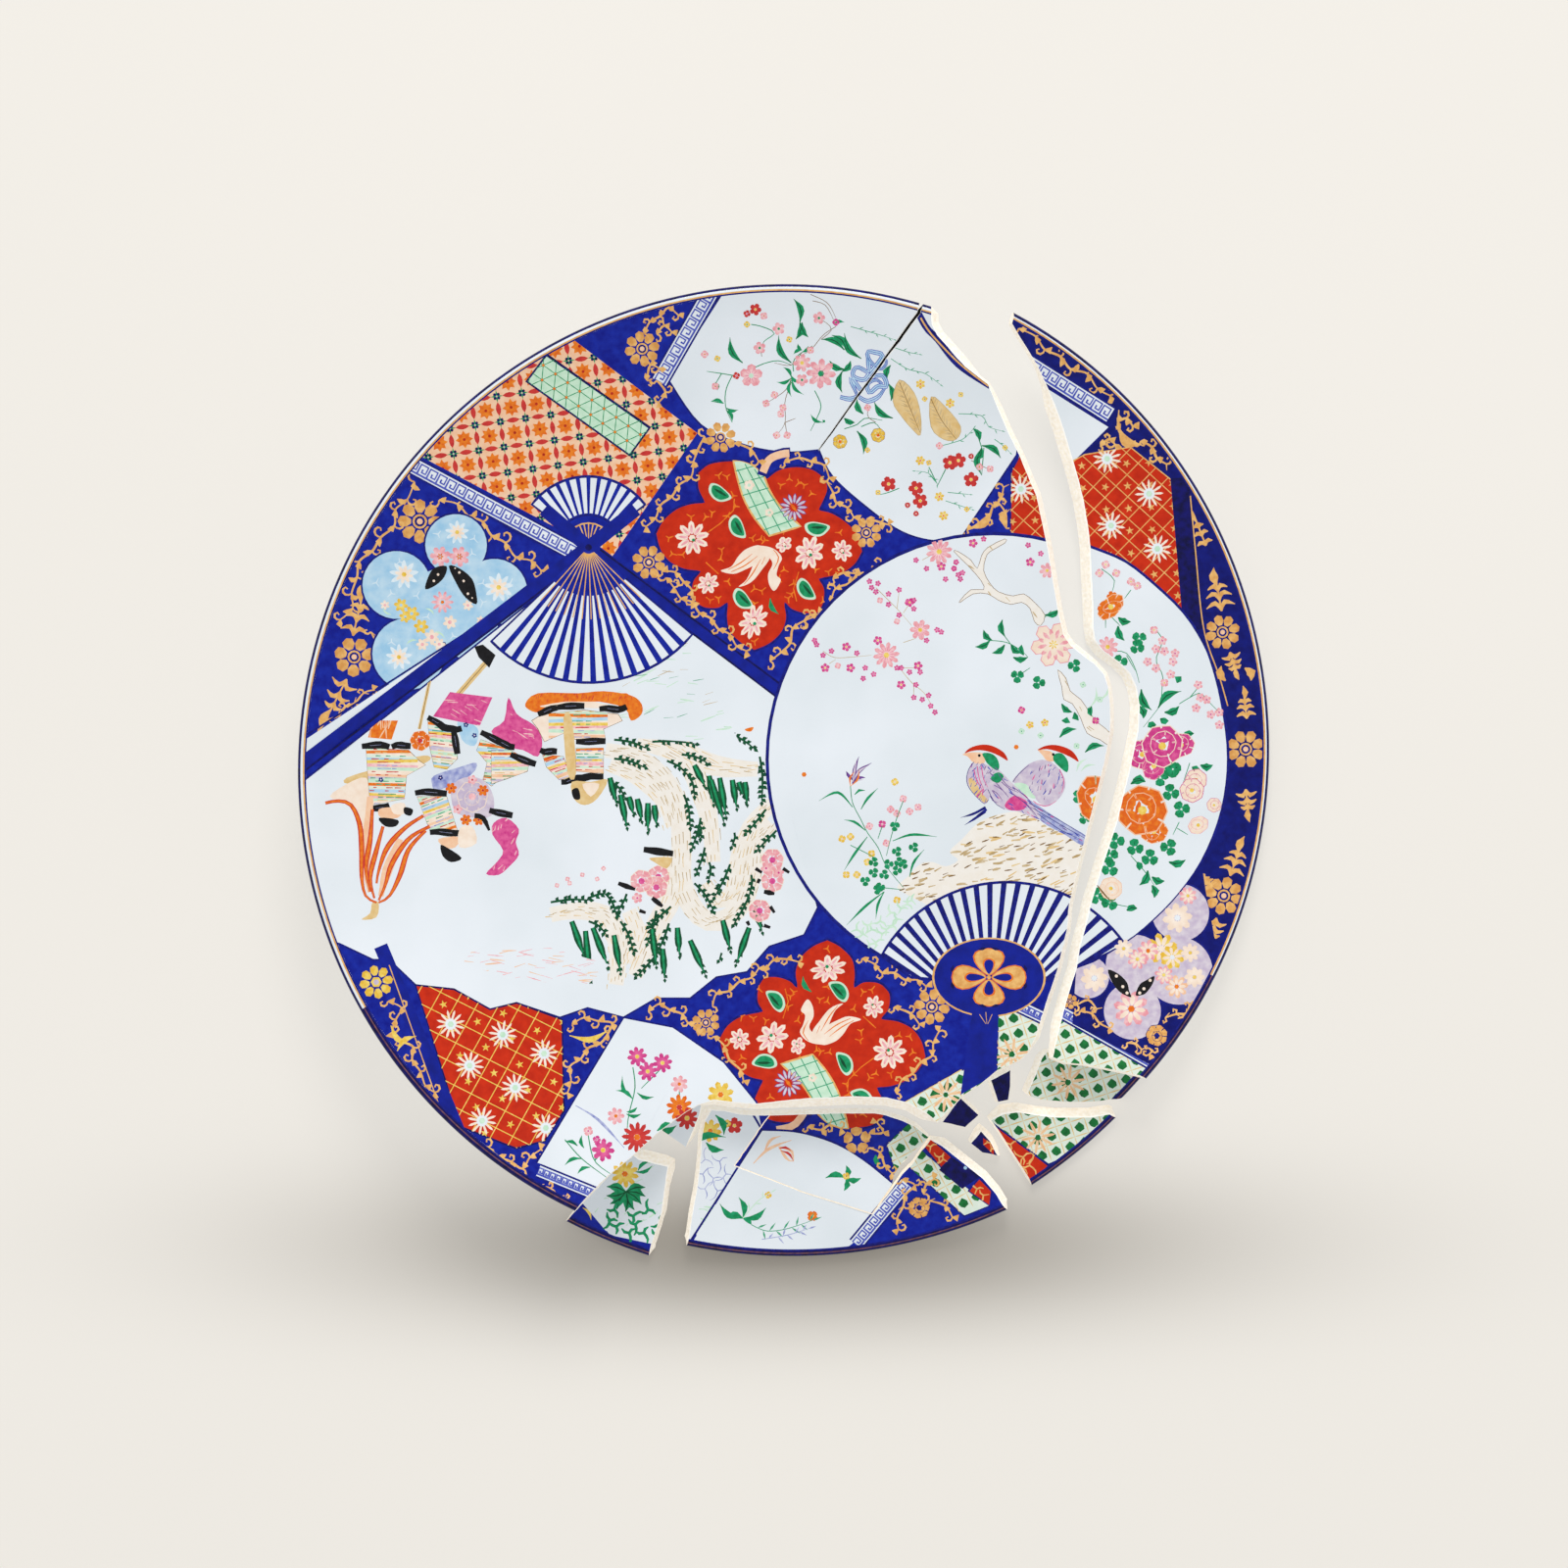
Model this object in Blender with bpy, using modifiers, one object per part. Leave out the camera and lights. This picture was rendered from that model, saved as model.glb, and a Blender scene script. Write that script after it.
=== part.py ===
"""A large porcelain charger, broken into eleven pieces that lie as they came to rest.

The biggest piece stands on the whole foot ring and holds two thirds of the rim. The other pieces have no
foot, so each lies on the curved back of its wall, leaning outwards, beside or partly under its neighbour.

Outlines and sizes are in millimetres and are turned to metres as the meshes are made. +Z is up. The
origin is the centre of the unbroken plate, on the surface that everything lies on.
"""
import math

import bpy
from mathutils import Matrix, Vector

MM = 0.001

# The unbroken plate, a turned shape.
RIM_RADIUS = 230.0
WELL_HEIGHT = 15.0          # decorated face above the table, at the centre
RIM_RISE = 35.0             # the face climbs this much from centre to rim
RISE_POWER = 3.0            # flat in the middle, steepest at the rim
WALL_CENTRE = 7.0
WALL_RIM = 4.5
FOOT_RADIUS = 121.0         # middle of the foot ring's flat
FOOT_FLAT = 5.0
FOOT_CHAMFER = 1.0
FOOT_FLARE = 2.5            # how much each side of the ring widens up to the wall
LIP_STEPS = 4
TURNING_STEPS = 96

FACE_RADII = (40, 80, 110, 135, 155, 172, 187, 200, 211, 220)
BACK_RADII = (220, 211, 200, 187, 172, 155, 138)
RECESS_RADII = (95, 60, 30)

# Breaking.
HALF_GAP = 0.25             # each edge stands back this far from the line of its break
OUTLINE_STEP = 12.0         # an outline is stepped at least this often, so that a cutter follows the wall
CUTTER_MARGIN = 3.0         # the slanted part of a cutter passes both faces by this much
CUTTER_REACH = 90.0         # how far a cutter stands above and below the plate
BEYOND_RIM = 14.0
RIM_ARC_STEP = math.radians(5)

# The open crack that runs in from the rim of the main piece.
SLIT_MOUTH = (63.0, 216.5)
SLIT_END = (15.8, 152.0)
SLIT_MOUTH_WIDTH = 1.9
SLIT_END_WIDTH = 0.7

# Every outline is the broken edge of the decorated face as the piece lies, seen from above, clockwise.
# It is given in runs: how far the break slants outwards to the back of the wall, and the run's points.
# The outline of a piece with rim ends at the rim and is closed clockwise round it.
MAIN_EDGE = [
    (3.4, [(69, 216), (69.5, 211), (72, 206), (78, 199.5), (85, 191.5)]),
    (1.2, [(92, 186), (96, 183)]),
    (2.4, [(100.5, 172), (105.5, 160.5), (111, 149.5), (114.5, 141), (119, 130.5), (121.5, 119),
           (124.5, 105), (127.5, 86.5), (129.5, 75), (132, 64.5), (135.5, 59.5), (141, 55)]),
    (1.9, [(146.5, 51), (151, 46), (153, 40), (154, 30), (154, 19.5), (151, 3), (144, -24.5),
           (138.5, -45.5), (134.5, -64), (133.5, -75.5), (129, -94), (123.5, -110), (118.5, -126)]),
    (0.5, [(115, -133), (110.5, -137), (100.5, -141.5), (92, -148.5), (84, -153.5), (72, -166)]),
    (4.0, [(66.5, -161.5), (58.5, -157), (48, -154.5), (32, -154), (9.5, -155)]),
    (2.6, [(-14.5, -157.5), (-26, -156.5), (-33.5, -155.5)]),
    (0.3, [(-41, -158), (-46.5, -161), (-59.5, -170.5), (-71, -181), (-83.5, -191), (-90.5, -198),
           (-102, -210)]),
]
RIGHT_EDGE = [
    (0.7, [(175.5, -145), (167.5, -144), (160.5, -142.5), (143, -139), (132.5, -138), (126.5, -135.5)]),
    (3.0, [(130, -120.5), (133.5, -107.5), (138, -93), (139.5, -83.5), (142.5, -73), (145, -62.5),
           (151, -43), (157.5, -23.5), (163.5, 1), (167.5, 19.5), (168, 31), (166.5, 40), (163.5, 46.5),
           (158, 52), (151, 57), (147, 62), (146, 68)]),
    (3.5, [(146, 77), (145, 95.5), (144.5, 106.5), (143.5, 115), (141.5, 127), (139, 137.5),
           (136.5, 146), (131.5, 162.5), (127.5, 173.5)]),
    (1.2, [(123.5, 182.5)]),
    (0.3, [(119, 192), (115, 198.5), (110.5, 205.5), (107, 211.5), (109, 217)]),
]
# The two breaks that the bottom piece shares with the piece set into it.
CRACK_LEFT = [(-24, -187), (-11.3, -168.5)]
CRACK_LOW = [(41.3, -210), (25, -204.8), (9, -199.8), (-5, -194.3)]
BOTTOM_EDGE = [
    (1.7, [(-46, -223.5), (-44, -209.5), (-41.5, -195.5), (-40, -181.5), (-39.5, -172.5),
           (-38, -165.5), (-35, -160.5)]),
    (0.6, [(-28, -161), (-21.5, -162.5), (-14.5, -163), (-7.3, -163)]),
    (0.0, CRACK_LEFT[::-1] + CRACK_LOW[::-1] + [(52, -196), (55.5, -191), (60, -186.5), (64.5, -180)]),
    (0.4, [(69, -174.5)]),
    (2.6, [(74.5, -177.5), (79.5, -181.5), (94, -193), (100, -200), (103, -205)]),
]
CENTRE_EDGE = [
    (0.8, [(-7.3, -163), (9, -162.5), (28, -162), (42.5, -162), (48, -163), (55.5, -165.5),
           (62, -168.5)]),
    (0.2, [(68.3, -173.6), (63, -178.5)]),
    (1.6, [(56, -185.5)]),
    (0.0, [(52, -191), (51, -196)] + CRACK_LOW + CRACK_LEFT),
]
BOTTOM_LEFT_EDGE = [
    (0.2, [(-101.5, -210.5), (-90, -198.5), (-83, -191), (-72, -182)]),
    (3.5, [(-69.5, -184), (-55.5, -187.5)]),
    (2.0, [(-57, -198), (-58.5, -209.5), (-63.5, -225)]),
]
CHIP_EDGE = [
    (0.8, [(-47, -178.5), (-58.5, -170.5)]),
    (0.3, [(-55.5, -164), (-46.5, -156.5)]),
    (2.4, [(-39.5, -157.5), (-40.5, -163), (-44, -171.5)]),
]
LOWER_RIGHT_OUTER_EDGE = [
    (0.6, [(156, -155.5), (150, -156.5), (143, -157), (133, -157), (122, -156), (116.5, -154.5)]),
    (1.5, [(115, -152.5), (118.5, -144.5), (121.5, -136.5)]),
    (0.3, [(124, -133), (136, -133), (152, -137), (168, -142.5)]),
]
LOWER_RIGHT_INNER_EDGE = [
    (0.9, [(115.5, -193), (101.5, -171), (97.5, -165.5)]),
    (3.0, [(103.5, -162.5), (110.5, -161.5), (119.5, -163), (129, -164), (138, -164), (145, -164),
           (154, -162.5)]),
]
SLIVER_UPPER_EDGE = [
    (1.3, [(101, -157), (97.5, -146.5)]),
    (0.6, [(107, -141.5), (107, -149.5), (106, -156)]),
]
SLIVER_LOWER_EDGE = [
    (2.2, [(93, -170.5), (97.5, -175.5), (101, -182.5)]),
    (0.6, [(93.5, -181), (88, -176.5)]),
]
HANDLE_EDGE = [
    (1.0, [(83, -154.5), (92, -163)]),
    (0.4, [(85.5, -169), (74.5, -166.5)]),
]

# The loose pieces. "middle" is the middle of the piece where it lies and "slide" is how far it has moved
# across the table from its place in the plate. It leans by "lean" degrees, which is the slope of the wall
# under its middle, in the direction "towards". "colour" is the colour that shows most on its face.
COBALT = (0.02, 0.03, 0.33)
GLAZE_WHITE = (0.74, 0.80, 0.84)
GREEN_DIAPER = (0.45, 0.62, 0.52)
LOOSE = {
    "right_shard": {
        "edge": RIGHT_EDGE, "has_rim": True, "colour": GLAZE_WHITE,
        "middle": (179, 6.5), "slide": (-2.5, 11), "lean": 16.5, "towards": 2,
    },
    "bottom_shard": {
        "edge": BOTTOM_EDGE, "has_rim": True, "colour": GLAZE_WHITE,
        "middle": (16.5, -203.5), "slide": (4.5, 1), "lean": 20.5, "towards": -85.5,
    },
    "bottom_centre_shard": {
        "edge": CENTRE_EDGE, "has_rim": False, "colour": GLAZE_WHITE,
        "middle": (23, -181.5), "slide": (4.5, 1), "lean": 17, "towards": -83,
    },
    "bottom_left_shard": {
        "edge": BOTTOM_LEFT_EDGE, "has_rim": True, "colour": GREEN_DIAPER,
        "middle": (-73.5, -202), "slide": (4.5, -9.5), "lean": 20.5, "towards": -111,
    },
    "tucked_chip": {
        "edge": CHIP_EDGE, "has_rim": False, "colour": GLAZE_WHITE,
        "middle": (-48.5, -166.5), "slide": (-1, 5), "lean": 15.5, "towards": -106,
    },
    "lower_right_outer_shard": {
        "edge": LOWER_RIGHT_OUTER_EDGE, "has_rim": True, "colour": GREEN_DIAPER,
        "middle": (143.5, -146.5), "slide": (-5.5, 5.5), "lean": 20.5, "towards": -45.5,
    },
    "lower_right_inner_shard": {
        "edge": LOWER_RIGHT_INNER_EDGE, "has_rim": True, "colour": GREEN_DIAPER,
        "middle": (125.5, -175), "slide": (-7.5, -3), "lean": 22.5, "towards": -54.5,
    },
    "upper_sliver": {
        "edge": SLIVER_UPPER_EDGE, "has_rim": False, "colour": COBALT,
        "middle": (103, -149.5), "slide": (3, 0), "lean": 16.5, "towards": -55.5,
    },
    "lower_sliver": {
        "edge": SLIVER_LOWER_EDGE, "has_rim": False, "colour": COBALT,
        "middle": (94, -177), "slide": (2, -4), "lean": 20, "towards": -62,
    },
    "fan_handle_shard": {
        "edge": HANDLE_EDGE, "has_rim": False, "colour": COBALT,
        "middle": (83.5, -163), "slide": (2, -2), "lean": 17, "towards": -63,
    },
}
GLAZE_ROUGHNESS = 0.12


def face_height(radius):
    """Height of the decorated face."""
    return WELL_HEIGHT + RIM_RISE * (radius / RIM_RADIUS) ** RISE_POWER


def wall(radius):
    """Vertical thickness of the wall."""
    return WALL_CENTRE + (WALL_RIM - WALL_CENTRE) * radius / RIM_RADIUS


def face_slope(radius):
    return RISE_POWER * RIM_RISE / RIM_RADIUS * (radius / RIM_RADIUS) ** (RISE_POWER - 1)


def profile():
    """Half section of the plate: out along the face, round the lip, back under the wall and the foot."""
    lip_radius = WALL_RIM / 2
    lip_centre = RIM_RADIUS - lip_radius
    lip_height = face_height(lip_centre) - wall(lip_centre) / 2
    slope = math.atan(face_slope(lip_centre))
    points = [(0.0, face_height(0.0))]
    points += [(r, face_height(r)) for r in FACE_RADII]
    for step in range(2 * LIP_STEPS + 1):
        angle = slope + math.pi / 2 * (1 - step / LIP_STEPS)
        points.append((lip_centre + lip_radius * math.cos(angle), lip_height + lip_radius * math.sin(angle)))
    points += [(r, face_height(r) - wall(r)) for r in BACK_RADII]
    for side in (1, -1):
        at_wall = FOOT_RADIUS + side * (FOOT_FLAT / 2 + FOOT_CHAMFER + FOOT_FLARE)
        ring = [
            (at_wall, face_height(at_wall) - wall(at_wall)),
            (FOOT_RADIUS + side * (FOOT_FLAT / 2 + FOOT_CHAMFER), FOOT_CHAMFER),
            (FOOT_RADIUS + side * FOOT_FLAT / 2, 0.0),
        ]
        points += ring[::side]
    points += [(r, face_height(r) - wall(r)) for r in RECESS_RADII]
    points.append((0.0, face_height(0.0) - wall(0.0)))
    return points


def half_section():
    """The half section as a chain of edges, for the Screw modifier."""
    points = [(x * MM, 0.0, z * MM) for x, z in profile()]
    edges = [(i, i + 1) for i in range(len(points) - 1)]
    mesh = bpy.data.meshes.new("plate_half_section")
    mesh.from_pydata(points, edges, [])
    return mesh


class Pose:
    """Where a loose piece lies: slid across the table, and leaning outwards on the back of its wall."""

    def __init__(self, middle=(0.0, 0.0), slide=(0.0, 0.0), lean=0.0, towards=0.0):
        home = (middle[0] - slide[0], middle[1] - slide[1])
        self.home = Vector((home[0], home[1], face_height(math.hypot(*home))))
        self.place = Vector((middle[0], middle[1], self.home.z))
        direction = math.radians(towards)
        hinge = Vector((-math.sin(direction), math.cos(direction), 0.0))
        self.turn = Matrix.Rotation(math.radians(lean), 3, hinge)

    def lies_at(self, x, y):
        """A point of the unbroken plate's face, moved with the piece."""
        point = Vector((x, y, face_height(math.hypot(x, y))))
        return self.turn @ (point - self.home) + self.place

    def home_of(self, x, y):
        """The point of the unbroken plate's face that now lies at x, y, found by repeated correction."""
        height = self.place.z
        for _ in range(8):
            home = self.turn.inverted() @ (Vector((x, y, height)) - self.place) + self.home
            height = self.lies_at(home.x, home.y).z
        return home.x, home.y

    def matrix(self, lift):
        move = Matrix.Translation((self.place + Vector((0, 0, lift))) * MM)
        return move @ self.turn.to_4x4() @ Matrix.Translation(-self.home * MM)


def stepped(points):
    """The same closed outline with long sides divided. Each point is (x, y, slant)."""
    result = []
    for i, a in enumerate(points):
        b = points[(i + 1) % len(points)]
        parts = max(1, math.ceil(math.dist(a[:2], b[:2]) / OUTLINE_STEP))
        result += [tuple(p + (q - p) * k / parts for p, q in zip(a, b)) for k in range(parts)]
    return result


def home_outline(runs, pose, has_rim):
    """The outline of a piece on the unbroken plate, closed round the outside of the rim if it has rim."""
    points = [(*pose.home_of(x, y), slant) for slant, run in runs for x, y in run]
    if has_rim:
        first, last = (math.atan2(points[i][1], points[i][0]) for i in (0, -1))
        sweep = (last - first) % (2 * math.pi)
        count = math.ceil(sweep / RIM_ARC_STEP)
        reach = RIM_RADIUS + BEYOND_RIM
        for k in range(count + 1):
            angle = last - sweep * k / count
            points.append((reach * math.cos(angle), reach * math.sin(angle), 0.0))
    return stepped(points)


def outward(points, i):
    """Unit direction square to a clockwise outline at one of its points."""
    before, after = Vector(points[i - 1][:2]), Vector(points[(i + 1) % len(points)][:2])
    along = (after - before).normalized()
    return Vector((-along.y, along.x))


def cutter_mesh(name, points):
    """A loft through four rings: straight down to the wall, slanted through it, and straight on down."""
    count = len(points)
    rings = [[], [], [], []]
    for i, (x, y, slant) in enumerate(points):
        radius = min(math.hypot(x, y), RIM_RADIUS)
        top, thick = face_height(radius), wall(radius)
        away = outward(points, i)
        inside = Vector((x, y)) - away * (HALF_GAP + slant * CUTTER_MARGIN / thick)
        outside = Vector((x, y)) + away * (slant * (1 + CUTTER_MARGIN / thick) - HALF_GAP)
        rings[0].append((inside.x, inside.y, CUTTER_REACH))
        rings[1].append((inside.x, inside.y, top + CUTTER_MARGIN))
        rings[2].append((outside.x, outside.y, top - thick - CUTTER_MARGIN))
        rings[3].append((outside.x, outside.y, -CUTTER_REACH))
    vertices = [tuple(c * MM for c in p) for ring in rings for p in ring]
    faces = [tuple(reversed(range(count))), tuple(range(3 * count, 4 * count))]
    for ring in range(3):
        for i in range(count):
            j = (i + 1) % count
            upper, lower = ring * count, (ring + 1) * count
            faces.append((upper + i, upper + j, lower + j, lower + i))
    mesh = bpy.data.meshes.new(name)
    mesh.from_pydata(vertices, [], faces)
    return mesh


def slit_points():
    """A long thin wedge from past the rim to the end of the open crack."""
    mouth, end = Vector(SLIT_MOUTH), Vector(SLIT_END)
    along = (end - mouth).normalized()
    across = Vector((-along.y, along.x))
    mouth -= along * BEYOND_RIM
    left = [mouth + across * SLIT_MOUTH_WIDTH / 2, end + across * SLIT_END_WIDTH / 2]
    right = [end - across * SLIT_END_WIDTH / 2, mouth - across * SLIT_MOUTH_WIDTH / 2]
    return stepped([(p.x, p.y, 0.0) for p in left + right])


def porcelain(name, colour):
    material = bpy.data.materials.new(name + "_porcelain")
    material.use_nodes = True
    shader = material.node_tree.nodes["Principled BSDF"]
    shader.inputs["Base Color"].default_value = (*colour, 1.0)
    shader.inputs["Roughness"].default_value = GLAZE_ROUGHNESS
    shader.inputs["Metallic"].default_value = 0.0
    return material


def add_cutter(name, points, cutters, parent=None):
    cutter = bpy.data.objects.new(name, cutter_mesh(name, points))
    cutter.hide_render = True
    cutter.display_type = "WIRE"
    cutter.parent = parent
    cutters.objects.link(cutter)
    return cutter


def add_boolean(piece, operation, cutter):
    modifier = piece.modifiers.new(operation.lower(), "BOOLEAN")
    modifier.operation = operation
    modifier.solver = "EXACT"
    modifier.object = cutter


def lowest(piece):
    """Height of the lowest point of a piece as the viewport shows it, in millimetres."""
    graph = bpy.context.evaluated_depsgraph_get()
    shown = piece.evaluated_get(graph)
    mesh = shown.to_mesh()
    height = min((piece.matrix_world @ v.co).z for v in mesh.vertices)
    shown.to_mesh_clear()
    return height / MM


def add_piece(name, section, colour, collections, edge, pose, has_rim):
    parts, cutters = collections
    piece = bpy.data.objects.new(name, section.copy())
    piece.data.materials.append(porcelain(name, colour))
    parts.objects.link(piece)
    turned = piece.modifiers.new("turned", "SCREW")
    turned.steps = turned.render_steps = TURNING_STEPS
    turned.use_merge_vertices = True
    turned.merge_threshold = 0.00001
    turned.use_smooth_shade = True
    cutter = add_cutter(name + "_outline", home_outline(edge, pose, has_rim), cutters, parent=piece)
    add_boolean(piece, "INTERSECT", cutter)
    return piece


def rest_on_table(piece, pose):
    piece.matrix_world = pose.matrix(0.0)
    bpy.context.view_layer.update()
    piece.matrix_world = pose.matrix(-lowest(piece))
    bpy.context.view_layer.update()


def main():
    for thing in list(bpy.data.objects):
        bpy.data.objects.remove(thing, do_unlink=True)
    parts = bpy.data.collections.new("broken_plate")
    cutters = bpy.data.collections.new("cutters")
    bpy.context.scene.collection.children.link(parts)
    bpy.context.scene.collection.children.link(cutters)
    section = half_section()
    collections = (parts, cutters)

    main_shard = add_piece("main_shard", section, GLAZE_WHITE, collections, MAIN_EDGE, Pose(), True)
    add_boolean(main_shard, "DIFFERENCE", add_cutter("open_crack", slit_points(), cutters))
    for name, spec in LOOSE.items():
        pose = Pose(spec["middle"], spec["slide"], spec["lean"], spec["towards"])
        piece = add_piece(name, section, spec["colour"], collections, spec["edge"], pose, spec["has_rim"])
        rest_on_table(piece, pose)


main()
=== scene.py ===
"""The looks of a large painted porcelain charger, broken into eleven pieces that lie as they came to rest.

Each shard is one closed mesh that stands in for its CAD solid: the painted and glazed face, the rounded lip
with its blue line, the broken wall with bare body showing, and the glazed back with its foot ring. The
painting is in the mesh itself. Every painted shape is an outline in plan, cut into the face of the shard it
is on, and each facet takes the enamel of the topmost shape over it. Shapes are in millimetres, as the shard
lies, seen from above; what repeats or follows a path comes from a Geometry Nodes tree.
"""
import math
import random

import bpy
import numpy as np
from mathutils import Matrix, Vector, noise
from mathutils.geometry import delaunay_2d_cdt


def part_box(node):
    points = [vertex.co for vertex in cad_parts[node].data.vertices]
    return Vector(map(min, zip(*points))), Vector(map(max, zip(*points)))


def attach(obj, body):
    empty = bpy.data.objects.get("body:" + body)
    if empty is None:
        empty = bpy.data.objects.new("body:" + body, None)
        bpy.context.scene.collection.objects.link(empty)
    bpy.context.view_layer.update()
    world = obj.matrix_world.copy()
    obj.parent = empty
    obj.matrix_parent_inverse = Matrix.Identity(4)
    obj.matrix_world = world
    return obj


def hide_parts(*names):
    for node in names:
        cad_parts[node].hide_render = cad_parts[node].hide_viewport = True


MM = 0.001
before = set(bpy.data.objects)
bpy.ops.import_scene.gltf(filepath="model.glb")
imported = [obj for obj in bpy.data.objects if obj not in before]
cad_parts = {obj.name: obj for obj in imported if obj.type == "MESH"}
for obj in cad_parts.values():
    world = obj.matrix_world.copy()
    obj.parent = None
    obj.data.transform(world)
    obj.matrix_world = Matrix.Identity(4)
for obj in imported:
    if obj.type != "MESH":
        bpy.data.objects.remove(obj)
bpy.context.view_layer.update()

# ---------------------------------------------------------------- the unbroken plate, as in the CAD
RIM_RADIUS = 230.0
WELL_HEIGHT = 15.0
RIM_RISE = 35.0
RISE_POWER = 3.0
WALL_CENTRE = 7.0
WALL_RIM = 4.5
FOOT_RADIUS = 121.0
FOOT_FLAT = 5.0
FOOT_CHAMFER = 1.0
FOOT_FLARE = 2.5
HALF_GAP = 0.25             # each broken edge stands back this far from the line of the break
LIP_RADIUS = WALL_RIM / 2
LIP_CENTRE = RIM_RADIUS - LIP_RADIUS

# How the meshes are stepped.
EDGE_STEP = 2.2             # along a broken edge
RIM_STEP = math.radians(1.5)
FACE_STEP = 8.0             # between the free points that let the face follow its curve
GROUND_SPAN = 28.0          # a painted shape this wide is a ground, which hides what it covers
BACK_STEP = 11.0
# The lip is turned through these angles, from the face over the edge to the back, in degrees.
# The face's tangent is at the first and the back's at the last.
LIP_ANGLES = (None, 95.0, 80.0, 66.0, 48.0, 22.0, -10.0, -43.0, None)
WALL_ROWS = len(LIP_ANGLES) - 1
LIP_LEAN_REACH = 8.0        # how far from a break the lip's rows lean to follow it
FOOT_STEPS = 120            # round the foot ring
CRACK_STEPS = 26            # along each side of the open crack
BEYOND_RIM = 250.0          # a radius that is off the plate
WIDE_SHAPE = 15.0           # a painted shape this wide may lie over an edge with no corner inside it
SHARP_ANGLE = math.radians(35)

# How uneven the broken edges, walls and crack are, and how quickly that changes from place to place.
EDGE_WANDER, EDGE_GRIT = 0.16, 0.45
WALL_WANDER, WALL_GRIT = 0.22, 0.5
CRACK_WANDER, CRACK_GRIT = 0.25, 9


def face_height(radius):
    """Height of the painted face."""
    return WELL_HEIGHT + RIM_RISE * (radius / RIM_RADIUS) ** RISE_POWER


def wall(radius):
    """Thickness of the wall, measured upright."""
    return WALL_CENTRE + (WALL_RIM - WALL_CENTRE) * radius / RIM_RADIUS


def face_slope(radius):
    return RISE_POWER * RIM_RISE / RIM_RADIUS * (radius / RIM_RADIUS) ** (RISE_POWER - 1)


def foot_profile():
    """(radius, height) round the foot ring, from its outside to its inside."""
    half = FOOT_FLAT / 2
    steps = [(half + FOOT_CHAMFER + FOOT_FLARE, None), (half + FOOT_CHAMFER, FOOT_CHAMFER), (half, 0.0)]
    return [(FOOT_RADIUS + a, h) for a, h in steps] + [(FOOT_RADIUS - a, h) for a, h in steps[::-1]]


def back_height(radius):
    """Height of the back of the wall, with the foot ring."""
    plain = face_height(radius) - wall(radius)
    ring = [(r, face_height(r) - wall(r) if h is None else h) for r, h in foot_profile()[::-1]]
    on_ring = np.interp(radius, [r for r, _ in ring], [h for _, h in ring])
    return np.where((radius > ring[0][0]) & (radius < ring[-1][0]), on_ring, plain)


def lip_profile():
    """(radius, height) of the lip's rows, from the face to the back."""
    slope = math.atan(face_slope(LIP_CENTRE))
    height = face_height(LIP_CENTRE) - wall(LIP_CENTRE) / 2
    angles = [math.radians(a) for a in LIP_ANGLES[1:-1]]
    angles = [slope + math.pi / 2] + angles + [slope - math.pi / 2]
    return [(LIP_CENTRE + LIP_RADIUS * math.cos(a), height + LIP_RADIUS * math.sin(a)) for a in angles]


LIP = lip_profile()
FACE_EDGE = LIP[0][0]       # radius where the face turns into the lip


class Pose:
    """Where a piece lies: slid across the table, and leaning outwards on the back of its wall."""

    def __init__(self, middle=(0.0, 0.0), slide=(0.0, 0.0), lean=0.0, towards=0.0):
        home = np.subtract(middle, slide)
        self.home = np.array([*home, face_height(math.hypot(*home))])
        self.place = np.array([*middle, self.home[2]])
        angle, lean = math.radians(towards), math.radians(lean)
        k = np.array([-math.sin(angle), math.cos(angle), 0.0])
        cross = np.array([[0, -k[2], k[1]], [k[2], 0, -k[0]], [-k[1], k[0], 0]])
        self.turn = np.eye(3) + math.sin(lean) * cross + (1 - math.cos(lean)) * cross @ cross

    def lies(self, points):
        """Points of the unbroken plate, moved with the piece."""
        return (np.asarray(points, float) - self.home) @ self.turn.T + self.place

    def home_of(self, plan):
        """The plan places on the unbroken plate's face that now lie at these plan places."""
        plan = np.asarray(plan, float)
        height = np.full(len(plan), self.place[2])
        for _ in range(8):
            home = (np.column_stack([plan, height]) - self.place) @ self.turn + self.home
            home[:, 2] = face_height(np.hypot(home[:, 0], home[:, 1]))
            height = self.lies(home)[:, 2]
        return home[:, :2]

    def rim_arc(self, radius, start, end):
        """Plan places along a circle of the unbroken plate's face, clockwise, as the piece lies."""
        sweep = (start - end) % (2 * math.pi)
        count = max(2, math.ceil(sweep / RIM_STEP))
        angles = [start - sweep * k / count for k in range(count + 1)]
        ring = [(radius * math.cos(a), radius * math.sin(a), face_height(radius)) for a in angles]
        return self.lies(ring)[:, :2]


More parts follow.
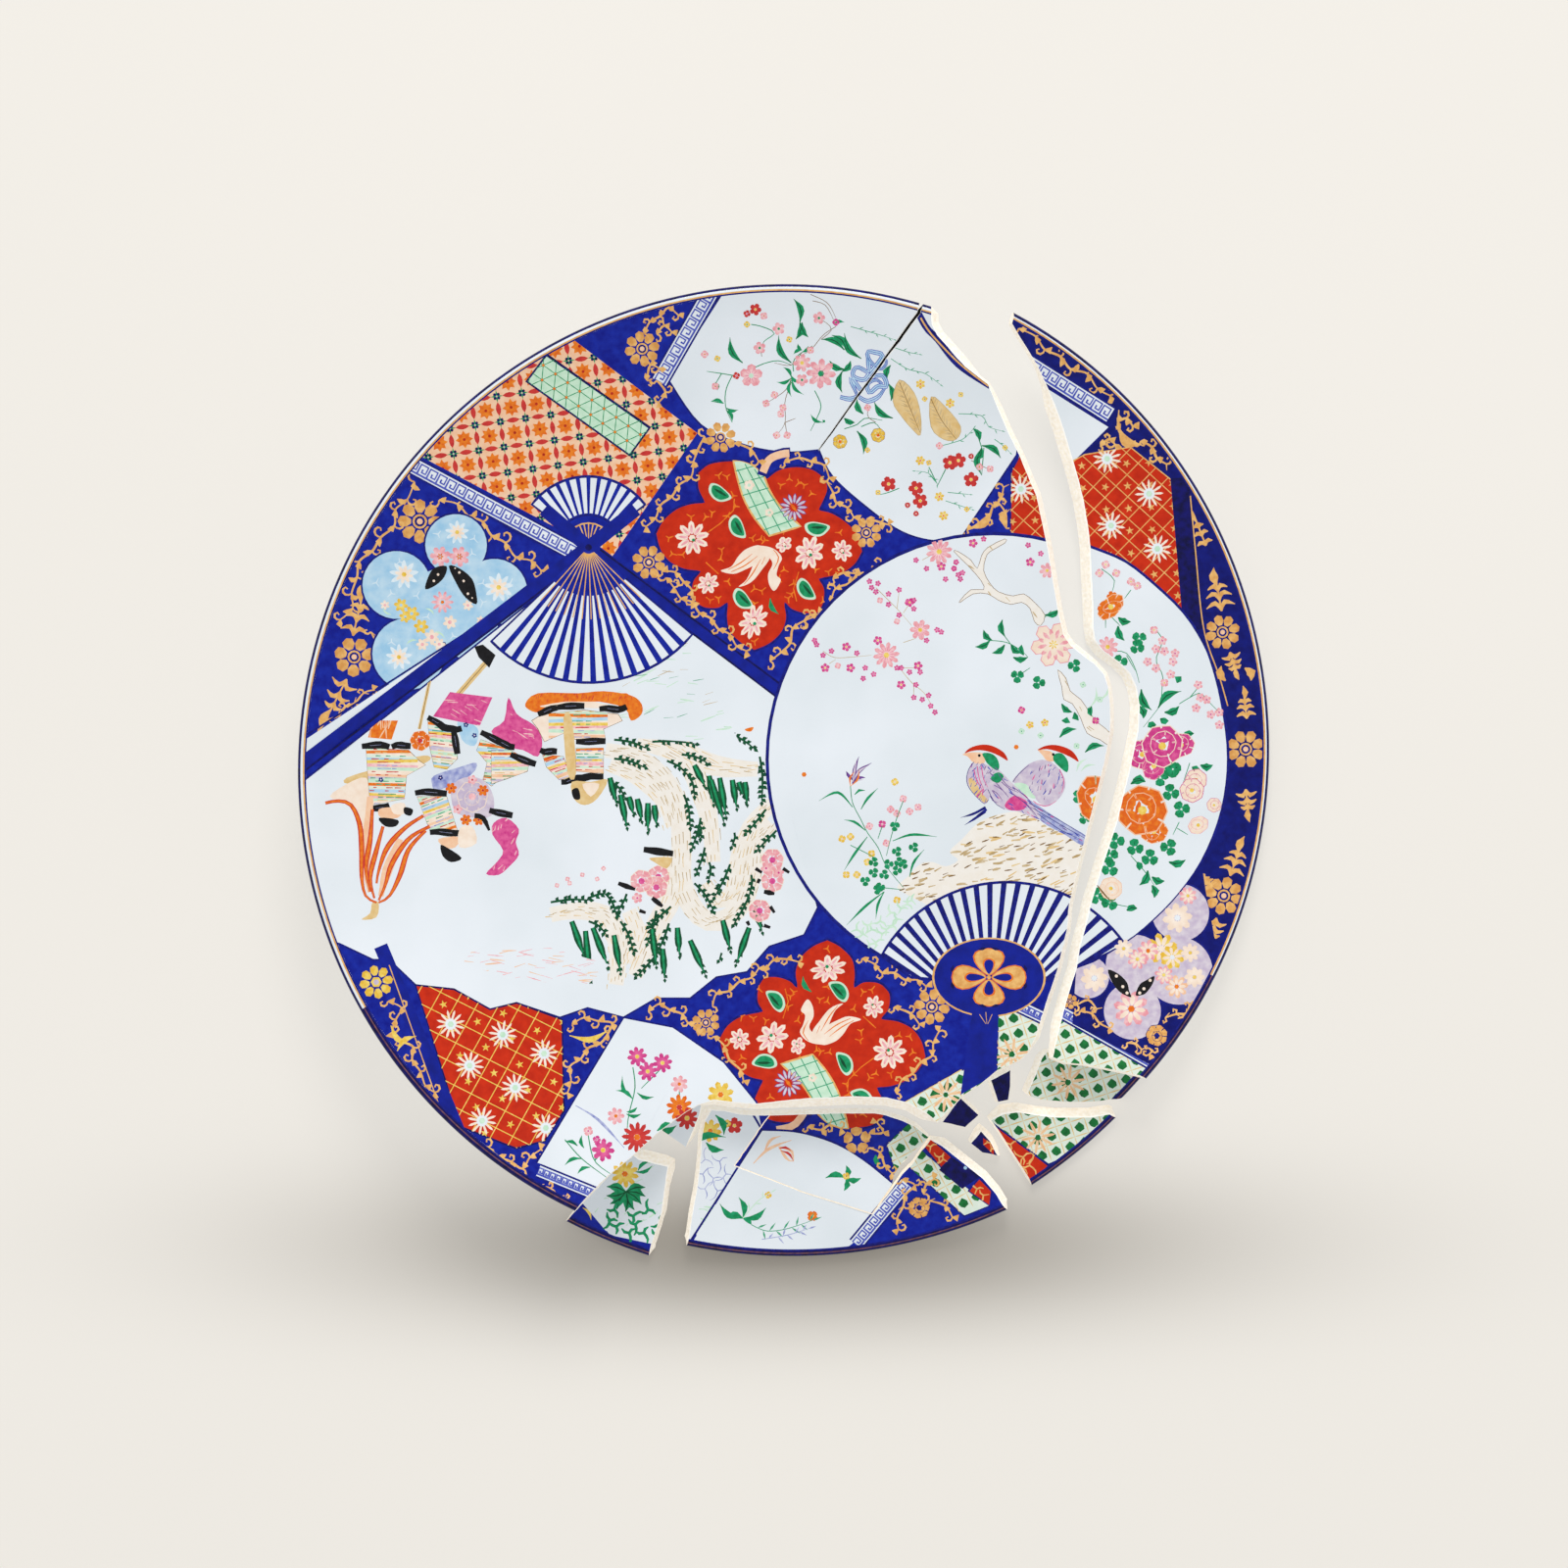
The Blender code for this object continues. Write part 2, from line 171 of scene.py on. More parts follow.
# ---------------------------------------------------------------- the shards, as in the CAD
# Every outline is the broken edge of the painted face as the piece lies, clockwise, in runs: how far the
# break slants outwards to the back of the wall, and the run's points. A piece with rim is closed round it.
MAIN_EDGE = [
    (3.4, [(69, 216), (69.5, 211), (72, 206), (78, 199.5), (85, 191.5)]),
    (1.2, [(92, 186), (96, 183)]),
    (2.4, [(100.5, 172), (105.5, 160.5), (111, 149.5), (114.5, 141), (119, 130.5), (121.5, 119),
           (124.5, 105), (127.5, 86.5), (129.5, 75), (132, 64.5), (135.5, 59.5), (141, 55)]),
    (1.9, [(146.5, 51), (151, 46), (153, 40), (154, 30), (154, 19.5), (151, 3), (144, -24.5),
           (138.5, -45.5), (134.5, -64), (133.5, -75.5), (129, -94), (123.5, -110), (118.5, -126)]),
    (0.5, [(115, -133), (110.5, -137), (100.5, -141.5), (92, -148.5), (84, -153.5), (72, -166)]),
    (4.0, [(66.5, -161.5), (58.5, -157), (48, -154.5), (32, -154), (9.5, -155)]),
    (2.6, [(-14.5, -157.5), (-26, -156.5), (-33.5, -155.5)]),
    (0.3, [(-41, -158), (-46.5, -161), (-59.5, -170.5), (-71, -181), (-83.5, -191), (-90.5, -198),
           (-102, -210)]),
]
RIGHT_EDGE = [
    (0.7, [(175.5, -145), (167.5, -144), (160.5, -142.5), (143, -139), (132.5, -138), (126.5, -135.5)]),
    (3.0, [(130, -120.5), (133.5, -107.5), (138, -93), (139.5, -83.5), (142.5, -73), (145, -62.5),
           (151, -43), (157.5, -23.5), (163.5, 1), (167.5, 19.5), (168, 31), (166.5, 40), (163.5, 46.5),
           (158, 52), (151, 57), (147, 62), (146, 68)]),
    (3.5, [(146, 77), (145, 95.5), (144.5, 106.5), (143.5, 115), (141.5, 127), (139, 137.5),
           (136.5, 146), (131.5, 162.5), (127.5, 173.5)]),
    (1.2, [(123.5, 182.5)]),
    (0.3, [(119, 192), (115, 198.5), (110.5, 205.5), (107, 211.5), (109, 217)]),
]
# The two breaks that the bottom piece shares with the piece set into it.
CRACK_LEFT = [(-24, -187), (-11.3, -168.5)]
CRACK_LOW = [(41.3, -210), (25, -204.8), (9, -199.8), (-5, -194.3)]
BOTTOM_EDGE = [
    (1.7, [(-46, -223.5), (-44, -209.5), (-41.5, -195.5), (-40, -181.5), (-39.5, -172.5),
           (-38, -165.5), (-35, -160.5)]),
    (0.6, [(-28, -161), (-21.5, -162.5), (-14.5, -163), (-7.3, -163)]),
    (0.0, CRACK_LEFT[::-1] + CRACK_LOW[::-1] + [(52, -196), (55.5, -191), (60, -186.5), (64.5, -180)]),
    (0.4, [(69, -174.5)]),
    (2.6, [(74.5, -177.5), (79.5, -181.5), (94, -193), (100, -200), (103, -205)]),
]
CENTRE_EDGE = [
    (0.8, [(-7.3, -163), (9, -162.5), (28, -162), (42.5, -162), (48, -163), (55.5, -165.5),
           (62, -168.5)]),
    (0.2, [(68.3, -173.6), (63, -178.5)]),
    (1.6, [(56, -185.5)]),
    (0.0, [(52, -191), (51, -196)] + CRACK_LOW + CRACK_LEFT),
]
BOTTOM_LEFT_EDGE = [
    (0.2, [(-101.5, -210.5), (-90, -198.5), (-83, -191), (-72, -182)]),
    (3.5, [(-69.5, -184), (-55.5, -187.5)]),
    (2.0, [(-57, -198), (-58.5, -209.5), (-63.5, -225)]),
]
CHIP_EDGE = [
    (0.8, [(-47, -178.5), (-58.5, -170.5)]),
    (0.3, [(-55.5, -164), (-46.5, -156.5)]),
    (2.4, [(-39.5, -157.5), (-40.5, -163), (-44, -171.5)]),
]
LOWER_RIGHT_OUTER_EDGE = [
    (0.6, [(156, -155.5), (150, -156.5), (143, -157), (133, -157), (122, -156), (116.5, -154.5)]),
    (1.5, [(115, -152.5), (118.5, -144.5), (121.5, -136.5)]),
    (0.3, [(124, -133), (136, -133), (152, -137), (168, -142.5)]),
]
LOWER_RIGHT_INNER_EDGE = [
    (0.9, [(115.5, -193), (101.5, -171), (97.5, -165.5)]),
    (3.0, [(103.5, -162.5), (110.5, -161.5), (119.5, -163), (129, -164), (138, -164), (145, -164),
           (154, -162.5)]),
]
SLIVER_UPPER_EDGE = [
    (1.3, [(101, -157), (97.5, -146.5)]),
    (0.6, [(107, -141.5), (107, -149.5), (106, -156)]),
]
SLIVER_LOWER_EDGE = [
    (2.2, [(93, -170.5), (97.5, -175.5), (101, -182.5)]),
    (0.6, [(93.5, -181), (88, -176.5)]),
]
HANDLE_EDGE = [
    (1.0, [(83, -154.5), (92, -163)]),
    (0.4, [(85.5, -169), (74.5, -166.5)]),
]

# The open crack in the main shard: its mouth and its end, and how wide it is there.
CRACK_MOUTH = (63.0, 216.5)
CRACK_END = (15.8, 152.0)
CRACK_MOUTH_WIDTH = 1.9
CRACK_END_WIDTH = 0.7
CRACK_CLOSES = 0.85         # how much of its width the right side has closed by the time it is at the back

# name: (edge, has rim, middle, slide, lean, towards)
SHARDS = {
    "main_shard": (MAIN_EDGE, True, (0, 0), (0, 0), 0, 0),
    "right_shard": (RIGHT_EDGE, True, (179, 6.5), (-2.5, 11), 16.5, 2),
    "bottom_shard": (BOTTOM_EDGE, True, (16.5, -203.5), (4.5, 1), 20.5, -85.5),
    "bottom_centre_shard": (CENTRE_EDGE, False, (23, -181.5), (4.5, 1), 17, -83),
    "bottom_left_shard": (BOTTOM_LEFT_EDGE, True, (-73.5, -202), (4.5, -9.5), 20.5, -111),
    "tucked_chip": (CHIP_EDGE, False, (-48.5, -166.5), (-1, 5), 15.5, -106),
    "lower_right_outer_shard": (LOWER_RIGHT_OUTER_EDGE, True, (143.5, -146.5), (-5.5, 5.5), 20.5, -45.5),
    "lower_right_inner_shard": (LOWER_RIGHT_INNER_EDGE, True, (125.5, -175), (-7.5, -3), 22.5, -54.5),
    "upper_sliver": (SLIVER_UPPER_EDGE, False, (103, -149.5), (3, 0), 16.5, -55.5),
    "lower_sliver": (SLIVER_LOWER_EDGE, False, (94, -177), (2, -4), 20, -62),
    "fan_handle_shard": (HANDLE_EDGE, False, (83.5, -163), (2, -2), 17, -63),
}


class Shard:
    """A shard's outline and the shapes painted on its face, the lowest first."""

    def __init__(self, name, edge, has_rim, middle, slide, lean, towards):
        self.name = name
        self.has_rim = has_rim
        self.pose = Pose(middle, slide, lean, towards)
        self.painted = []
        self.outline, self.slant = self.closed(edge)
        self.away = self.outward()

    def closed(self, edge):
        """The whole outline in plan, clockwise, and each point's slant, which is None on the rim."""
        broken = [(*p, slant) for slant, run in edge for p in run]
        if self.has_rim:
            broken = self.trimmed(broken)
        loops = [stood_back(stepped_edge(broken, not self.has_rim), not self.has_rim)]
        if self.name == "main_shard":
            loops.append(self.trimmed(crack_sides()))
        points = []
        for i, loop in enumerate(loops):
            points += loop
            if self.has_rim:
                start = self.rim_angle(loop[-1])
                end = self.rim_angle(loops[(i + 1) % len(loops)][0])
                arc = self.pose.rim_arc(FACE_EDGE, start, end)[1:-1]
                points += [(x, y, None) for x, y in arc]
        return np.array([p[:2] for p in points]), [p[2] for p in points]

    def outward(self):
        """The outward direction of the broken wall at each point of the outline."""
        side = np.roll(self.outline, -1, axis=0) - self.outline
        side /= np.hypot(side[:, 0], side[:, 1])[:, None]
        normal = np.column_stack([-side[:, 1], side[:, 0]])
        bare = np.array([slant is not None for slant in self.slant])
        weight = (bare & np.roll(bare, -1)).astype(float)[:, None]
        total = normal * weight + np.roll(normal * weight, 1, axis=0)
        return total / np.maximum(np.hypot(total[:, 0], total[:, 1]), 1e-6)[:, None]

    def rim_angle(self, point):
        x, y = self.pose.home_of([point[:2]])[0]
        return math.atan2(y, x)

    def trimmed(self, broken):
        """A broken edge that starts and ends on the circle where the face turns into the lip."""
        home = self.pose.home_of([p[:2] for p in broken])
        ends = [home[0] / np.hypot(*home[0]) * BEYOND_RIM, home[-1] / np.hypot(*home[-1]) * BEYOND_RIM]
        home = np.vstack([ends[:1], home, ends[1:]])
        slants = [broken[0][2]] + [p[2] for p in broken] + [broken[-1][2]]
        radii = np.hypot(home[:, 0], home[:, 1])
        inside = np.flatnonzero(radii < FACE_EDGE - 0.3)
        first, last = inside[0], inside[-1]
        kept = [crossing(home[first - 1], home[first])]
        kept += list(home[first:last + 1])
        kept.append(crossing(home[last + 1], home[last]))
        slants = [slants[first]] + slants[first:last + 1] + [slants[last]]
        kept = np.array(kept)
        heights = face_height(np.hypot(kept[:, 0], kept[:, 1]))
        plan = self.pose.lies(np.column_stack([kept, heights]))[:, :2]
        return [(x, y, s) for (x, y), s in zip(plan, slants)]

    def paint(self, enamel, outline, within=None, shade=None):
        """Adds a painted shape. within is the number of the shape that it may not run out of. shade is
        (x, y, reach): the enamel goes from its first tone there to its second that far away."""
        outline = np.asarray(outline, float)
        if signed_area(outline) < 0:
            outline = outline[::-1]
        self.painted.append((enamel, outline, within, shade))
        return len(self.painted)

    def paint_all(self, enamel, outlines, within=None, shade=None):
        """Adds many shapes, leaving out those wholly off the shard or off the shape they are within."""
        if not outlines:
            return
        edge = self.outline if within is None else self.painted[within - 1][1]
        low, high = edge.min(0), edge.max(0)
        outlines = [np.asarray(o, float) for o in outlines]
        outlines = [o for o in outlines if (o.max(0) > low).all() and (o.min(0) < high).all()]
        if outlines:
            starts = np.cumsum([0] + [len(o) for o in outlines[:-1]])
            touches = np.logical_or.reduceat(holds(edge, np.vstack(outlines)), starts)
            touches |= [float(np.ptp(o, axis=0).max()) > WIDE_SHAPE for o in outlines]
            for outline, touching in zip(outlines, touches):
                if touching:
                    self.paint(enamel, outline, within, shade)


def crossing(outside, inside):
    """Where the line from outside to inside meets the circle where the face turns into the lip."""
    step = inside - outside
    a, b, c = step @ step, 2 * outside @ step, outside @ outside - FACE_EDGE ** 2
    return outside + step * (-b - math.sqrt(b * b - 4 * a * c)) / (2 * a)


def signed_area(points):
    x, y = points[:, 0], points[:, 1]
    return 0.5 * float(np.sum(x * np.roll(y, -1) - np.roll(x, -1) * y))


def holds(polygon, points):
    """Which of the points lie inside the polygon."""
    inside = np.zeros(len(points), bool)
    px, py = points[:, 0], points[:, 1]
    for (ax, ay), (bx, by) in zip(polygon, np.roll(polygon, -1, axis=0)):
        if ay != by:
            inside ^= ((ay > py) != (by > py)) & (px < (bx - ax) * (py - ay) / (by - ay) + ax)
    return inside


def stepped_edge(points, closed):
    """A broken edge divided every few millimetres and very slightly uneven. Each point is (x, y, slant)."""
    result = []
    pairs = list(zip(points, points[1:] + points[:1] if closed else points[1:]))
    for a, b in pairs:
        parts = max(1, round(math.dist(a[:2], b[:2]) / EDGE_STEP))
        for k in range(parts):
            x, y, slant = (p + (q - p) * k / parts for p, q in zip(a, b))
            away = EDGE_WANDER * noise.noise(Vector((x, y, 3.0)) * EDGE_GRIT) if k else 0.0
            result.append((x + away, y - away, slant))
    return result if closed else result + [points[-1]]


def stood_back(points, closed):
    """The outline moved in by half the gap of a break. The ends of an open one stay where they are."""
    plan = np.array([p[:2] for p in points])
    along = np.roll(plan, -1, axis=0) - np.roll(plan, 1, axis=0)
    outwards = np.column_stack([-along[:, 1], along[:, 0]]) / np.hypot(along[:, 0], along[:, 1])[:, None]
    moved = plan - outwards * HALF_GAP
    if not closed:
        moved[[0, -1]] = plan[[0, -1]]
    return [(x, y, p[2]) for (x, y), p in zip(moved, points)]


def crack_sides():
    """The open crack as an edge that runs in along one side and back out along the other, clockwise."""
    mouth, end = np.array(CRACK_MOUTH), np.array(CRACK_END)
    along = (end - mouth) / np.hypot(*(end - mouth))
    across = np.array([-along[1], along[0]])
    steps = np.linspace(0, 1, CRACK_STEPS)
    widths = CRACK_MOUTH_WIDTH + (CRACK_END_WIDTH - CRACK_MOUTH_WIDTH) * steps
    middles = [mouth + (end - mouth) * t for t in steps]
    waves = [CRACK_WANDER * noise.noise(Vector((t * CRACK_GRIT, 1.7, 0.3))) for t in steps]
    sides = []
    for side, closes in ((-1, 0.0), (1, CRACK_CLOSES)):
        run = [(*(m + across * (side * w / 2 + v)), closes * w) for m, w, v in zip(middles, widths, waves)]
        sides.append(run if side < 0 else run[::-1])
    return sides[0] + sides[1]


# ---------------------------------------------------------------- shards to meshes
def free_points(low, high, step):
    """Evenly scattered points in rows, for curved ground that has no painted shape to follow."""
    xs = np.arange(low[0], high[0] + step, step)
    ys = np.arange(low[1], high[1] + step, step)
    return [(x + (step / 2 if j % 2 else 0), y) for j, y in enumerate(ys) for x in xs]


def far_from(edge, points, gap):
    """The points that lie inside the edge and at least that far from it."""
    points = np.asarray(points, float)
    points = points[holds(edge, points)]
    nearest = np.full(len(points), np.inf)
    for a, b in zip(edge, np.roll(edge, -1, axis=0)):
        side = b - a
        t = np.clip(((points - a) @ side) / max(side @ side, 1e-9), 0, 1)
        nearest = np.minimum(nearest, np.hypot(*(points - a - t[:, None] * side).T))
    return points[nearest > gap]


def topmost(covering, painted):
    """Number of the uppermost painted shape over a facet. 0 is the bare glaze."""
    over = set(covering) - {0}
    for number in sorted(over, reverse=True):
        within = number
        while within:
            if within not in over:
                break
            within = painted[within - 1][2]
        else:
            return number
    return 0


def painted_over(painted):
    """Which painted shapes are small and lie wholly under a large one painted later."""
    spans = [float(np.ptp(outline, axis=0).max()) for _, outline, _, _ in painted]
    starts = np.cumsum([0] + [len(outline) for _, outline, _, _ in painted])
    points = np.vstack([outline for _, outline, _, _ in painted])
    hidden = np.zeros(len(painted), bool)
    for i, (_, outline, within, _) in enumerate(painted):
        if i and within is None and spans[i] > GROUND_SPAN:
            inside = holds(outline, points[:starts[i]])
            hidden[:i] |= np.logical_and.reduceat(inside, starts[:i])
    return hidden & (np.array(spans) < GROUND_SPAN)


def within_reach(found, facets, covering, faces, points):
    """Each facet's covering faces, less those that ran out past their own outline."""
    middles = np.array([p[:] for p in found])[np.array(facets)].mean(1)
    claimed = {}
    for i, over in enumerate(covering):
        for face in over:
            claimed.setdefault(face, []).append(i)
    covering = [set(over) for over in covering]
    for face, mine in claimed.items():
        outline = points[faces[face]]
        spots = middles[mine]
        if (spots < outline.min(0)).any() or (spots > outline.max(0)).any():
            for i in np.array(mine)[~holds(outline, spots)]:
                covering[i].discard(face)
    return covering


def painted_face(shard):
    """The face cut along every painted shape: plan points, facets, and each facet's shape number."""
    points = [tuple(p) for p in shard.outline[::-1]]
    faces = [list(range(len(points)))]
    numbers = [0]
    hidden = painted_over(shard.painted) if shard.painted else []
    for number, (_, outline, _, _) in enumerate(shard.painted, 1):
        if not hidden[number - 1]:
            faces.append(list(range(len(points), len(points) + len(outline))))
            points += [tuple(p) for p in outline]
            numbers.append(number)
    low, high = shard.outline.min(0), shard.outline.max(0)
    points += [tuple(p) for p in far_from(shard.outline, free_points(low, high, FACE_STEP), 1.0)]
    found, _, facets, _, _, covering = delaunay_2d_cdt([Vector(p) for p in points], [], faces, 0, 1e-4, True)
    kept, shapes = [], []
    for facet, over in zip(facets, within_reach(found, facets, covering, faces, np.array(points))):
        if 0 in over:
            kept.append(facet)
            shapes.append(topmost([numbers[i] for i in over], shard.painted))
    kept = np.array(kept)
    used = np.unique(kept)
    renumber = np.zeros(len(found), int)
    renumber[used] = np.arange(len(used))
    plan = np.array([found[i][:] for i in used])
    kept = renumber[kept]
    a, b, c = (plan[kept[:, k]] for k in range(3))
    turned = (b[:, 0] - a[:, 0]) * (c[:, 1] - a[:, 1]) - (b[:, 1] - a[:, 1]) * (c[:, 0] - a[:, 0]) < 0
    kept[turned] = kept[turned][:, ::-1]
    return plan, kept, shapes


def boundary_loop(facets):
    """The vertices round the outside of a sheet of facets, anticlockwise."""
    sides = set()
    for a, b, c in facets.tolist():
        sides.update(((a, b), (b, c), (c, a)))
    following = {a: b for a, b in sides if (b, a) not in sides}
    start = next(iter(following))
    loop = [start]
    while following[loop[-1]] != start:
        loop.append(following[loop[-1]])
    if len(loop) != len(following):
        raise RuntimeError("the face has a hole or a pinched place: %d of %d" % (len(loop), len(following)))
    return loop


def edge_place(shard, point):
    """(outward slant of the wall, on the broken edge, on the rim) of a boundary point."""
    edge, slant = shard.outline, shard.slant
    corner = int(np.argmin(np.hypot(*(edge - point).T)))
    beside = slant[corner - 1], slant[(corner + 1) % len(edge)]
    if math.dist(edge[corner], point) < 1e-3 and slant[corner] is not None and None in beside:
        return shard.away[corner] * slant[corner], True, True
    following = np.roll(edge, -1, axis=0)
    side = following - edge
    t = np.clip(((point - edge) * side).sum(1) / (side ** 2).sum(1), 0, 1)
    away = np.hypot(*(edge + t[:, None] * side - point).T)
    near = int(np.argmin(away))
    beyond = (near + 1) % len(edge)
    if slant[near] is None or slant[beyond] is None:
        return None, False, True
    here, there = (shard.away[i] * slant[i] for i in (near, beyond))
    return here + (there - here) * t[near], True, False


def lip_column(home, corners):
    """A boundary point's rows round the lip. Near a corner they lean to follow the break that ends there."""
    radial = home / np.hypot(*home)
    corner, ending = min(corners, key=lambda c: math.dist(c[0], home))
    along = radial + (ending - radial) * max(0.0, 1 - math.dist(home, corner) / LIP_LEAN_REACH)
    along /= np.hypot(*along)
    out, square = home @ along, home @ home
    return [(*(home + along * (math.sqrt(out * out - square + radius * radius) - out)), height)
            for radius, height in LIP[1:]]


def rim_corners(home, loop, kinds):
    """(place, direction) of each corner where a break ends at the rim."""
    corners = []
    for i, (_, broken, rim) in enumerate(kinds):
        if broken and rim:
            step = -1 if kinds[i - 1][1] and not kinds[i - 1][2] else 1
            along = home[loop[i]] - home[loop[(i + 2 * step) % len(loop)]]
            along /= np.hypot(*along)
            if along @ home[loop[i]] < 0.5 * np.hypot(*home[loop[i]]):
                along = home[loop[i]] / np.hypot(*home[loop[i]])
            corners.append((home[loop[i]], along))
    return corners


def wall_column(home, slant):
    """A boundary point's rows down the broken wall, slanting outwards and a little rough."""
    top = face_height(np.hypot(*home))
    foot = home + slant
    away = slant / max(np.hypot(*slant), 1e-6)
    base = float(back_height(np.hypot(*foot)))
    rows = []
    for k in range(1, WALL_ROWS + 1):
        t = k / WALL_ROWS
        rough = 0.0
        if k < WALL_ROWS:
            rough = WALL_WANDER * noise.noise(Vector((*(home * WALL_GRIT), 4.0 * t)))
        place = home + slant * t + away * rough
        rows.append((*place, top + (base - top) * t))
    return rows


class Skin:
    """Vertices and facets of one closed shard, each facet with an enamel and a painted shape's number."""

    def __init__(self):
        self.places = []
        self.facets = []
        self.enamels = []
        self.shapes = []

    def add(self, places):
        first = len(self.places)
        self.places += [tuple(p) for p in places]
        return list(range(first, len(self.places)))

    def facet(self, corners, enamel, shape=-1):
        if len(set(corners)) == 3:
            self.facets.append(tuple(corners))
            self.enamels.append(enamel)
            self.shapes.append(shape)

    def strip(self, left, right, enamels):
        """Facets between two columns of rows, the first row being the face's edge."""
        for k, enamel in enumerate(enamels):
            a, b, c, d = left[k], left[k + 1], right[k + 1], right[k]
            self.facet((a, b, c), enamel)
            self.facet((a, c, d), enamel)


def in_crack(place):
    """Whether a place on the main shard's edge is beside the open crack."""
    mouth, end = np.array(CRACK_MOUTH), np.array(CRACK_END)
    along = (end - mouth) / math.dist(mouth, end)
    away = np.array(place[:2]) - mouth
    beside = abs(along[0] * away[1] - along[1] * away[0]) < CRACK_MOUTH_WIDTH + 0.1
    return beside and -3 < away @ along < math.dist(mouth, end) + 1


def side_enamels(shard, place, on_lip):
    """The enamels of one step of a shard's side, from the face's edge down to the back."""
    if on_lip and place[1] < LOWER_RIM:
        return DARK_LIP
    if on_lip:
        return PALE_LIP if shard is main else LEANING_LIP
    return CRACK_ENAMELS if shard is main and in_crack(place) else WALL_ENAMELS


def shard_skin(shard):
    """The whole shard in the unbroken plate's own frame."""
    skin = Skin()
    plan, facets, shapes = painted_face(shard)
    home = shard.pose.home_of(plan)
    heights = face_height(np.hypot(home[:, 0], home[:, 1]))
    skin.add(np.column_stack([home, heights]))
    for facet, shape in zip(facets.tolist(), shapes):
        enamel = shard.painted[shape - 1][0] if shape else "glaze"
        skin.facet(facet, enamel, shape)

    loop = boundary_loop(facets)
    kinds = [edge_place(shard, plan[vertex]) for vertex in loop]
    start = next(i for i, (_, broken, rim) in enumerate(kinds) if broken != rim)
    loop = loop[start:] + loop[:start]
    kinds = kinds[start:] + kinds[:start]
    corners = rim_corners(home, loop, kinds)
    columns = []            # (column of vertices, whether it goes round the lip)
    for i, (vertex, (slant, broken, rim)) in enumerate(zip(loop, kinds)):
        from_wall = kinds[i - 1][1] and not kinds[i - 1][2]
        made = []
        if broken:
            made.append(([vertex] + skin.add(wall_column(home[vertex], slant)), False))
        if rim:
            made.append(([vertex] + skin.add(lip_column(home[vertex], corners)), True))
        columns += made if from_wall else made[::-1]
    for (left, left_lip), (right, right_lip) in zip(columns, columns[1:] + columns[:1]):
        skin.strip(left, right, side_enamels(shard, skin.places[left[0]], left_lip and right_lip))
    add_back(skin, [column[-1] for column, _ in columns], shard)
    return skin


def add_back(skin, loop, shard):
    """Closes a shard with its back, which follows the foot ring where the shard has it."""
    edge = np.array([skin.places[v][:2] for v in loop])
    points = [Vector(p) for p in edge]
    faces = [list(range(len(points)))]
    chains = []
    if shard.name == "main_shard":
        for radius, _ in foot_profile():
            chain = list(range(len(points), len(points) + FOOT_STEPS))
            angles = [2 * math.pi * k / FOOT_STEPS for k in range(FOOT_STEPS)]
            points += [Vector((radius * math.cos(a), radius * math.sin(a))) for a in angles]
            chains += list(zip(chain, chain[1:] + chain[:1]))
    low, high = edge.min(0), edge.max(0)
    free = far_from(edge, free_points(low, high, BACK_STEP), 3.0)
    ring = foot_profile()
    radii = np.hypot(free[:, 0], free[:, 1])
    free = free[(radii > ring[0][0] + 1) | (radii < ring[-1][0] - 1)]
    points += [Vector(p) for p in free]
    found, _, facets, origins, _, covering = delaunay_2d_cdt(points, chains, faces, 0, 1e-4, True)
    number = {}
    for index, origin in enumerate(origins):
        for source in origin:
            if source < len(loop):
                number[index] = loop[source]
    crossed = [i for i, origin in enumerate(origins) if not origin]
    if crossed:
        raise RuntimeError(f"the back of {shard.name} crosses itself at {[found[i][:] for i in crossed]}")
    for index, place in enumerate(found):
        if index not in number:
            number[index] = skin.add([(place[0], place[1], float(back_height(math.hypot(*place))))])[0]
    flat = (ring[3][0], ring[2][0])
    for facet, over in zip(facets, covering):
        if 0 not in over:
            continue
        a, b, c = (found[i] for i in facet)
        if (b - a).cross(c - a) > 0:
            facet = facet[::-1]
        middle = (a + b + c) / 3
        bare = flat[0] - 0.2 < middle.length < flat[1] + 0.2
        skin.facet([number[i] for i in facet], "foot" if bare else "glaze")


# ---------------------------------------------------------------- enamels
def linear(hex_colour):
    """A hex sRGB colour as linear RGBA."""
    channels = [int(hex_colour[i:i + 2], 16) / 255 for i in (1, 3, 5)]
    return (*(c / 12.92 if c <= 0.04045 else ((c + 0.055) / 1.055) ** 2.4 for c in channels), 1.0)


def add_node(tree, kind, settings=None, inputs=None):
    """Adds a node to a tree, with its settings and with values or links for its inputs."""
    node = tree.nodes.new(kind)
    for key, value in (settings or {}).items():
        setattr(node, key, value)
    for key, value in (inputs or {}).items():
        socket = node.inputs[key]
        if isinstance(value, bpy.types.NodeSocket):
            tree.links.new(value, socket)
        else:
            socket.default_value = value
    return node


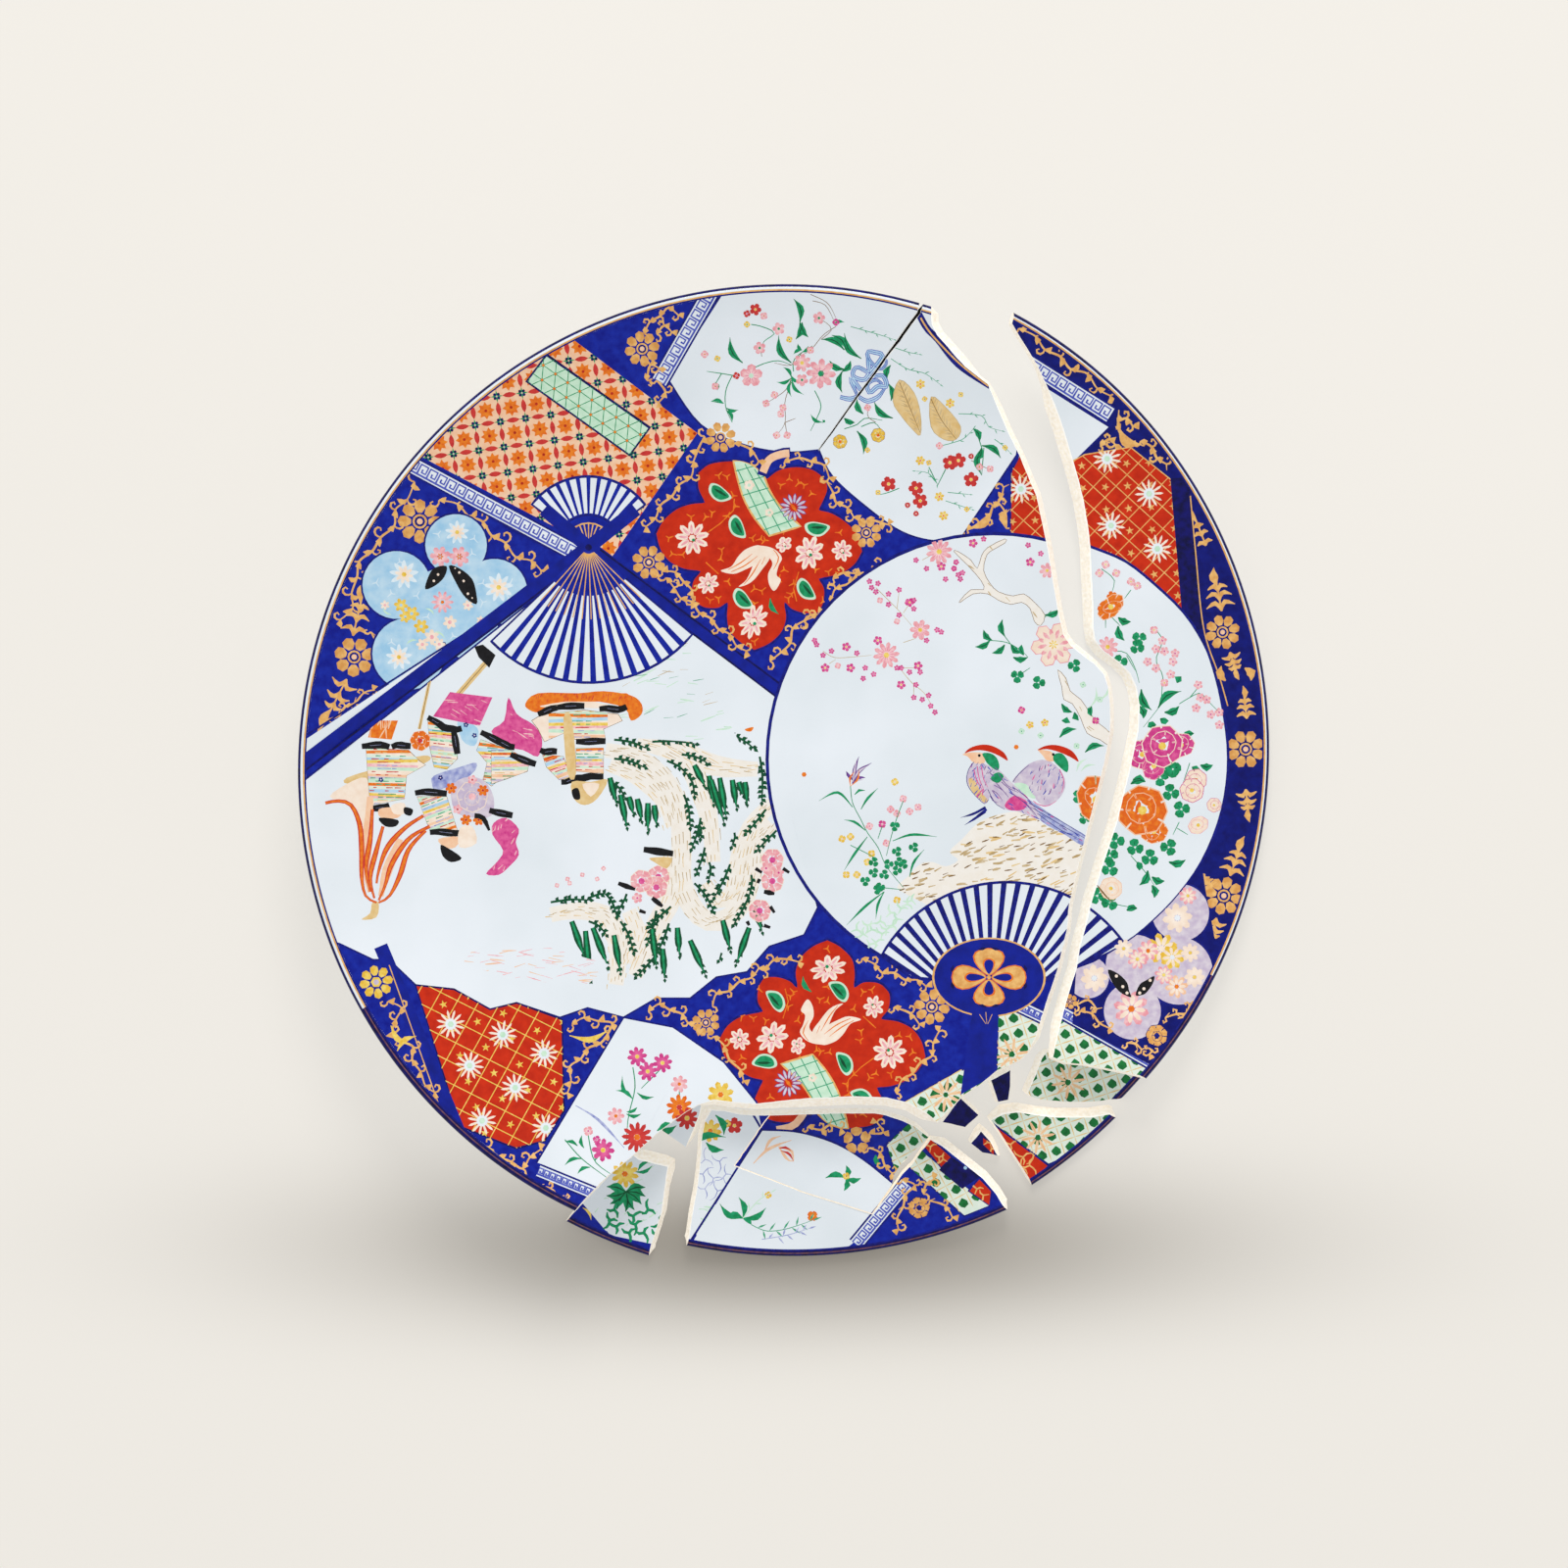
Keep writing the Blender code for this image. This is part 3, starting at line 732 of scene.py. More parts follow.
# What each paint is: first and second tone, roughness, metallic, how uneven the wash is, and its brush
# grain in millimetres. Blue is painted under the glaze and is as smooth as it. The others are fired on top,
# so they lie a little raised and duller, and pool unevenly.
ENAMELS = {
    "glaze": ("#EDF4FC", "#E0E9F0", 0.10, 0.0, 0.45, 60.0),
    "rim_blue": ("#10106A", "#08083E", 0.12, 0.0, 0.6, 3.0),
    "cobalt": ("#021086", "#122AA6", 0.12, 0.0, 0.45, 4.0),
    # deep_cobalt is painted shade: a darker copy of the cobalt, for the right shard's ground and the blue
    # beyond the roundel.
    "deep_cobalt": ("#04085E", "#0A187E", 0.12, 0.0, 0.45, 4.0),
    "blue_line": ("#14208C", "#0A0A62", 0.12, 0.0, 0.5, 2.0),
    "fret_blue": ("#3A46AE", "#5C68C4", 0.14, 0.0, 0.5, 3.0),
    "wash_blue": ("#7C86C8", "#C5CCE8", 0.14, 0.0, 0.5, 3.0),
    "ice_blue": ("#CBE4F4", "#E4F1F9", 0.20, 0.0, 0.4, 3.0),
    "bar_blue": ("#0E22A0", "#0A187C", 0.12, 0.0, 0.4, 6.0),
    "lens_red": ("#D6403A", "#C03030", 0.22, 0.0, 0.5, 2.0),
    "green_line": ("#4FB088", "#3C9A70", 0.18, 0.0, 0.4, 2.0),
    "light_blue": ("#9CCBEB", "#C3E0F2", 0.22, 0.0, 0.5, 6.0),
    "gilding": ("#FACB80", "#DA9C54", 0.30, 0.2, 0.4, 2.5),
    "iron_red": ("#D2300E", "#BC2408", 0.24, 0.0, 0.5, 4.0),
    "red_line": ("#C4321C", "#A42410", 0.24, 0.0, 0.5, 1.5),
    "orange": ("#F08A26", "#E0641A", 0.22, 0.0, 0.6, 2.0),
    "peach": ("#F6D2B2", "#F2BE98", 0.20, 0.0, 0.5, 3.0),
    "cream": ("#FBEFE2", "#F2DCC8", 0.16, 0.0, 0.4, 4.0),
    "sand": ("#F4F1EC", "#F0EAE0", 0.16, 0.0, 0.5, 4.0),
    "pink": ("#F9D6D8", "#EA98A4", 0.20, 0.0, 0.4, 2.0),
    "rose": ("#E668A2", "#CC3A88", 0.22, 0.0, 0.5, 2.0),
    "lilac": ("#DAD2DE", "#C4B6D0", 0.20, 0.0, 0.6, 3.0),
    "purple": ("#7A4FA0", "#5A3580", 0.22, 0.0, 0.5, 2.0),
    "celadon": ("#D4EFDA", "#BCE3C8", 0.18, 0.0, 0.5, 3.0),
    "mint": ("#E4EFE4", "#D8E9DC", 0.18, 0.0, 0.5, 3.0),
    "leaf_green": ("#1C7C3C", "#126030", 0.18, 0.0, 0.6, 2.0),
    "green": ("#1FA06C", "#108450", 0.18, 0.0, 0.6, 2.0),
    "deep_green": ("#0E5C38", "#08402A", 0.18, 0.0, 0.5, 2.0),
    "yellow": ("#F5DE7A", "#E6B93C", 0.20, 0.0, 0.5, 2.0),
    "tan": ("#E9CF9B", "#DDB977", 0.22, 0.0, 0.5, 3.0),
    "rock": ("#D3BF9A", "#B79C6C", 0.22, 0.0, 0.6, 5.0),
    "brown": ("#6B4A1E", "#8C6A3A", 0.26, 0.0, 0.5, 2.0),
    "black": ("#0E0E10", "#1C1C20", 0.16, 0.0, 0.4, 2.0),
    "body": ("#FCF6EA", "#EFE5D6", 0.75, 0.0, 0.7, 1.4),
    "body_edge": ("#FFFEFA", "#FBF7EF", 0.35, 0.0, 0.4, 1.4),
    # grime is painted shade: near-black for the walls of the open crack, where shadow falls deep inside it.
    "grime": ("#15110E", "#2A231C", 0.80, 0.0, 0.7, 1.0),
    "rust": ("#8A5A5E", "#5A3A50", 0.20, 0.0, 0.5, 2.0),
    "foot": ("#E6DCCB", "#CFC2AC", 0.80, 0.0, 0.7, 1.2),
}


SHEEN = 0.17                # the glaze is worn dull, so it mirrors a third of what it would
BODY_PAINTED_GLOW = 0.22            # painted light: the bare body glows a little, standing in for light let through thin porcelain, so its breaks are never dark
# The bumps' size and depth in millimetres, and their strength: the grain of the fired body, and the slow
# ripple of glaze.
BODY_BUMPS = (0.4, 0.2, 0.6)
GLAZE_BUMPS = (7.0, 0.25, 0.12)


def enamel_material(name):
    """Fired paint or glaze, or the bare body where the name says so."""
    first, second, roughness, metallic, wash, grain = ENAMELS[name]
    material = bpy.data.materials.new("porcelain_" + name)
    material.use_nodes = True
    tree = material.node_tree
    shader = tree.nodes["Principled BSDF"]
    place = add_node(tree, "ShaderNodeTexCoord").outputs["Object"]
    tone = add_node(tree, "ShaderNodeAttribute", {"attribute_name": "tone"}).outputs["Fac"]
    # One wave of the wash is one grain long.
    uneven = add_node(tree, "ShaderNodeTexNoise", None,
                      {"Vector": place, "Scale": 1 / (grain * MM), "Detail": 3.0}).outputs["Fac"]
    spread = add_node(tree, "ShaderNodeMapRange", None,
                      {"Value": uneven, "From Min": 0.3, "From Max": 0.7, "To Min": -wash, "To Max": wash})
    mixed = add_node(tree, "ShaderNodeMath", {"operation": "ADD", "use_clamp": True},
                     {0: tone, 1: spread.outputs["Result"]})
    colour = add_node(tree, "ShaderNodeMix", {"data_type": "RGBA"},
                      {"Factor": mixed.outputs[0], 6: linear(first), 7: linear(second)})
    tree.links.new(colour.outputs[2], shader.inputs["Base Color"])
    size, depth, strength = BODY_BUMPS if roughness > 0.5 else GLAZE_BUMPS
    ripple = add_node(tree, "ShaderNodeTexNoise", None,
                      {"Vector": place, "Scale": 1 / (size * MM), "Detail": 2.0})
    bump = add_node(tree, "ShaderNodeBump", None,
                    {"Height": ripple.outputs["Fac"], "Strength": strength, "Distance": depth * MM})
    tree.links.new(bump.outputs["Normal"], shader.inputs["Normal"])
    shader.inputs["Roughness"].default_value = roughness
    shader.inputs["Metallic"].default_value = metallic
    shader.inputs["IOR"].default_value = 1.5
    shader.inputs["Specular IOR Level"].default_value = SHEEN
    # Painted light: the bare body, on every broken wall, glows a little by itself.
    if name.startswith("body"):
        tree.links.new(colour.outputs[2], shader.inputs["Emission Color"])
        shader.inputs["Emission Strength"].default_value = BODY_PAINTED_GLOW
    return material


# ---------------------------------------------------------------- what repeats or follows a path
def new_tree(name, inputs):
    """A Geometry Nodes tree with named inputs, and its Group Input."""
    tree = bpy.data.node_groups.new(name, "GeometryNodeTree")
    for label, kind, value in (("Path", "Geometry", None), *inputs, ("Enamel", "Material", None)):
        socket = tree.interface.new_socket(label, in_out="INPUT", socket_type="NodeSocket" + kind)
        if value is not None:
            socket.default_value = value
    tree.interface.new_socket("Shapes", in_out="OUTPUT", socket_type="NodeSocketGeometry")
    return tree, tree.nodes.new("NodeGroupInput").outputs


def finish_tree(tree, shapes, enamel):
    """Ends a tree in Realize Instances and Set Material."""
    real = add_node(tree, "GeometryNodeRealizeInstances", None, {"Geometry": shapes})
    painted = add_node(tree, "GeometryNodeSetMaterial", None,
                       {"Geometry": real.outputs[0], "Material": enamel})
    end = add_node(tree, "NodeGroupOutput")
    tree.links.new(painted.outputs[0], end.inputs[0])
    return tree


def maths(tree, operation, *values):
    """A math node's result."""
    node = add_node(tree, "ShaderNodeMath", {"operation": operation}, dict(enumerate(values)))
    return node.outputs[0]


def brush_tree(name, ruled):
    """A stroke along a path, full width in its middle and as narrow at each end as it is told. A ruled one
    goes straight from point to point, with its corners kept."""
    tree, given = new_tree(name, [
        ("Width", "Float", 1.0), ("Start", "Float", 1.0), ("End", "Float", 1.0), ("Step", "Float", 3.0)])
    kind = "POLY" if ruled else "CATMULL_ROM"
    drawn = add_node(tree, "GeometryNodeCurveSplineType", {"spline_type": kind}, {"Curve": given["Path"]})
    path = add_node(tree, "GeometryNodeResampleCurve", {"mode": "EVALUATED" if ruled else "LENGTH"},
                    {"Curve": drawn.outputs[0]})
    if not ruled:
        tree.links.new(given["Step"], path.inputs["Length"])
    along = add_node(tree, "GeometryNodeSplineParameter").outputs["Factor"]
    start = add_node(tree, "ShaderNodeMapRange", {"interpolation_type": "SMOOTHSTEP"},
                     {"Value": along, "From Max": 0.5, "To Min": given["Start"]}).outputs["Result"]
    end = add_node(tree, "ShaderNodeMapRange", {"interpolation_type": "SMOOTHSTEP"},
                   {"Value": along, "From Min": 0.5, "From Max": 1.0, "To Min": 1.0,
                    "To Max": given["End"]}).outputs["Result"]
    pressed = maths(tree, "MULTIPLY", maths(tree, "MULTIPLY", start, end), given["Width"])
    level = add_node(tree, "GeometryNodeSetCurveNormal", {"mode": "Z_UP"}, {"Curve": path.outputs[0]})
    brush = add_node(tree, "GeometryNodeCurvePrimitiveLine", None,
                     {"Start": (-0.5, 0.0, 0.0), "End": (0.5, 0.0, 0.0)})
    stroke = add_node(tree, "GeometryNodeCurveToMesh", None,
                      {"Curve": level.outputs[0], "Profile Curve": brush.outputs[0], "Scale": pressed})
    return finish_tree(tree, stroke.outputs[0], given["Enamel"])


def spun(tree, shape, count, start, sweep, closed):
    """Copies of a shape turned about the origin, spread over a sweep."""
    points = add_node(tree, "GeometryNodePoints", None, {"Count": count})
    gaps = count if closed else maths(tree, "SUBTRACT", count, 1.0)
    turn = maths(tree, "DIVIDE", sweep, gaps)
    index = add_node(tree, "GeometryNodeInputIndex").outputs[0]
    angle = maths(tree, "ADD", maths(tree, "MULTIPLY", index, turn), start)
    rotation = add_node(tree, "ShaderNodeCombineXYZ", None, {"Z": angle})
    return add_node(tree, "GeometryNodeInstanceOnPoints", None,
                    {"Points": points.outputs[0], "Instance": shape,
                     "Rotation": rotation.outputs[0]}).outputs[0]


def petal_tree():
    """A ring of petals. Point narrows each petal towards its tip, or widens it when negative."""
    tree, given = new_tree("petal_ring", [
        ("Petals", "Int", 5), ("Hub", "Float", 0.5), ("Length", "Float", 2.0), ("Width", "Float", 2.0),
        ("Point", "Float", 0.0), ("Corners", "Int", 8), ("Turn", "Float", 0.0)])
    petal = add_node(tree, "GeometryNodeMeshCircle", {"fill_type": "NGON"},
                     {"Vertices": given["Corners"], "Radius": 1.0})
    place = add_node(tree, "ShaderNodeSeparateXYZ", None,
                     {"Vector": add_node(tree, "GeometryNodeInputPosition").outputs[0]})
    outwards = maths(tree, "MULTIPLY", maths(tree, "ADD", place.outputs[0], 1.0), 0.5)
    far = maths(tree, "ADD", maths(tree, "MULTIPLY", outwards, given["Length"]), given["Hub"])
    narrowed = maths(tree, "SUBTRACT", 1.0, maths(tree, "MULTIPLY", place.outputs[0], given["Point"]))
    across = maths(tree, "MULTIPLY", maths(tree, "MULTIPLY", place.outputs[1], narrowed),
                   maths(tree, "MULTIPLY", given["Width"], 0.5))
    drawn = add_node(tree, "ShaderNodeCombineXYZ", None, {"X": far, "Y": across})
    shaped = add_node(tree, "GeometryNodeSetPosition", None,
                      {"Geometry": petal.outputs[0], "Position": drawn.outputs[0]})
    ring = spun(tree, shaped.outputs[0], given["Petals"], given["Turn"], 2 * math.pi, True)
    return finish_tree(tree, ring, given["Enamel"])


def ribs_tree():
    """The ribs of an open fan, from near its pivot out to its leaf's edge."""
    tree, given = new_tree("fan_ribs", [
        ("Ribs", "Int", 10), ("Start", "Float", 0.0), ("Sweep", "Float", 1.0), ("Inner", "Float", 10.0),
        ("Outer", "Float", 50.0), ("Inner width", "Float", 0.5), ("Outer width", "Float", 2.0)])
    rib = add_node(tree, "GeometryNodeMeshGrid", None,
                   {"Size X": 1.0, "Size Y": 1.0, "Vertices X": 2, "Vertices Y": 2})
    place = add_node(tree, "ShaderNodeSeparateXYZ", None,
                     {"Vector": add_node(tree, "GeometryNodeInputPosition").outputs[0]})
    outwards = maths(tree, "ADD", place.outputs[0], 0.5)
    far = add_node(tree, "ShaderNodeMapRange", None,
                   {"Value": outwards, "To Min": given["Inner"], "To Max": given["Outer"]})
    width = add_node(tree, "ShaderNodeMapRange", None,
                     {"Value": outwards, "To Min": given["Inner width"], "To Max": given["Outer width"]})
    across = maths(tree, "MULTIPLY", place.outputs[1], width.outputs["Result"])
    drawn = add_node(tree, "ShaderNodeCombineXYZ", None, {"X": far.outputs["Result"], "Y": across})
    shaped = add_node(tree, "GeometryNodeSetPosition", None,
                      {"Geometry": rib.outputs[0], "Position": drawn.outputs[0]})
    fan = spun(tree, shaped.outputs[0], given["Ribs"], given["Start"], given["Sweep"], False)
    return finish_tree(tree, fan, given["Enamel"])


def diaper_tree():
    """The given closed motif repeated on a grid, every second row moved along when staggered."""
    tree, given = new_tree("diaper", [
        ("Across", "Int", 8), ("Down", "Int", 8), ("Pitch across", "Float", 10.0),
        ("Pitch down", "Float", 10.0), ("Stagger", "Float", 0.0)])
    spans = [maths(tree, "MULTIPLY", maths(tree, "SUBTRACT", given[count], 1.0), given[pitch])
             for count, pitch in (("Across", "Pitch across"), ("Down", "Pitch down"))]
    grid = add_node(tree, "GeometryNodeMeshGrid", None,
                    {"Size X": spans[0], "Size Y": spans[1], "Vertices X": given["Across"],
                     "Vertices Y": given["Down"]})
    index = add_node(tree, "GeometryNodeInputIndex").outputs[0]
    odd = maths(tree, "MODULO", maths(tree, "MODULO", index, given["Down"]), 2.0)
    shift = maths(tree, "MULTIPLY", maths(tree, "MULTIPLY", odd, given["Stagger"]), given["Pitch across"])
    moved = add_node(tree, "GeometryNodeSetPosition", None,
                     {"Geometry": grid.outputs[0],
                      "Offset": add_node(tree, "ShaderNodeCombineXYZ", None, {"X": shift}).outputs[0]})
    filled = add_node(tree, "GeometryNodeFillCurve", {"mode": "NGONS"}, {"Curve": given["Path"]})
    motifs = add_node(tree, "GeometryNodeInstanceOnPoints", None,
                      {"Points": moved.outputs[0], "Instance": filled.outputs[0]})
    return finish_tree(tree, motifs.outputs[0], given["Enamel"])


def fret_tree():
    """A key fret: the given hook repeated in a row and drawn with a line of even width."""
    tree, given = new_tree("key_fret", [
        ("Repeats", "Int", 8), ("Pitch", "Float", 6.0), ("Line", "Float", 0.6)])
    offset = add_node(tree, "ShaderNodeCombineXYZ", None, {"X": given["Pitch"]})
    row = add_node(tree, "GeometryNodeMeshLine", None,
                   {"Count": given["Repeats"], "Offset": offset.outputs[0]})
    hooks = add_node(tree, "GeometryNodeInstanceOnPoints", None,
                     {"Points": row.outputs[0], "Instance": given["Path"]})
    real = add_node(tree, "GeometryNodeRealizeInstances", None, {"Geometry": hooks.outputs[0]})
    level = add_node(tree, "GeometryNodeSetCurveNormal", {"mode": "Z_UP"}, {"Curve": real.outputs[0]})
    half = maths(tree, "MULTIPLY", given["Line"], 0.5)
    ends = [add_node(tree, "ShaderNodeCombineXYZ", None, {"X": maths(tree, "MULTIPLY", half, side)})
            for side in (-1.0, 1.0)]
    brush = add_node(tree, "GeometryNodeCurvePrimitiveLine", None,
                     {"Start": ends[0].outputs[0], "End": ends[1].outputs[0]})
    drawn = add_node(tree, "GeometryNodeCurveToMesh", None,
                     {"Curve": level.outputs[0], "Profile Curve": brush.outputs[0]})
    return finish_tree(tree, drawn.outputs[0], given["Enamel"])


def path_object(paths, cyclic=False):
    """A curve object with one poly spline for each path."""
    curve = bpy.data.curves.new("path", "CURVE")
    curve.dimensions = "3D"
    for path in paths:
        spline = curve.splines.new("POLY")
        spline.points.add(len(path) - 1)
        spline.points.foreach_set("co", [c for x, y in path for c in (x, y, 0.0, 1.0)])
        spline.use_cyclic_u = cyclic
    return bpy.data.objects.new("path", curve)


def grown(tree, values, paths=None, closed=False):
    """Runs a tree and returns its flat facets as outlines, each an array of plan points."""
    if paths:
        thing = path_object(paths, closed)
    else:
        thing = bpy.data.objects.new("seed", bpy.data.meshes.new("seed"))
    bpy.context.scene.collection.objects.link(thing)
    modifier = thing.modifiers.new(tree.name, "NODES")
    modifier.node_group = tree
    for item in tree.interface.items_tree:
        if item.in_out == "INPUT" and item.name in values:
            modifier[item.identifier] = values[item.name]
    graph = bpy.context.evaluated_depsgraph_get()
    mesh = bpy.data.meshes.new_from_object(thing.evaluated_get(graph))
    co = np.zeros(len(mesh.vertices) * 3, np.float32)
    mesh.vertices.foreach_get("co", co)
    co = co.reshape(-1, 3)[:, :2].astype(float)
    outlines = [co[list(facet.vertices)] for facet in mesh.polygons]
    data = thing.data
    thing.modifiers.clear()
    bpy.data.objects.remove(thing)
    bpy.data.meshes.remove(mesh)
    (bpy.data.curves if paths else bpy.data.meshes).remove(data)
    return outlines


# ---------------------------------------------------------------- how the painter draws things
# The enamels from the face's edge down to the back: of a broken wall, of the open crack, whose walls below
# the edge are painted near-black as painted shade, and of the lip where the shard lies level, where it leans,
# and along the lower rim, which is painted darker, with a mauve-brown line in place of the gilt one.
LOWER_RIM = -110.0
WALL_ENAMELS = ["body_edge"] + ["body"] * (WALL_ROWS - 1)
CRACK_ENAMELS = ["body_edge"] + ["grime"] * (WALL_ROWS - 1)
PALE_LIP = ["gilding", "glaze", "glaze"] + ["rim_blue"] * (WALL_ROWS - 4) + ["glaze"]
LEANING_LIP = ["gilding", "glaze"] + ["rim_blue"] * (WALL_ROWS - 3) + ["glaze"]
# Along the lower rim the lip is painted darker, with a mauve-brown line in place of the gilt one.
DARK_LIP = ["rim_blue", "rust"] + ["rim_blue"] * (WALL_ROWS - 3) + ["glaze"]
shards = {name: Shard(name, *spec) for name, spec in SHARDS.items()}
main, right = shards["main_shard"], shards["right_shard"]
bottom, centre = shards["bottom_shard"], shards["bottom_centre_shard"]
bottom_left, chip = shards["bottom_left_shard"], shards["tucked_chip"]
outer, inner = shards["lower_right_outer_shard"], shards["lower_right_inner_shard"]
brush, ruler = brush_tree("brush_stroke", False), brush_tree("ruled_line", True)
petal_ring, fan_ribs, diaper, key_fret = petal_tree(), ribs_tree(), diaper_tree(), fret_tree()
OUTLINE = 0.9               # width of the blue line round a panel
BOLD_OUTLINE = 1.3          # and round a fan's leaf
GROUND_RADIUS = 226.1       # of the unbroken plate, where its ground ends and the rim's blue line starts
hand = random.Random(5)     # every small unevenness of the painter's hand


def pts(*flat):
    """Points in plan from a run of x, y numbers."""
    return list(zip(flat[::2], flat[1::2]))


def circle(centre, radius, steps=48):
    x, y = centre
    turn = 2 * math.pi / steps
    return [(x + radius * math.cos(k * turn), y + radius * math.sin(k * turn)) for k in range(steps)]


WHOLE_SHARD = circle((0, 0), 400, 4)    # a square that covers any shard


def arc(centre, radius, start, end, steps=24):
    """Points from one angle to another, in degrees."""
    angles = [math.radians(start + (end - start) * k / steps) for k in range(steps + 1)]
    return [(centre[0] + radius * math.cos(a), centre[1] + radius * math.sin(a)) for a in angles]


def polar(centre, radius, angle):
    return arc(centre, radius, angle, angle, 1)[0]


def smooth(points, steps=5, closed=True):
    """A rounded line through a few points."""
    points = [np.array(p, float) for p in points]
    count = len(points)
    result = []
    for i in range(count if closed else count - 1):
        a, b, c, d = (points[(i + k) % count] if closed else points[min(max(i + k, 0), count - 1)]
            for k in (-1, 0, 1, 2))
        for t in (k / steps for k in range(steps)):
            result.append(0.5 * (2 * b + (c - a) * t + (2 * a - 5 * b + 4 * c - d) * t ** 2
                + (3 * b - a - 3 * c + d) * t ** 3))
    return result if closed else result + [points[-1]]


def lobed(*arcs):
    """An outline of rounded runs that meet in corners. Each run starts where the last one ended."""
    outline = []
    for i, run in enumerate(arcs):
        outline += smooth(list(run) + [arcs[(i + 1) % len(arcs)][0]], 4, closed=False)[:-1]
    return outline


def placed(outlines, at, turn=0.0, scale=1.0, squash=1.0):
    """Outlines drawn about the origin, squashed, turned by so many degrees and moved to a place."""
    angle = math.radians(turn)
    spin = np.array([[math.cos(angle), -math.sin(angle)], [math.sin(angle), math.cos(angle)]])
    return [(np.asarray(o, float) * (scale, scale * squash)) @ spin.T + at for o in outlines]


def strokes(shard, enamel, paths, width, start=1.0, end=1.0, step=3.0, within=None):
    """Brush strokes along paths: their width in the middle, and how much of it they have at either end."""
    drawn = grown(brush, {"Width": width, "Start": start, "End": end, "Step": step}, paths)
    shard.paint_all(enamel, drawn, within)


def lines(shard, enamel, paths, width=OUTLINE, within=None):
    """Ruled lines, straight from point to point."""
    shard.paint_all(enamel, grown(ruler, {"Width": width}, paths), within)


def panel(shard, ground, outline, line="blue_line", width=OUTLINE, within=None):
    """A field of one ground with a line painted round it. Returns its number, for what stays within it."""
    number = shard.paint(ground, outline, within)
    if line:
        lines(shard, line, [list(outline) + list(outline[:2])], width, within)
    return number


def bar(shard, enamel, start, end, width, within=None):
    """A straight bar with square ends."""
    a, b = np.array(start, float), np.array(end, float)
    across = np.array([a[1] - b[1], b[0] - a[0]]) / np.hypot(*(b - a)) * width / 2
    return shard.paint(enamel, [a - across, b - across, b + across, a + across], within)


# A key fret's hook, one pitch long, in fractions of the band's inner height.
FRET_HOOK = [(0.0, 0.0), (0.0, 1.0), (0.75, 1.0), (0.75, 0.3), (0.35, 0.3), (0.35, 0.62)]
FRET_FOOT = [(0.0, 0.0), (1.0, 0.0)]
FRET_MARGIN = 3.0           # of the band's height, left plain
FRET_LINE = 0.95


def fret_band(shard, start, end, height):
    """A white band with a key fret in washed blue between two blue lines."""
    start, end = np.array(start, float), np.array(end, float)
    length = math.dist(start, end)
    turn = math.degrees(math.atan2(end[1] - start[1], end[0] - start[0]))
    band = bar(shard, "glaze", start, end, height)
    inside = height - FRET_MARGIN
    repeats = round(length / inside)
    hooks = [[(x * inside, y * inside) for x, y in path] for path in (FRET_HOOK, FRET_FOOT)]
    drawn = grown(key_fret, {"Repeats": repeats, "Pitch": length / repeats, "Line": FRET_LINE}, hooks)
    side = np.array([start[1] - end[1], end[0] - start[0]]) / length
    shard.paint_all("fret_blue", placed(drawn, start - side * inside / 2, turn), band)
    for reach in (-height / 2, height / 2):
        lines(shard, "blue_line", [[start + side * reach, end + side * reach]])


RIM_LINE_OVERRUN = 0.03      # radians that the rim's line runs on past the breaks


def rim_line(shard):
    """The blue line round the rim, from the edge of the ground out to the lip."""
    rim = [p for p, slant in zip(shard.outline, shard.slant) if slant is None]
    start, end = (math.atan2(y, x) for x, y in shard.pose.home_of([rim[0], rim[-1]]))
    arcs = [shard.pose.rim_arc(radius, start + RIM_LINE_OVERRUN, end - RIM_LINE_OVERRUN)
        for radius in (FACE_EDGE + 1.0, GROUND_RADIUS)]
    shard.paint("blue_line", list(arcs[0]) + list(arcs[1][::-1]))


def petals(shard, enamel, at, radius, count, hub=0.25, width=1.0, point=0.0, turn=0.0, within=None,
           squash=1.0, shade=True, corners=None):
    """A ring of petals. width 1 makes neighbouring petals just touch."""
    corners = corners or (5 if radius < 2.5 else 7)
    length = radius * (1 - hub)
    broad = 2 * math.tan(math.pi / max(count, 3)) * radius * (0.5 + hub / 2) * width
    drawn = grown(petal_ring, {"Petals": count, "Hub": radius * hub, "Length": length, "Width": broad,
        "Point": point, "Corners": corners})
    reach = (at[0], at[1], radius) if shade else None
    shard.paint_all(enamel, placed(drawn, at, turn, 1.0, squash), within, reach)


def dots(shard, enamel, places, radius, within=None, corners=6):
    """Small round spots."""
    shard.paint_all(enamel, [circle(p, radius, corners) for p in places], within)


def gold_flower(shard, at, radius, count=8):
    """A round flower in gilding on blue, its petals parted by the ground, with a ringed heart."""
    turn = hand.uniform(0, 360)
    petals(shard, "gilding", at, radius, count, hub=0.36, width=0.93, point=-0.18, turn=turn)
    for enamel, part, corners in (("gilding", 0.33, 12), ("blue_line", 0.24, 10), ("peach", 0.14, 8)):
        dots(shard, enamel, [at], radius * part, corners=corners)


def posies(shard, rows, within=None):
    """Small open flowers by kind: petals, heart, how many petals, radius, and where they are."""
    for enamel, heart, count, radius, places in rows:
        for at in places:
            petals(shard, enamel, at, radius, count, hub=0.16, width=0.95, point=-0.15,
                turn=hand.uniform(0, 360), within=within)
            dots(shard, heart, [at], radius * 0.22, within)


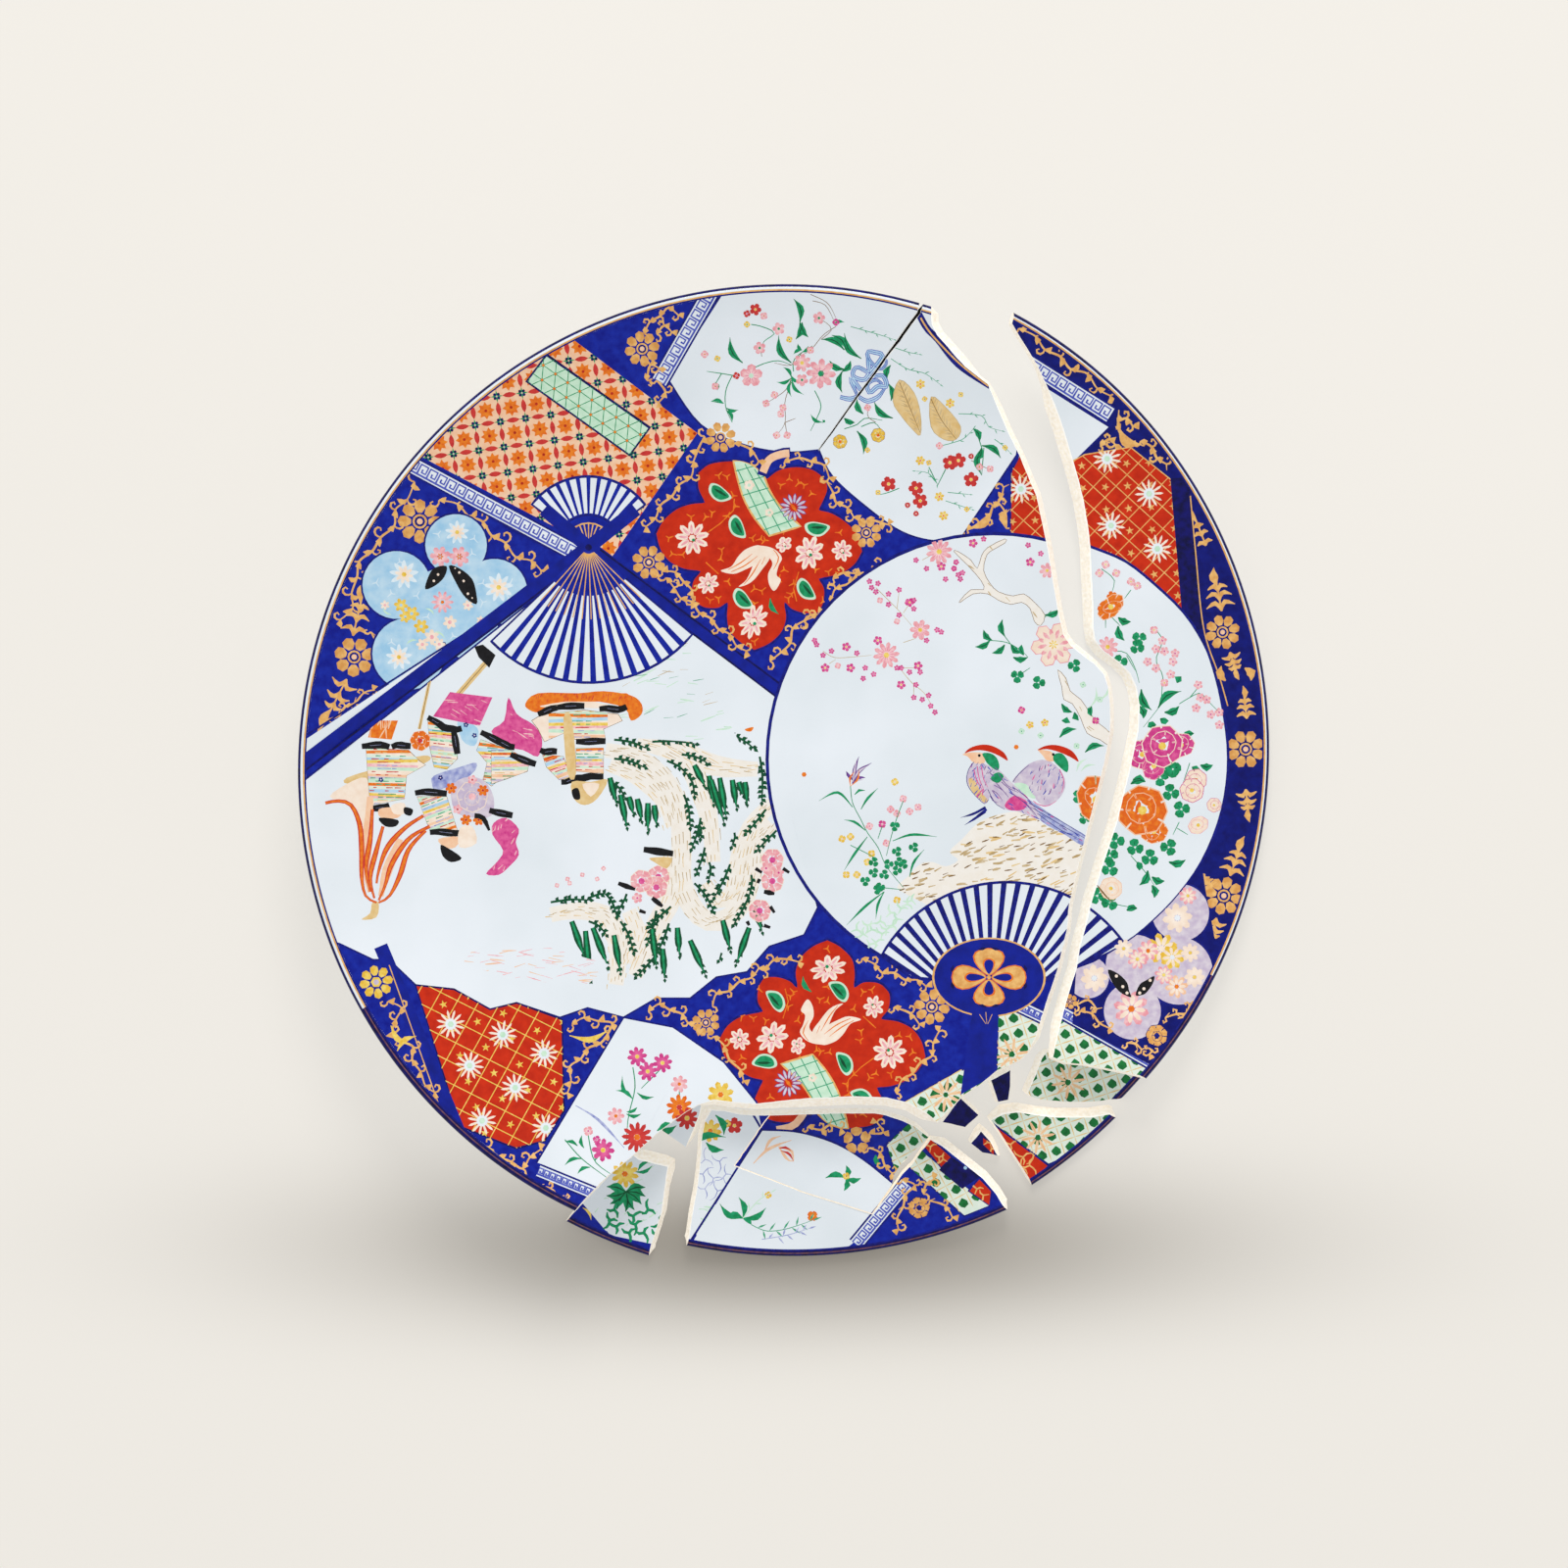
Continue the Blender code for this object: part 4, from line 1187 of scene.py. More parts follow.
def peony(shard, at, radius, edge, fill, heart="yellow", layers=4, squash=1.0, within=None):
    """A full flower: rings of round petals over one another, each ring a little off the middle."""
    for k in range(layers):
        reach, turn = radius * (1 - 0.8 * k / layers), hand.uniform(0, 90)
        spot = polar(at, radius * 0.1 * min(k, 1), hand.uniform(0, 360))
        for enamel, part, width in ((edge, 1.0, 1.1), (fill, 0.95, 1.0))[k % 2:]:
            petals(shard, enamel, spot, reach * part, 7 - k, hub=0.42, width=width, point=-0.4, turn=turn,
                within=within, squash=squash, corners=6)
    dots(shard, heart, [at], radius * (0.38 - 0.05 * layers), within, corners=7)


def filled(shard, rows, within=None):
    """Rounded shapes, each of one enamel. Returns their numbers, for what stays within them."""
    return [shard.paint(enamel, smooth(outline, 3), within) for enamel, outline in rows]


def hatched(shard, enamel, number, count, reach, angle, width=0.5):
    """Short strokes strewn over a painted shape, all leaning about the same way."""
    low, high = (edge(shard.painted[number - 1][1], axis=0) for edge in (np.min, np.max))
    spots = [(hand.uniform(low[0], high[0]), hand.uniform(low[1], high[1])) for _ in range(count)]
    paths = [[p, polar(p, reach * hand.uniform(0.5, 1.0), angle + hand.uniform(-20, 20))] for p in spots]
    strokes(shard, enamel, paths, width, start=0.6, end=0.3, step=max(1.2, reach * 0.4), within=number)


# A curl's points, how many turns it makes, and how much of its radius it loses on the way.
CURL_POINTS, CURL_TURNS, CURL_CLOSES = 8, 0.8, 0.8


def curl(at, reach, angle, side):
    """A path that sets off at an angle and rolls up to one side."""
    path = []
    for k in range(CURL_POINTS):
        t = k / (CURL_POINTS - 1)
        radius = reach * (1 - CURL_CLOSES * t)
        bend = math.radians(angle) - side * (math.pi / 2 - t * CURL_TURNS * 2 * math.pi)
        path.append((radius * math.cos(bend), radius * math.sin(bend)))
    shift = np.subtract(at, path[0])
    return [tuple(np.add(p, shift)) for p in path]


def vine(shard, path, reach, within=None, enamel="gilding", line=1.1):
    """Scrollwork: a wavy stem with curls rolling off it to either side, and leaves between them."""
    path = [np.array(p) for p in smooth(path, 12, closed=False)]
    along = np.cumsum([0] + [math.dist(a, b) for a, b in zip(path, path[1:])])
    count = max(2, round(along[-1] / (reach * 1.15)))
    stem, curls, leaves = [], [], []
    for k in range(count + 1):
        s = along[-1] * k / count
        i = min(int(np.searchsorted(along, s)), len(path) - 1)
        ahead = path[min(i + 1, len(path) - 1)] - path[max(i - 1, 0)]
        angle = math.degrees(math.atan2(ahead[1], ahead[0]))
        side = 1 if k % 2 else -1
        at = np.array(polar(path[i], reach * 0.16 * side, angle + 90))
        stem.append(tuple(at))
        lean = angle + side * hand.uniform(25, 50)
        curls.append(curl(at, reach * hand.uniform(0.36, 0.5), lean, side))
        tip = polar(at, reach * hand.uniform(0.55, 0.75), angle - side * hand.uniform(35, 70))
        leaves.append([tuple(at), polar(at, reach * 0.35, angle - side * 20), tip])
    strokes(shard, enamel, [stem] + curls, line, start=0.6, end=0.6, step=1.4, within=within)
    strokes(shard, enamel, leaves, line * 2.7, start=0.2, end=0.1, step=1.7, within=within)


def palmette(shard, root, tip, reach):
    """A stem between pairs of leaves that arch outwards, with a bud at its tip."""
    root, tip = np.array(root, float), np.array(tip, float)
    lean = math.degrees(math.atan2(*(tip - root)[::-1]))
    commas = []
    for part, size in ((0.0, 0.8), (0.3, 0.72), (0.56, 0.55)):
        for side in (1, -1):
            stalk = tuple(root + (tip - root) * part)
            commas.append([stalk, polar(stalk, reach * size * 0.65, lean + side * 28),
                polar(stalk, reach * size, lean + side * 72)])
    strokes(shard, "gilding", commas, 2.3, start=0.3, end=0.2, step=1.5)
    strokes(shard, "gilding", [[tuple(root), tuple(tip)]], 0.8, step=4.0)
    leaves(shard, "gilding", [tuple(root + (tip - root) * 0.72), tuple(tip + (tip - root) * 0.25)],
        reach * 0.5, bend=0.1)


def leaf_paths(points, bend=0.18):
    """Leaf paths from stalk, tip, stalk, tip and so on, each a little bent."""
    paths = []
    for stalk, tip in zip(points[::2], points[1::2]):
        away = np.subtract(tip, stalk)
        middle = np.add(stalk, away * 0.5) + np.array([-away[1], away[0]]) * bend * hand.choice((-1, 1))
        paths.append([tuple(stalk), tuple(middle), tuple(tip)])
    return paths


def leaves(shard, enamel, points, width, within=None, bend=0.18, vein=None):
    """Leaves from their stalks to their tips, with a darker vein where one is asked for."""
    paths = leaf_paths(points, bend)
    step = min(1.6, 0.4 * min(math.dist(a, b) for a, b in zip(points[::2], points[1::2])))
    strokes(shard, enamel, paths, width, start=0.15, end=0.05, step=step, within=within)
    if vein:
        strokes(shard, vein, paths, width * 0.16, start=0.5, end=0.2, step=2.4, within=within)


def blades(shard, enamel, points, width, within=None):
    """Small pointed leaves, each from its stalk to its tip."""
    for stalk, tip in zip(points[::2], points[1::2]):
        away = np.subtract(tip, stalk)
        belly = np.array([-away[1], away[0]]) / np.hypot(*away) * width / 2
        middle = stalk + away * 0.42
        shard.paint(enamel, [stalk, middle - belly, tip, middle + belly], within)


def clovers(shard, places, radius, within=None):
    """Three-lobed leaves."""
    for at in places:
        turn = hand.uniform(0, 120)
        petals(shard, "green", at, radius, 3, hub=0.05, width=0.62, point=-0.2, turn=turn, within=within)
        petals(shard, "deep_green", at, radius * 0.7, 3, width=0.06, turn=turn, within=within, shade=False,
            corners=4)


def sprig(shard, path, spacing, reach, width, enamel="green", stem=None, spread=50, line=0.5, within=None):
    """A stem with leaves standing off it to either side, and one at its end."""
    path = [np.array(p) for p in smooth(path, 6, closed=False)]
    along = np.cumsum([0] + [math.dist(a, b) for a, b in zip(path, path[1:])])
    tips = []
    count = max(1, round(along[-1] / spacing))
    for k in range(1, count + 1):
        i = min(int(np.searchsorted(along, along[-1] * k / count)), len(path) - 1)
        ahead = path[i] - path[i - 1]
        angle = math.degrees(math.atan2(ahead[1], ahead[0]))
        off = 0 if k == count else (spread if k % 2 else -spread) + hand.uniform(-12, 12)
        tips += [tuple(path[i]), polar(path[i], reach * hand.uniform(0.8, 1.1), angle + off)]
    strokes(shard, stem or enamel, [[tuple(p) for p in path[::3]] + [tuple(path[-1])]], line, end=0.6,
        step=2.0, within=within)
    blades(shard, enamel, tips, width, within)


def scribble(shard, enamel, places, reach, width=0.8, within=None):
    """Little three-stroke sprigs, all leaning their own way."""
    paths = []
    for at in places:
        angle = hand.uniform(0, 360)
        for off, part in ((0, 1.0), (125, 0.7), (-120, 0.8)):
            paths.append([at, polar(at, reach * part * 0.6, angle + off + 18),
                polar(at, reach * part, angle + off)])
    strokes(shard, enamel, paths, width, start=0.9, end=0.4, step=1.6, within=within)


def lens(length, width):
    """A pointed oval lying along X."""
    half, belly = length / 2, width / 2
    return [(-half, 0), (-half * 0.5, -belly * 0.75), (0, -belly), (half * 0.5, -belly * 0.75), (half, 0),
        (half * 0.5, belly * 0.75), (0, belly), (-half * 0.5, belly * 0.75)]


def star(points, reach, waist):
    """A star about the origin, with its points at one radius and its notches at another."""
    return [(r * math.cos(a), r * math.sin(a)) for k in range(2 * points)
        for r, a in [(waist if k % 2 else reach, math.pi * k / points)]]


def repeated(shard, enamel, motif, at, across, down, pitch, turn=0.0, stagger=0.0, shift=(0.0, 0.0),
             within=None):
    """A motif, one outline or several, repeated over a grid centred on a place."""
    wide, high = pitch
    grid = grown(diaper, {"Across": across, "Down": down, "Pitch across": wide, "Pitch down": high,
        "Stagger": stagger}, motif, closed=True)
    grid = [o + np.array(shift) for o in grid]
    shard.paint_all(enamel, placed(grid, at, turn), within)


def fan_leaf(shard, pivot, start, end, inside, outside, count, widths):
    """An open fan's leaf: white between two arcs, with blue ribs, closed by a blue line."""
    leaf = arc(pivot, outside, start, end, 20) + arc(pivot, inside, end, start, 20)
    number = panel(shard, "glaze", leaf, width=BOLD_OUTLINE)
    gap = (end - start) / (count + 1)
    rows = grown(fan_ribs, {"Ribs": count, "Start": math.radians(start + gap),
        "Sweep": math.radians((count - 1) * gap), "Inner": inside, "Outer": outside,
        "Inner width": widths[0], "Outer width": widths[1]})
    shard.paint_all("cobalt", placed(rows, pivot), number)
    return number


# ---------------------------------------------------------------- what is painted on the plate
# The circle round the birds, and the pivot of the two small fans.
ROUNDEL = (98.5, 5.5)
ROUNDEL_RADIUS = 107.0
PIVOT = (-93, 106)


def paint_brocade():
    """Upper left: peach brocade of red lenses and orange flowers, with a green slip let into it."""
    field = panel(main, "peach", pts(-107, 209, -41.5, 160, -82, 101.5, -178.5, 152), line=None)
    middle, tilt, pitch = (-109, 156.5), 8.0, 12
    grid = {"at": middle, "across": 13, "down": 11, "pitch": (pitch, pitch), "turn": tilt, "within": field}
    half = pitch / 2
    repeated(main, "orange", [star(8, 4.2, 2.7)], shift=(half, half), **grid)
    repeated(main, "red_line", [circle((0, 0), 0.75, 6)], shift=(half, half), **grid)
    repeated(main, "lens_red", [lens(6.6, 2.5)], shift=(half, 0), **grid)
    repeated(main, "lens_red", [[(y, x) for x, y in lens(6.6, 2.5)[::-1]]], shift=(0, half), **grid)
    repeated(main, "green", [star(4, 3.1, 0.8)], **grid)
    repeated(main, "rim_blue", [circle(polar((0, 0), 1.25, 45 + 90 * k), 0.8, 5) for k in range(4)], **grid)
    repeated(main, "pink", [circle((0, 0), 0.5, 4)], **grid)

    slip = panel(main, "celadon", pts(-112.5, 196.5, -64, 162.5, -73.5, 149.5, -122, 184), line="rim_blue",
        width=1.3)
    low, high = (-117, 190), (-69, 156)
    angle = math.degrees(math.atan2(high[1] - low[1], high[0] - low[0]))
    across = {"at": ((low[0] + high[0]) / 2, (low[1] + high[1]) / 2), "across": 11, "down": 4,
        "pitch": (7, 6), "turn": angle, "stagger": 0.5, "within": slip}
    repeated(main, "green", [lens(7.5, 0.45)], shift=(3.6, 0), **across)
    for lean in (60, -60):
        slanted = placed([lens(7.0, 0.45)], polar((0, 0), 3.5, lean), lean)
        repeated(main, "green", [o.tolist() for o in slanted], **across)
    repeated(main, "green", [star(6, 2.1, 0.6)], **across)
    repeated(main, "orange", [circle((0, 0), 0.7, 6)], **across)


def paint_left_grounds():
    """Left: blue ground with gilt scrolls, a light blue plum blossom cartouche, and the bar of the fan."""
    gold_flower(main, (-172.5, 118), 10.5)
    gold_flower(main, (-203.5, 54), 9.5, count=7)
    vine(main, pts(-174, 136, -183, 123, -187, 113, -197, 103, -203, 92, -204, 80, -209, 71), 6.5)
    palmette(main, (-204, 64), (-199, 85), 8.5)
    palmette(main, (-207, 43.5), (-217, 24), 8.5)
    vine(main, pts(-163, 129, -151, 123, -140, 114, -128, 103, -115, 96), 6.5)
    vine(main, pts(-195, 66, -193, 57), 4.5)
    vine(main, pts(-221, 19, -206, 31, -195, 39), 4.5)

    lobes = [((-155.5, 107), 14.5), ((-183.5, 88), 16), ((-137.5, 85), 15.5), ((-178, 55.5), 17),
        ((-161.5, 78.5), 17.5), ((-148.5, 65.5), 13)]
    for at, radius in lobes:
        main.paint("blue_line", circle(at, radius + 0.9, 30))
    grounds = [main.paint("light_blue", circle(at, radius, 30)) for at, radius in lobes]
    for at, radius in (((-155, 113), 4.6), ((-180, 93), 5.6), ((-135.5, 87), 5.6), ((-182.5, 54), 5.0)):
        petals(main, "ice_blue", at, radius * 1.25, 9, hub=0.2, width=0.8, point=0.3, turn=10)
        petals(main, "cream", at, radius * 0.8, 8, hub=0.1, width=0.9, point=0.1, turn=33, shade=False)
        dots(main, "yellow", [at], radius * 0.22)
    for at in ((-163, 101.5), (-154, 101.5)):
        petals(main, "pink", at, 5.0, 7, hub=0.2, width=0.95, point=-0.1, turn=20)
        petals(main, "orange", at, 1.7, 6, hub=0.1, width=0.8)
    petals(main, "pink", (-162, 80), 5.4, 10, hub=0.2, width=0.8, point=0.1)
    dots(main, "orange", [(-162, 80)], 0.9)
    for at, radius in (((-181.5, 78.5), 3.4), ((-176.5, 74.5), 3.8), ((-172, 68.5), 3.6),
            ((-179.5, 73), 3.0)):
        petals(main, "yellow", at, radius, 6, hub=0.15, width=0.9, point=0.1, turn=15 * radius)
    for at, radius in (((-167, 63.5), 3.8), ((-171.5, 60), 3.0), ((-158.5, 70.5), 3.4), ((-163.5, 60), 3.0),
            ((-150, 78.5), 2.6), ((-189, 78.5), 2.4), ((-144, 71.5), 2.2)):
        petals(main, "cream", at, radius, 6, hub=0.15, width=0.9, point=0.1, turn=40 * radius)
        dots(main, "pink", [at], radius * 0.3)
    scribble(main, "ice_blue", pts(-186, 84, -174, 83, -169, 73, -157, 64, -143, 80, -131, 82, -148, 103,
        -164, 112, -186, 61, -174, 48, -179, 45, -143, 89, -193, 89, -182, 99, -147, 110, -130, 89),
        reach=2.6, width=0.7)
    leaves(main, "celadon", pts(-170, 77, -166, 74, -186, 74, -190, 77, -166, 66, -161, 63, -174, 62,
        -179, 60), 1.1)
    wings = (pts(-170, 86, -169, 91, -166, 96, -160, 97, -161, 92, -165, 88), pts(-159, 97, -154, 96,
        -148, 91, -146, 84, -146, 79, -151, 82, -155, 88))
    for wing in wings:
        main.paint("black", smooth(wing, 3))
    dots(main, "cream", pts(-166, 90, -164, 93, -154, 94, -152, 90, -150, 84), 0.65)
    dots(main, "cream", pts(-156, 96, -148, 82), 0.4)
    return grounds


def paint_fans():
    """The two small fans that share a pivot, with their guard bars crossing the plate."""
    main.paint("glaze", pts(-228, 14, -225.5, 15.5, -144, 70, -139, 67, -228, 5))
    lines(main, "blue_line", [pts(-229, 15, -144, 70)], 0.9)
    bar(main, "bar_blue", (-231.5, 0.5), PIVOT, 7)
    bar(main, "bar_blue", PIVOT, (-0.5, 36.5), 7)
    lines(main, "rim_blue", [[(-231.5, -3.5), (-95, 101)], [(-91, 101), (-0.5, 32.5)], [(-87.5, 105),
        (-0.5, 40)]], 0.9)

    fan_leaf(main, PIVOT, start=224, end=320, inside=22, outside=64, count=15, widths=(1.6, 2.8))
    main.paint("cobalt", arc(PIVOT, 23, 222, 322, 12) + [PIVOT])
    golds = grown(fan_ribs, {"Ribs": 13, "Start": math.radians(228), "Sweep": math.radians(88),
        "Inner": 3.0, "Outer": 34, "Inner width": 0.5, "Outer width": 0.5})
    main.paint_all("gilding", placed(golds, PIVOT))

    main.paint("cobalt", arc(PIVOT, 16.5, 30, 148, 14) + [PIVOT])
    fan_leaf(main, PIVOT, start=37, end=143, inside=15.5, outside=33.5, count=11, widths=(1.0, 2.0))
    inset = arc(PIVOT, 11.5, 42, 138, 12)
    golds = grown(fan_ribs, {"Ribs": 9, "Start": math.radians(46), "Sweep": math.radians(88), "Inner": 1.5,
        "Outer": 11.5, "Inner width": 0.4, "Outer width": 0.6})
    main.paint_all("gilding", placed(golds, PIVOT))
    strokes(main, "gilding", [inset], 0.7)
    bar(main, "bar_blue", PIVOT, (-70.5, 124), 6.5)
    bar(main, "bar_blue", PIVOT, (-114, 124), 6.5)
    main.paint("rim_blue", circle(PIVOT, 1.6, 10))


MEDALLION = lobed(pts(-8.5, 139, -3, 143, 5.5, 144.5, 13.5, 143, 19, 138.5, 20.5, 133.5, 18.5, 128),
    pts(16.5, 124, 22.5, 122.5, 29.5, 118, 35, 112), pts(37, 104, 33, 97.5, 26, 93), pts(16.5, 91, 19, 86.5,
    18.5, 79.5), pts(15.5, 74.5, 9, 74.5, 3, 76.5), pts(0, 79.5, 1, 72.5, -1.5, 65.5, -7.5, 60),
    pts(-14.5, 57, -20.5, 60, -26.5, 66, -28, 73), pts(-27.5, 79.5, -31.5, 77, -37.5, 77), pts(-41, 78.5,
    -44.5, 83, -44, 90), pts(-40.5, 94.5, -48, 95.5, -55, 99, -59.5, 105), pts(-61.5, 112.5, -58, 119,
    -51.5, 124.5, -44.5, 127), pts(-38.5, 127.5, -41.5, 134), pts(-41.5, 141.5, -36.5, 145.5, -29.5, 147,
    -21.5, 147, -14.5, 144.5))


def paint_medallion(shard, put):
    """A six-lobed red medallion with a goose. put moves its shapes from the upper one's place."""
    def at(point):
        return tuple(put([point])[0])

    field = panel(shard, "iron_red", put(MEDALLION), width=1.1)
    scribble(shard, "orange", put(pts(-31.5, 140, -27.5, 139.5, 6.5, 136.5, 2, 138.5, -34.5, 122.5,
        -37.5, 120.5, -30, 105, -30.5, 100.5, -55, 110.5, -53.5, 103, -48.5, 102.5, -27, 90, -14.5, 86.5,
        -11, 85.5, 3, 84, 1.5, 82, -35.5, 81, -31.5, 82, -14.5, 61.5, 20.5, 94.5, 26, 93.5, 26, 113,
        12.5, 131.5, -11.5, 110, -9.5, 109.5, 18, 80.5, 14.5, 95.5, -44.5, 120.5, -27, 121, -0.5, 114,
        9, 135.5, -2, 135.5, -38, 86.5, -0.5, 95.5, -14.5, 79.5, -23.5, 125.5, -24.5, 130.5, 4, 89,
        -15.5, 110.5, -3, 91)), reach=2.5, width=0.9, within=field)
    lines(shard, "orange", [put(pts(-37.5, 112.5, -30.5, 117.5, -24.5, 123.5, -24, 129)), put(pts(-37.5, 99,
        -31.5, 93.5)), put(pts(6.5, 94.5, 4, 86.5, 5.5, 80.5))], 0.5, field)
    slip = panel(shard, "celadon", put(lobed(pts(-24.5, 147, -20.5, 147, -14.5, 144.5), pts(-10, 140,
        -7, 132.5, -1.5, 124.5), pts(7.5, 116), pts(-7.5, 111.5, -14.5, 120, -19.5, 129, -22.5, 138.5))),
        line="gilding", width=0.9, within=field)
    hatch = [[(-22.5, 143), (-7.5, 112)], [(-19, 145.5), (-2, 113.5)], [(-14.5, 143), (3, 115.5)]]
    hatch += [[(-23.5, 142), (-7.5, 146.5)], [(-22.5, 136), (-5, 141)], [(-20.5, 130.5), (-1.5, 136)],
        [(-18, 124.5), (0.5, 130.5)], [(-14.5, 119), (3, 124.5)], [(-11, 114), (6.5, 120)]]
    lines(shard, "green_line", [put(path) for path in hatch], 0.5, slip)
    petals(shard, "cream", at((-17, 135.5)), 2.6, 5, within=slip)
    petals(shard, "cream", at((-7.5, 122.5)), 2.2, 5, within=slip)
    for spot, turn in (((-30.5, 132), -30), ((-22, 115.5), -60), ((15.5, 115.5), 0), ((-19.5, 81.5), -45),
            ((10.5, 86), -50)):
        moon = [(-6.2, 1.2), (-5.2, -2.2), (-1.5, -4.2), (2.6, -3.6), (5.8, 0.4), (1.0, 2.2), (-3.4, 2.6)]
        half = put(placed([smooth(moon, 4)], spot, turn)[0])
        shard.paint("celadon", half, field)
        shard.paint("green", put(placed([smooth(moon, 4)], spot, turn, 0.78)[0]), field)
        vein = put(placed([lens(7.5, 1.3)], spot, turn)[0])
        shard.paint("deep_green", vein, field)
    leaves(shard, "green", put(pts(-7, 82, -3, 74.5)), 2.6, within=field)
    petals(shard, "purple", at((4, 125)), 6.8, 13, width=0.85, within=field, shade=False, corners=6)
    petals(shard, "lilac", at((4, 125)), 6.4, 13, hub=0.3, width=0.6, within=field, shade=False, corners=6)
    leaves(shard, "orange", put(pts(2, 127.5, 6, 122.5)), 1.6, within=field, bend=0.0)
    for spot, radius, count, squash in (((-44, 110.5), 8.2, 9, 1.0), ((11.5, 103.5), 8.6, 8, 0.8),
            ((27, 104.5), 5.0, 7, 1.1), ((-15, 71), 9.0, 9, 0.72), ((-36.5, 89), 5.6, 7, 0.9),
            ((-0.5, 107.5), 4.4, 5, 0.8)):
        turn = hand.uniform(0, 90)
        petals(shard, "cream", at(spot), radius, count, hub=0.22, width=0.88, turn=turn, within=field,
            squash=squash, shade=False)
        petals(shard, "pink", at(spot), radius * 0.8, count, width=0.45, point=0.3, turn=turn, within=field,
            squash=squash)
        dots(shard, "cream", [at(spot)], radius * 0.2, field)
        dots(shard, "green", [at(tuple(np.add(spot, (0.6, -1.0))))], radius * 0.1, field)
    goose = [pts(-30.5, 95, -25.5, 97, -22, 102, -18, 105.5, -12, 107, -11, 102.5, -14.5, 98, -19, 95.5,
        -24.5, 93.5), pts(-22, 87.5, -18.5, 90.5, -16, 95.5, -14, 100.5, -9.5, 102.5, -7.5, 100.5,
        -11, 95.5, -14.5, 91, -18, 88.5), pts(-14.5, 106.5, -8.5, 106.5, -4, 104.5, -1.5, 101, -3, 97.5,
        -4, 93, -2, 90.5, -5, 85.5, -7.5, 88.5, -8, 93.5, -6, 98, -7.5, 101, -12, 102)]
    for part in goose:
        shard.paint("cream", put(smooth(part, 4)), field)
    feathers = [put(p) for p in (pts(-27, 95.5, -21.5, 98.5, -15.5, 103), pts(-25.5, 94.5, -19, 97.5,
        -13, 102), pts(-19.5, 88.5, -15.5, 93.5, -11.5, 100.5), pts(-11, 98, -9.5, 101.5), pts(-5.5, 105,
        -3, 101, -5.5, 95.5))]
    strokes(shard, "orange", feathers, 0.6, start=0.5, end=0.3, step=2.0, within=field)


def upright(points):
    """The upper medallion's points, where they are."""
    return [tuple(p) for p in points]


def paint_upper_medallion():
    """The upper medallion, with its cord, and gold flowers and scrolls on the blue round it."""
    paint_medallion(main, upright)
    strokes(main, "blue_line", [pts(-11, 140, -8, 147.5, -2, 150.5, 2.5, 151)], 4.6)
    strokes(main, "peach", [pts(-10.5, 141.5, -7.5, 147.5, -2, 150, 2, 150.5)], 3.6, step=2.0)
    for at, radius in (((-30.5, 158), 7.4), ((38.5, 113), 7.4), ((-64.5, 99), 8.2)):
        gold_flower(main, at, radius)
    for path in (pts(-42.5, 146, -46, 138.5, -53.5, 131.5, -60.5, 122.5, -65, 115.5), pts(-23.5, 156,
            -16.5, 151.5, -12, 147.5), pts(-0.5, 147, 9, 147.5, 15.5, 146.5, 21.5, 139.5), pts(20.5, 137.5,
            22.5, 130.5, 27.5, 125.5, 33, 121), pts(39.5, 120.5, 46, 116.5, 48.5, 117.5), pts(21, 80.5,
            25, 86.5, 34, 92, 46, 98), pts(-55.5, 92, -52.5, 85.5, -44.5, 79.5, -36.5, 72.5, -27, 64.5,
            -19, 56.5), pts(-7.5, 53, -0.5, 56.5, 3, 64.5, 7.5, 71.5, 14.5, 72.5), pts(-37.5, 158,
            -42, 152.5, -42.5, 146.5), pts(-58, 95.5, -48, 91, -43, 80.5), pts(9, 71.5, 15.5, 75),
            pts(22.5, 92, 33, 94.5)):
        vine(main, path, 5.2)


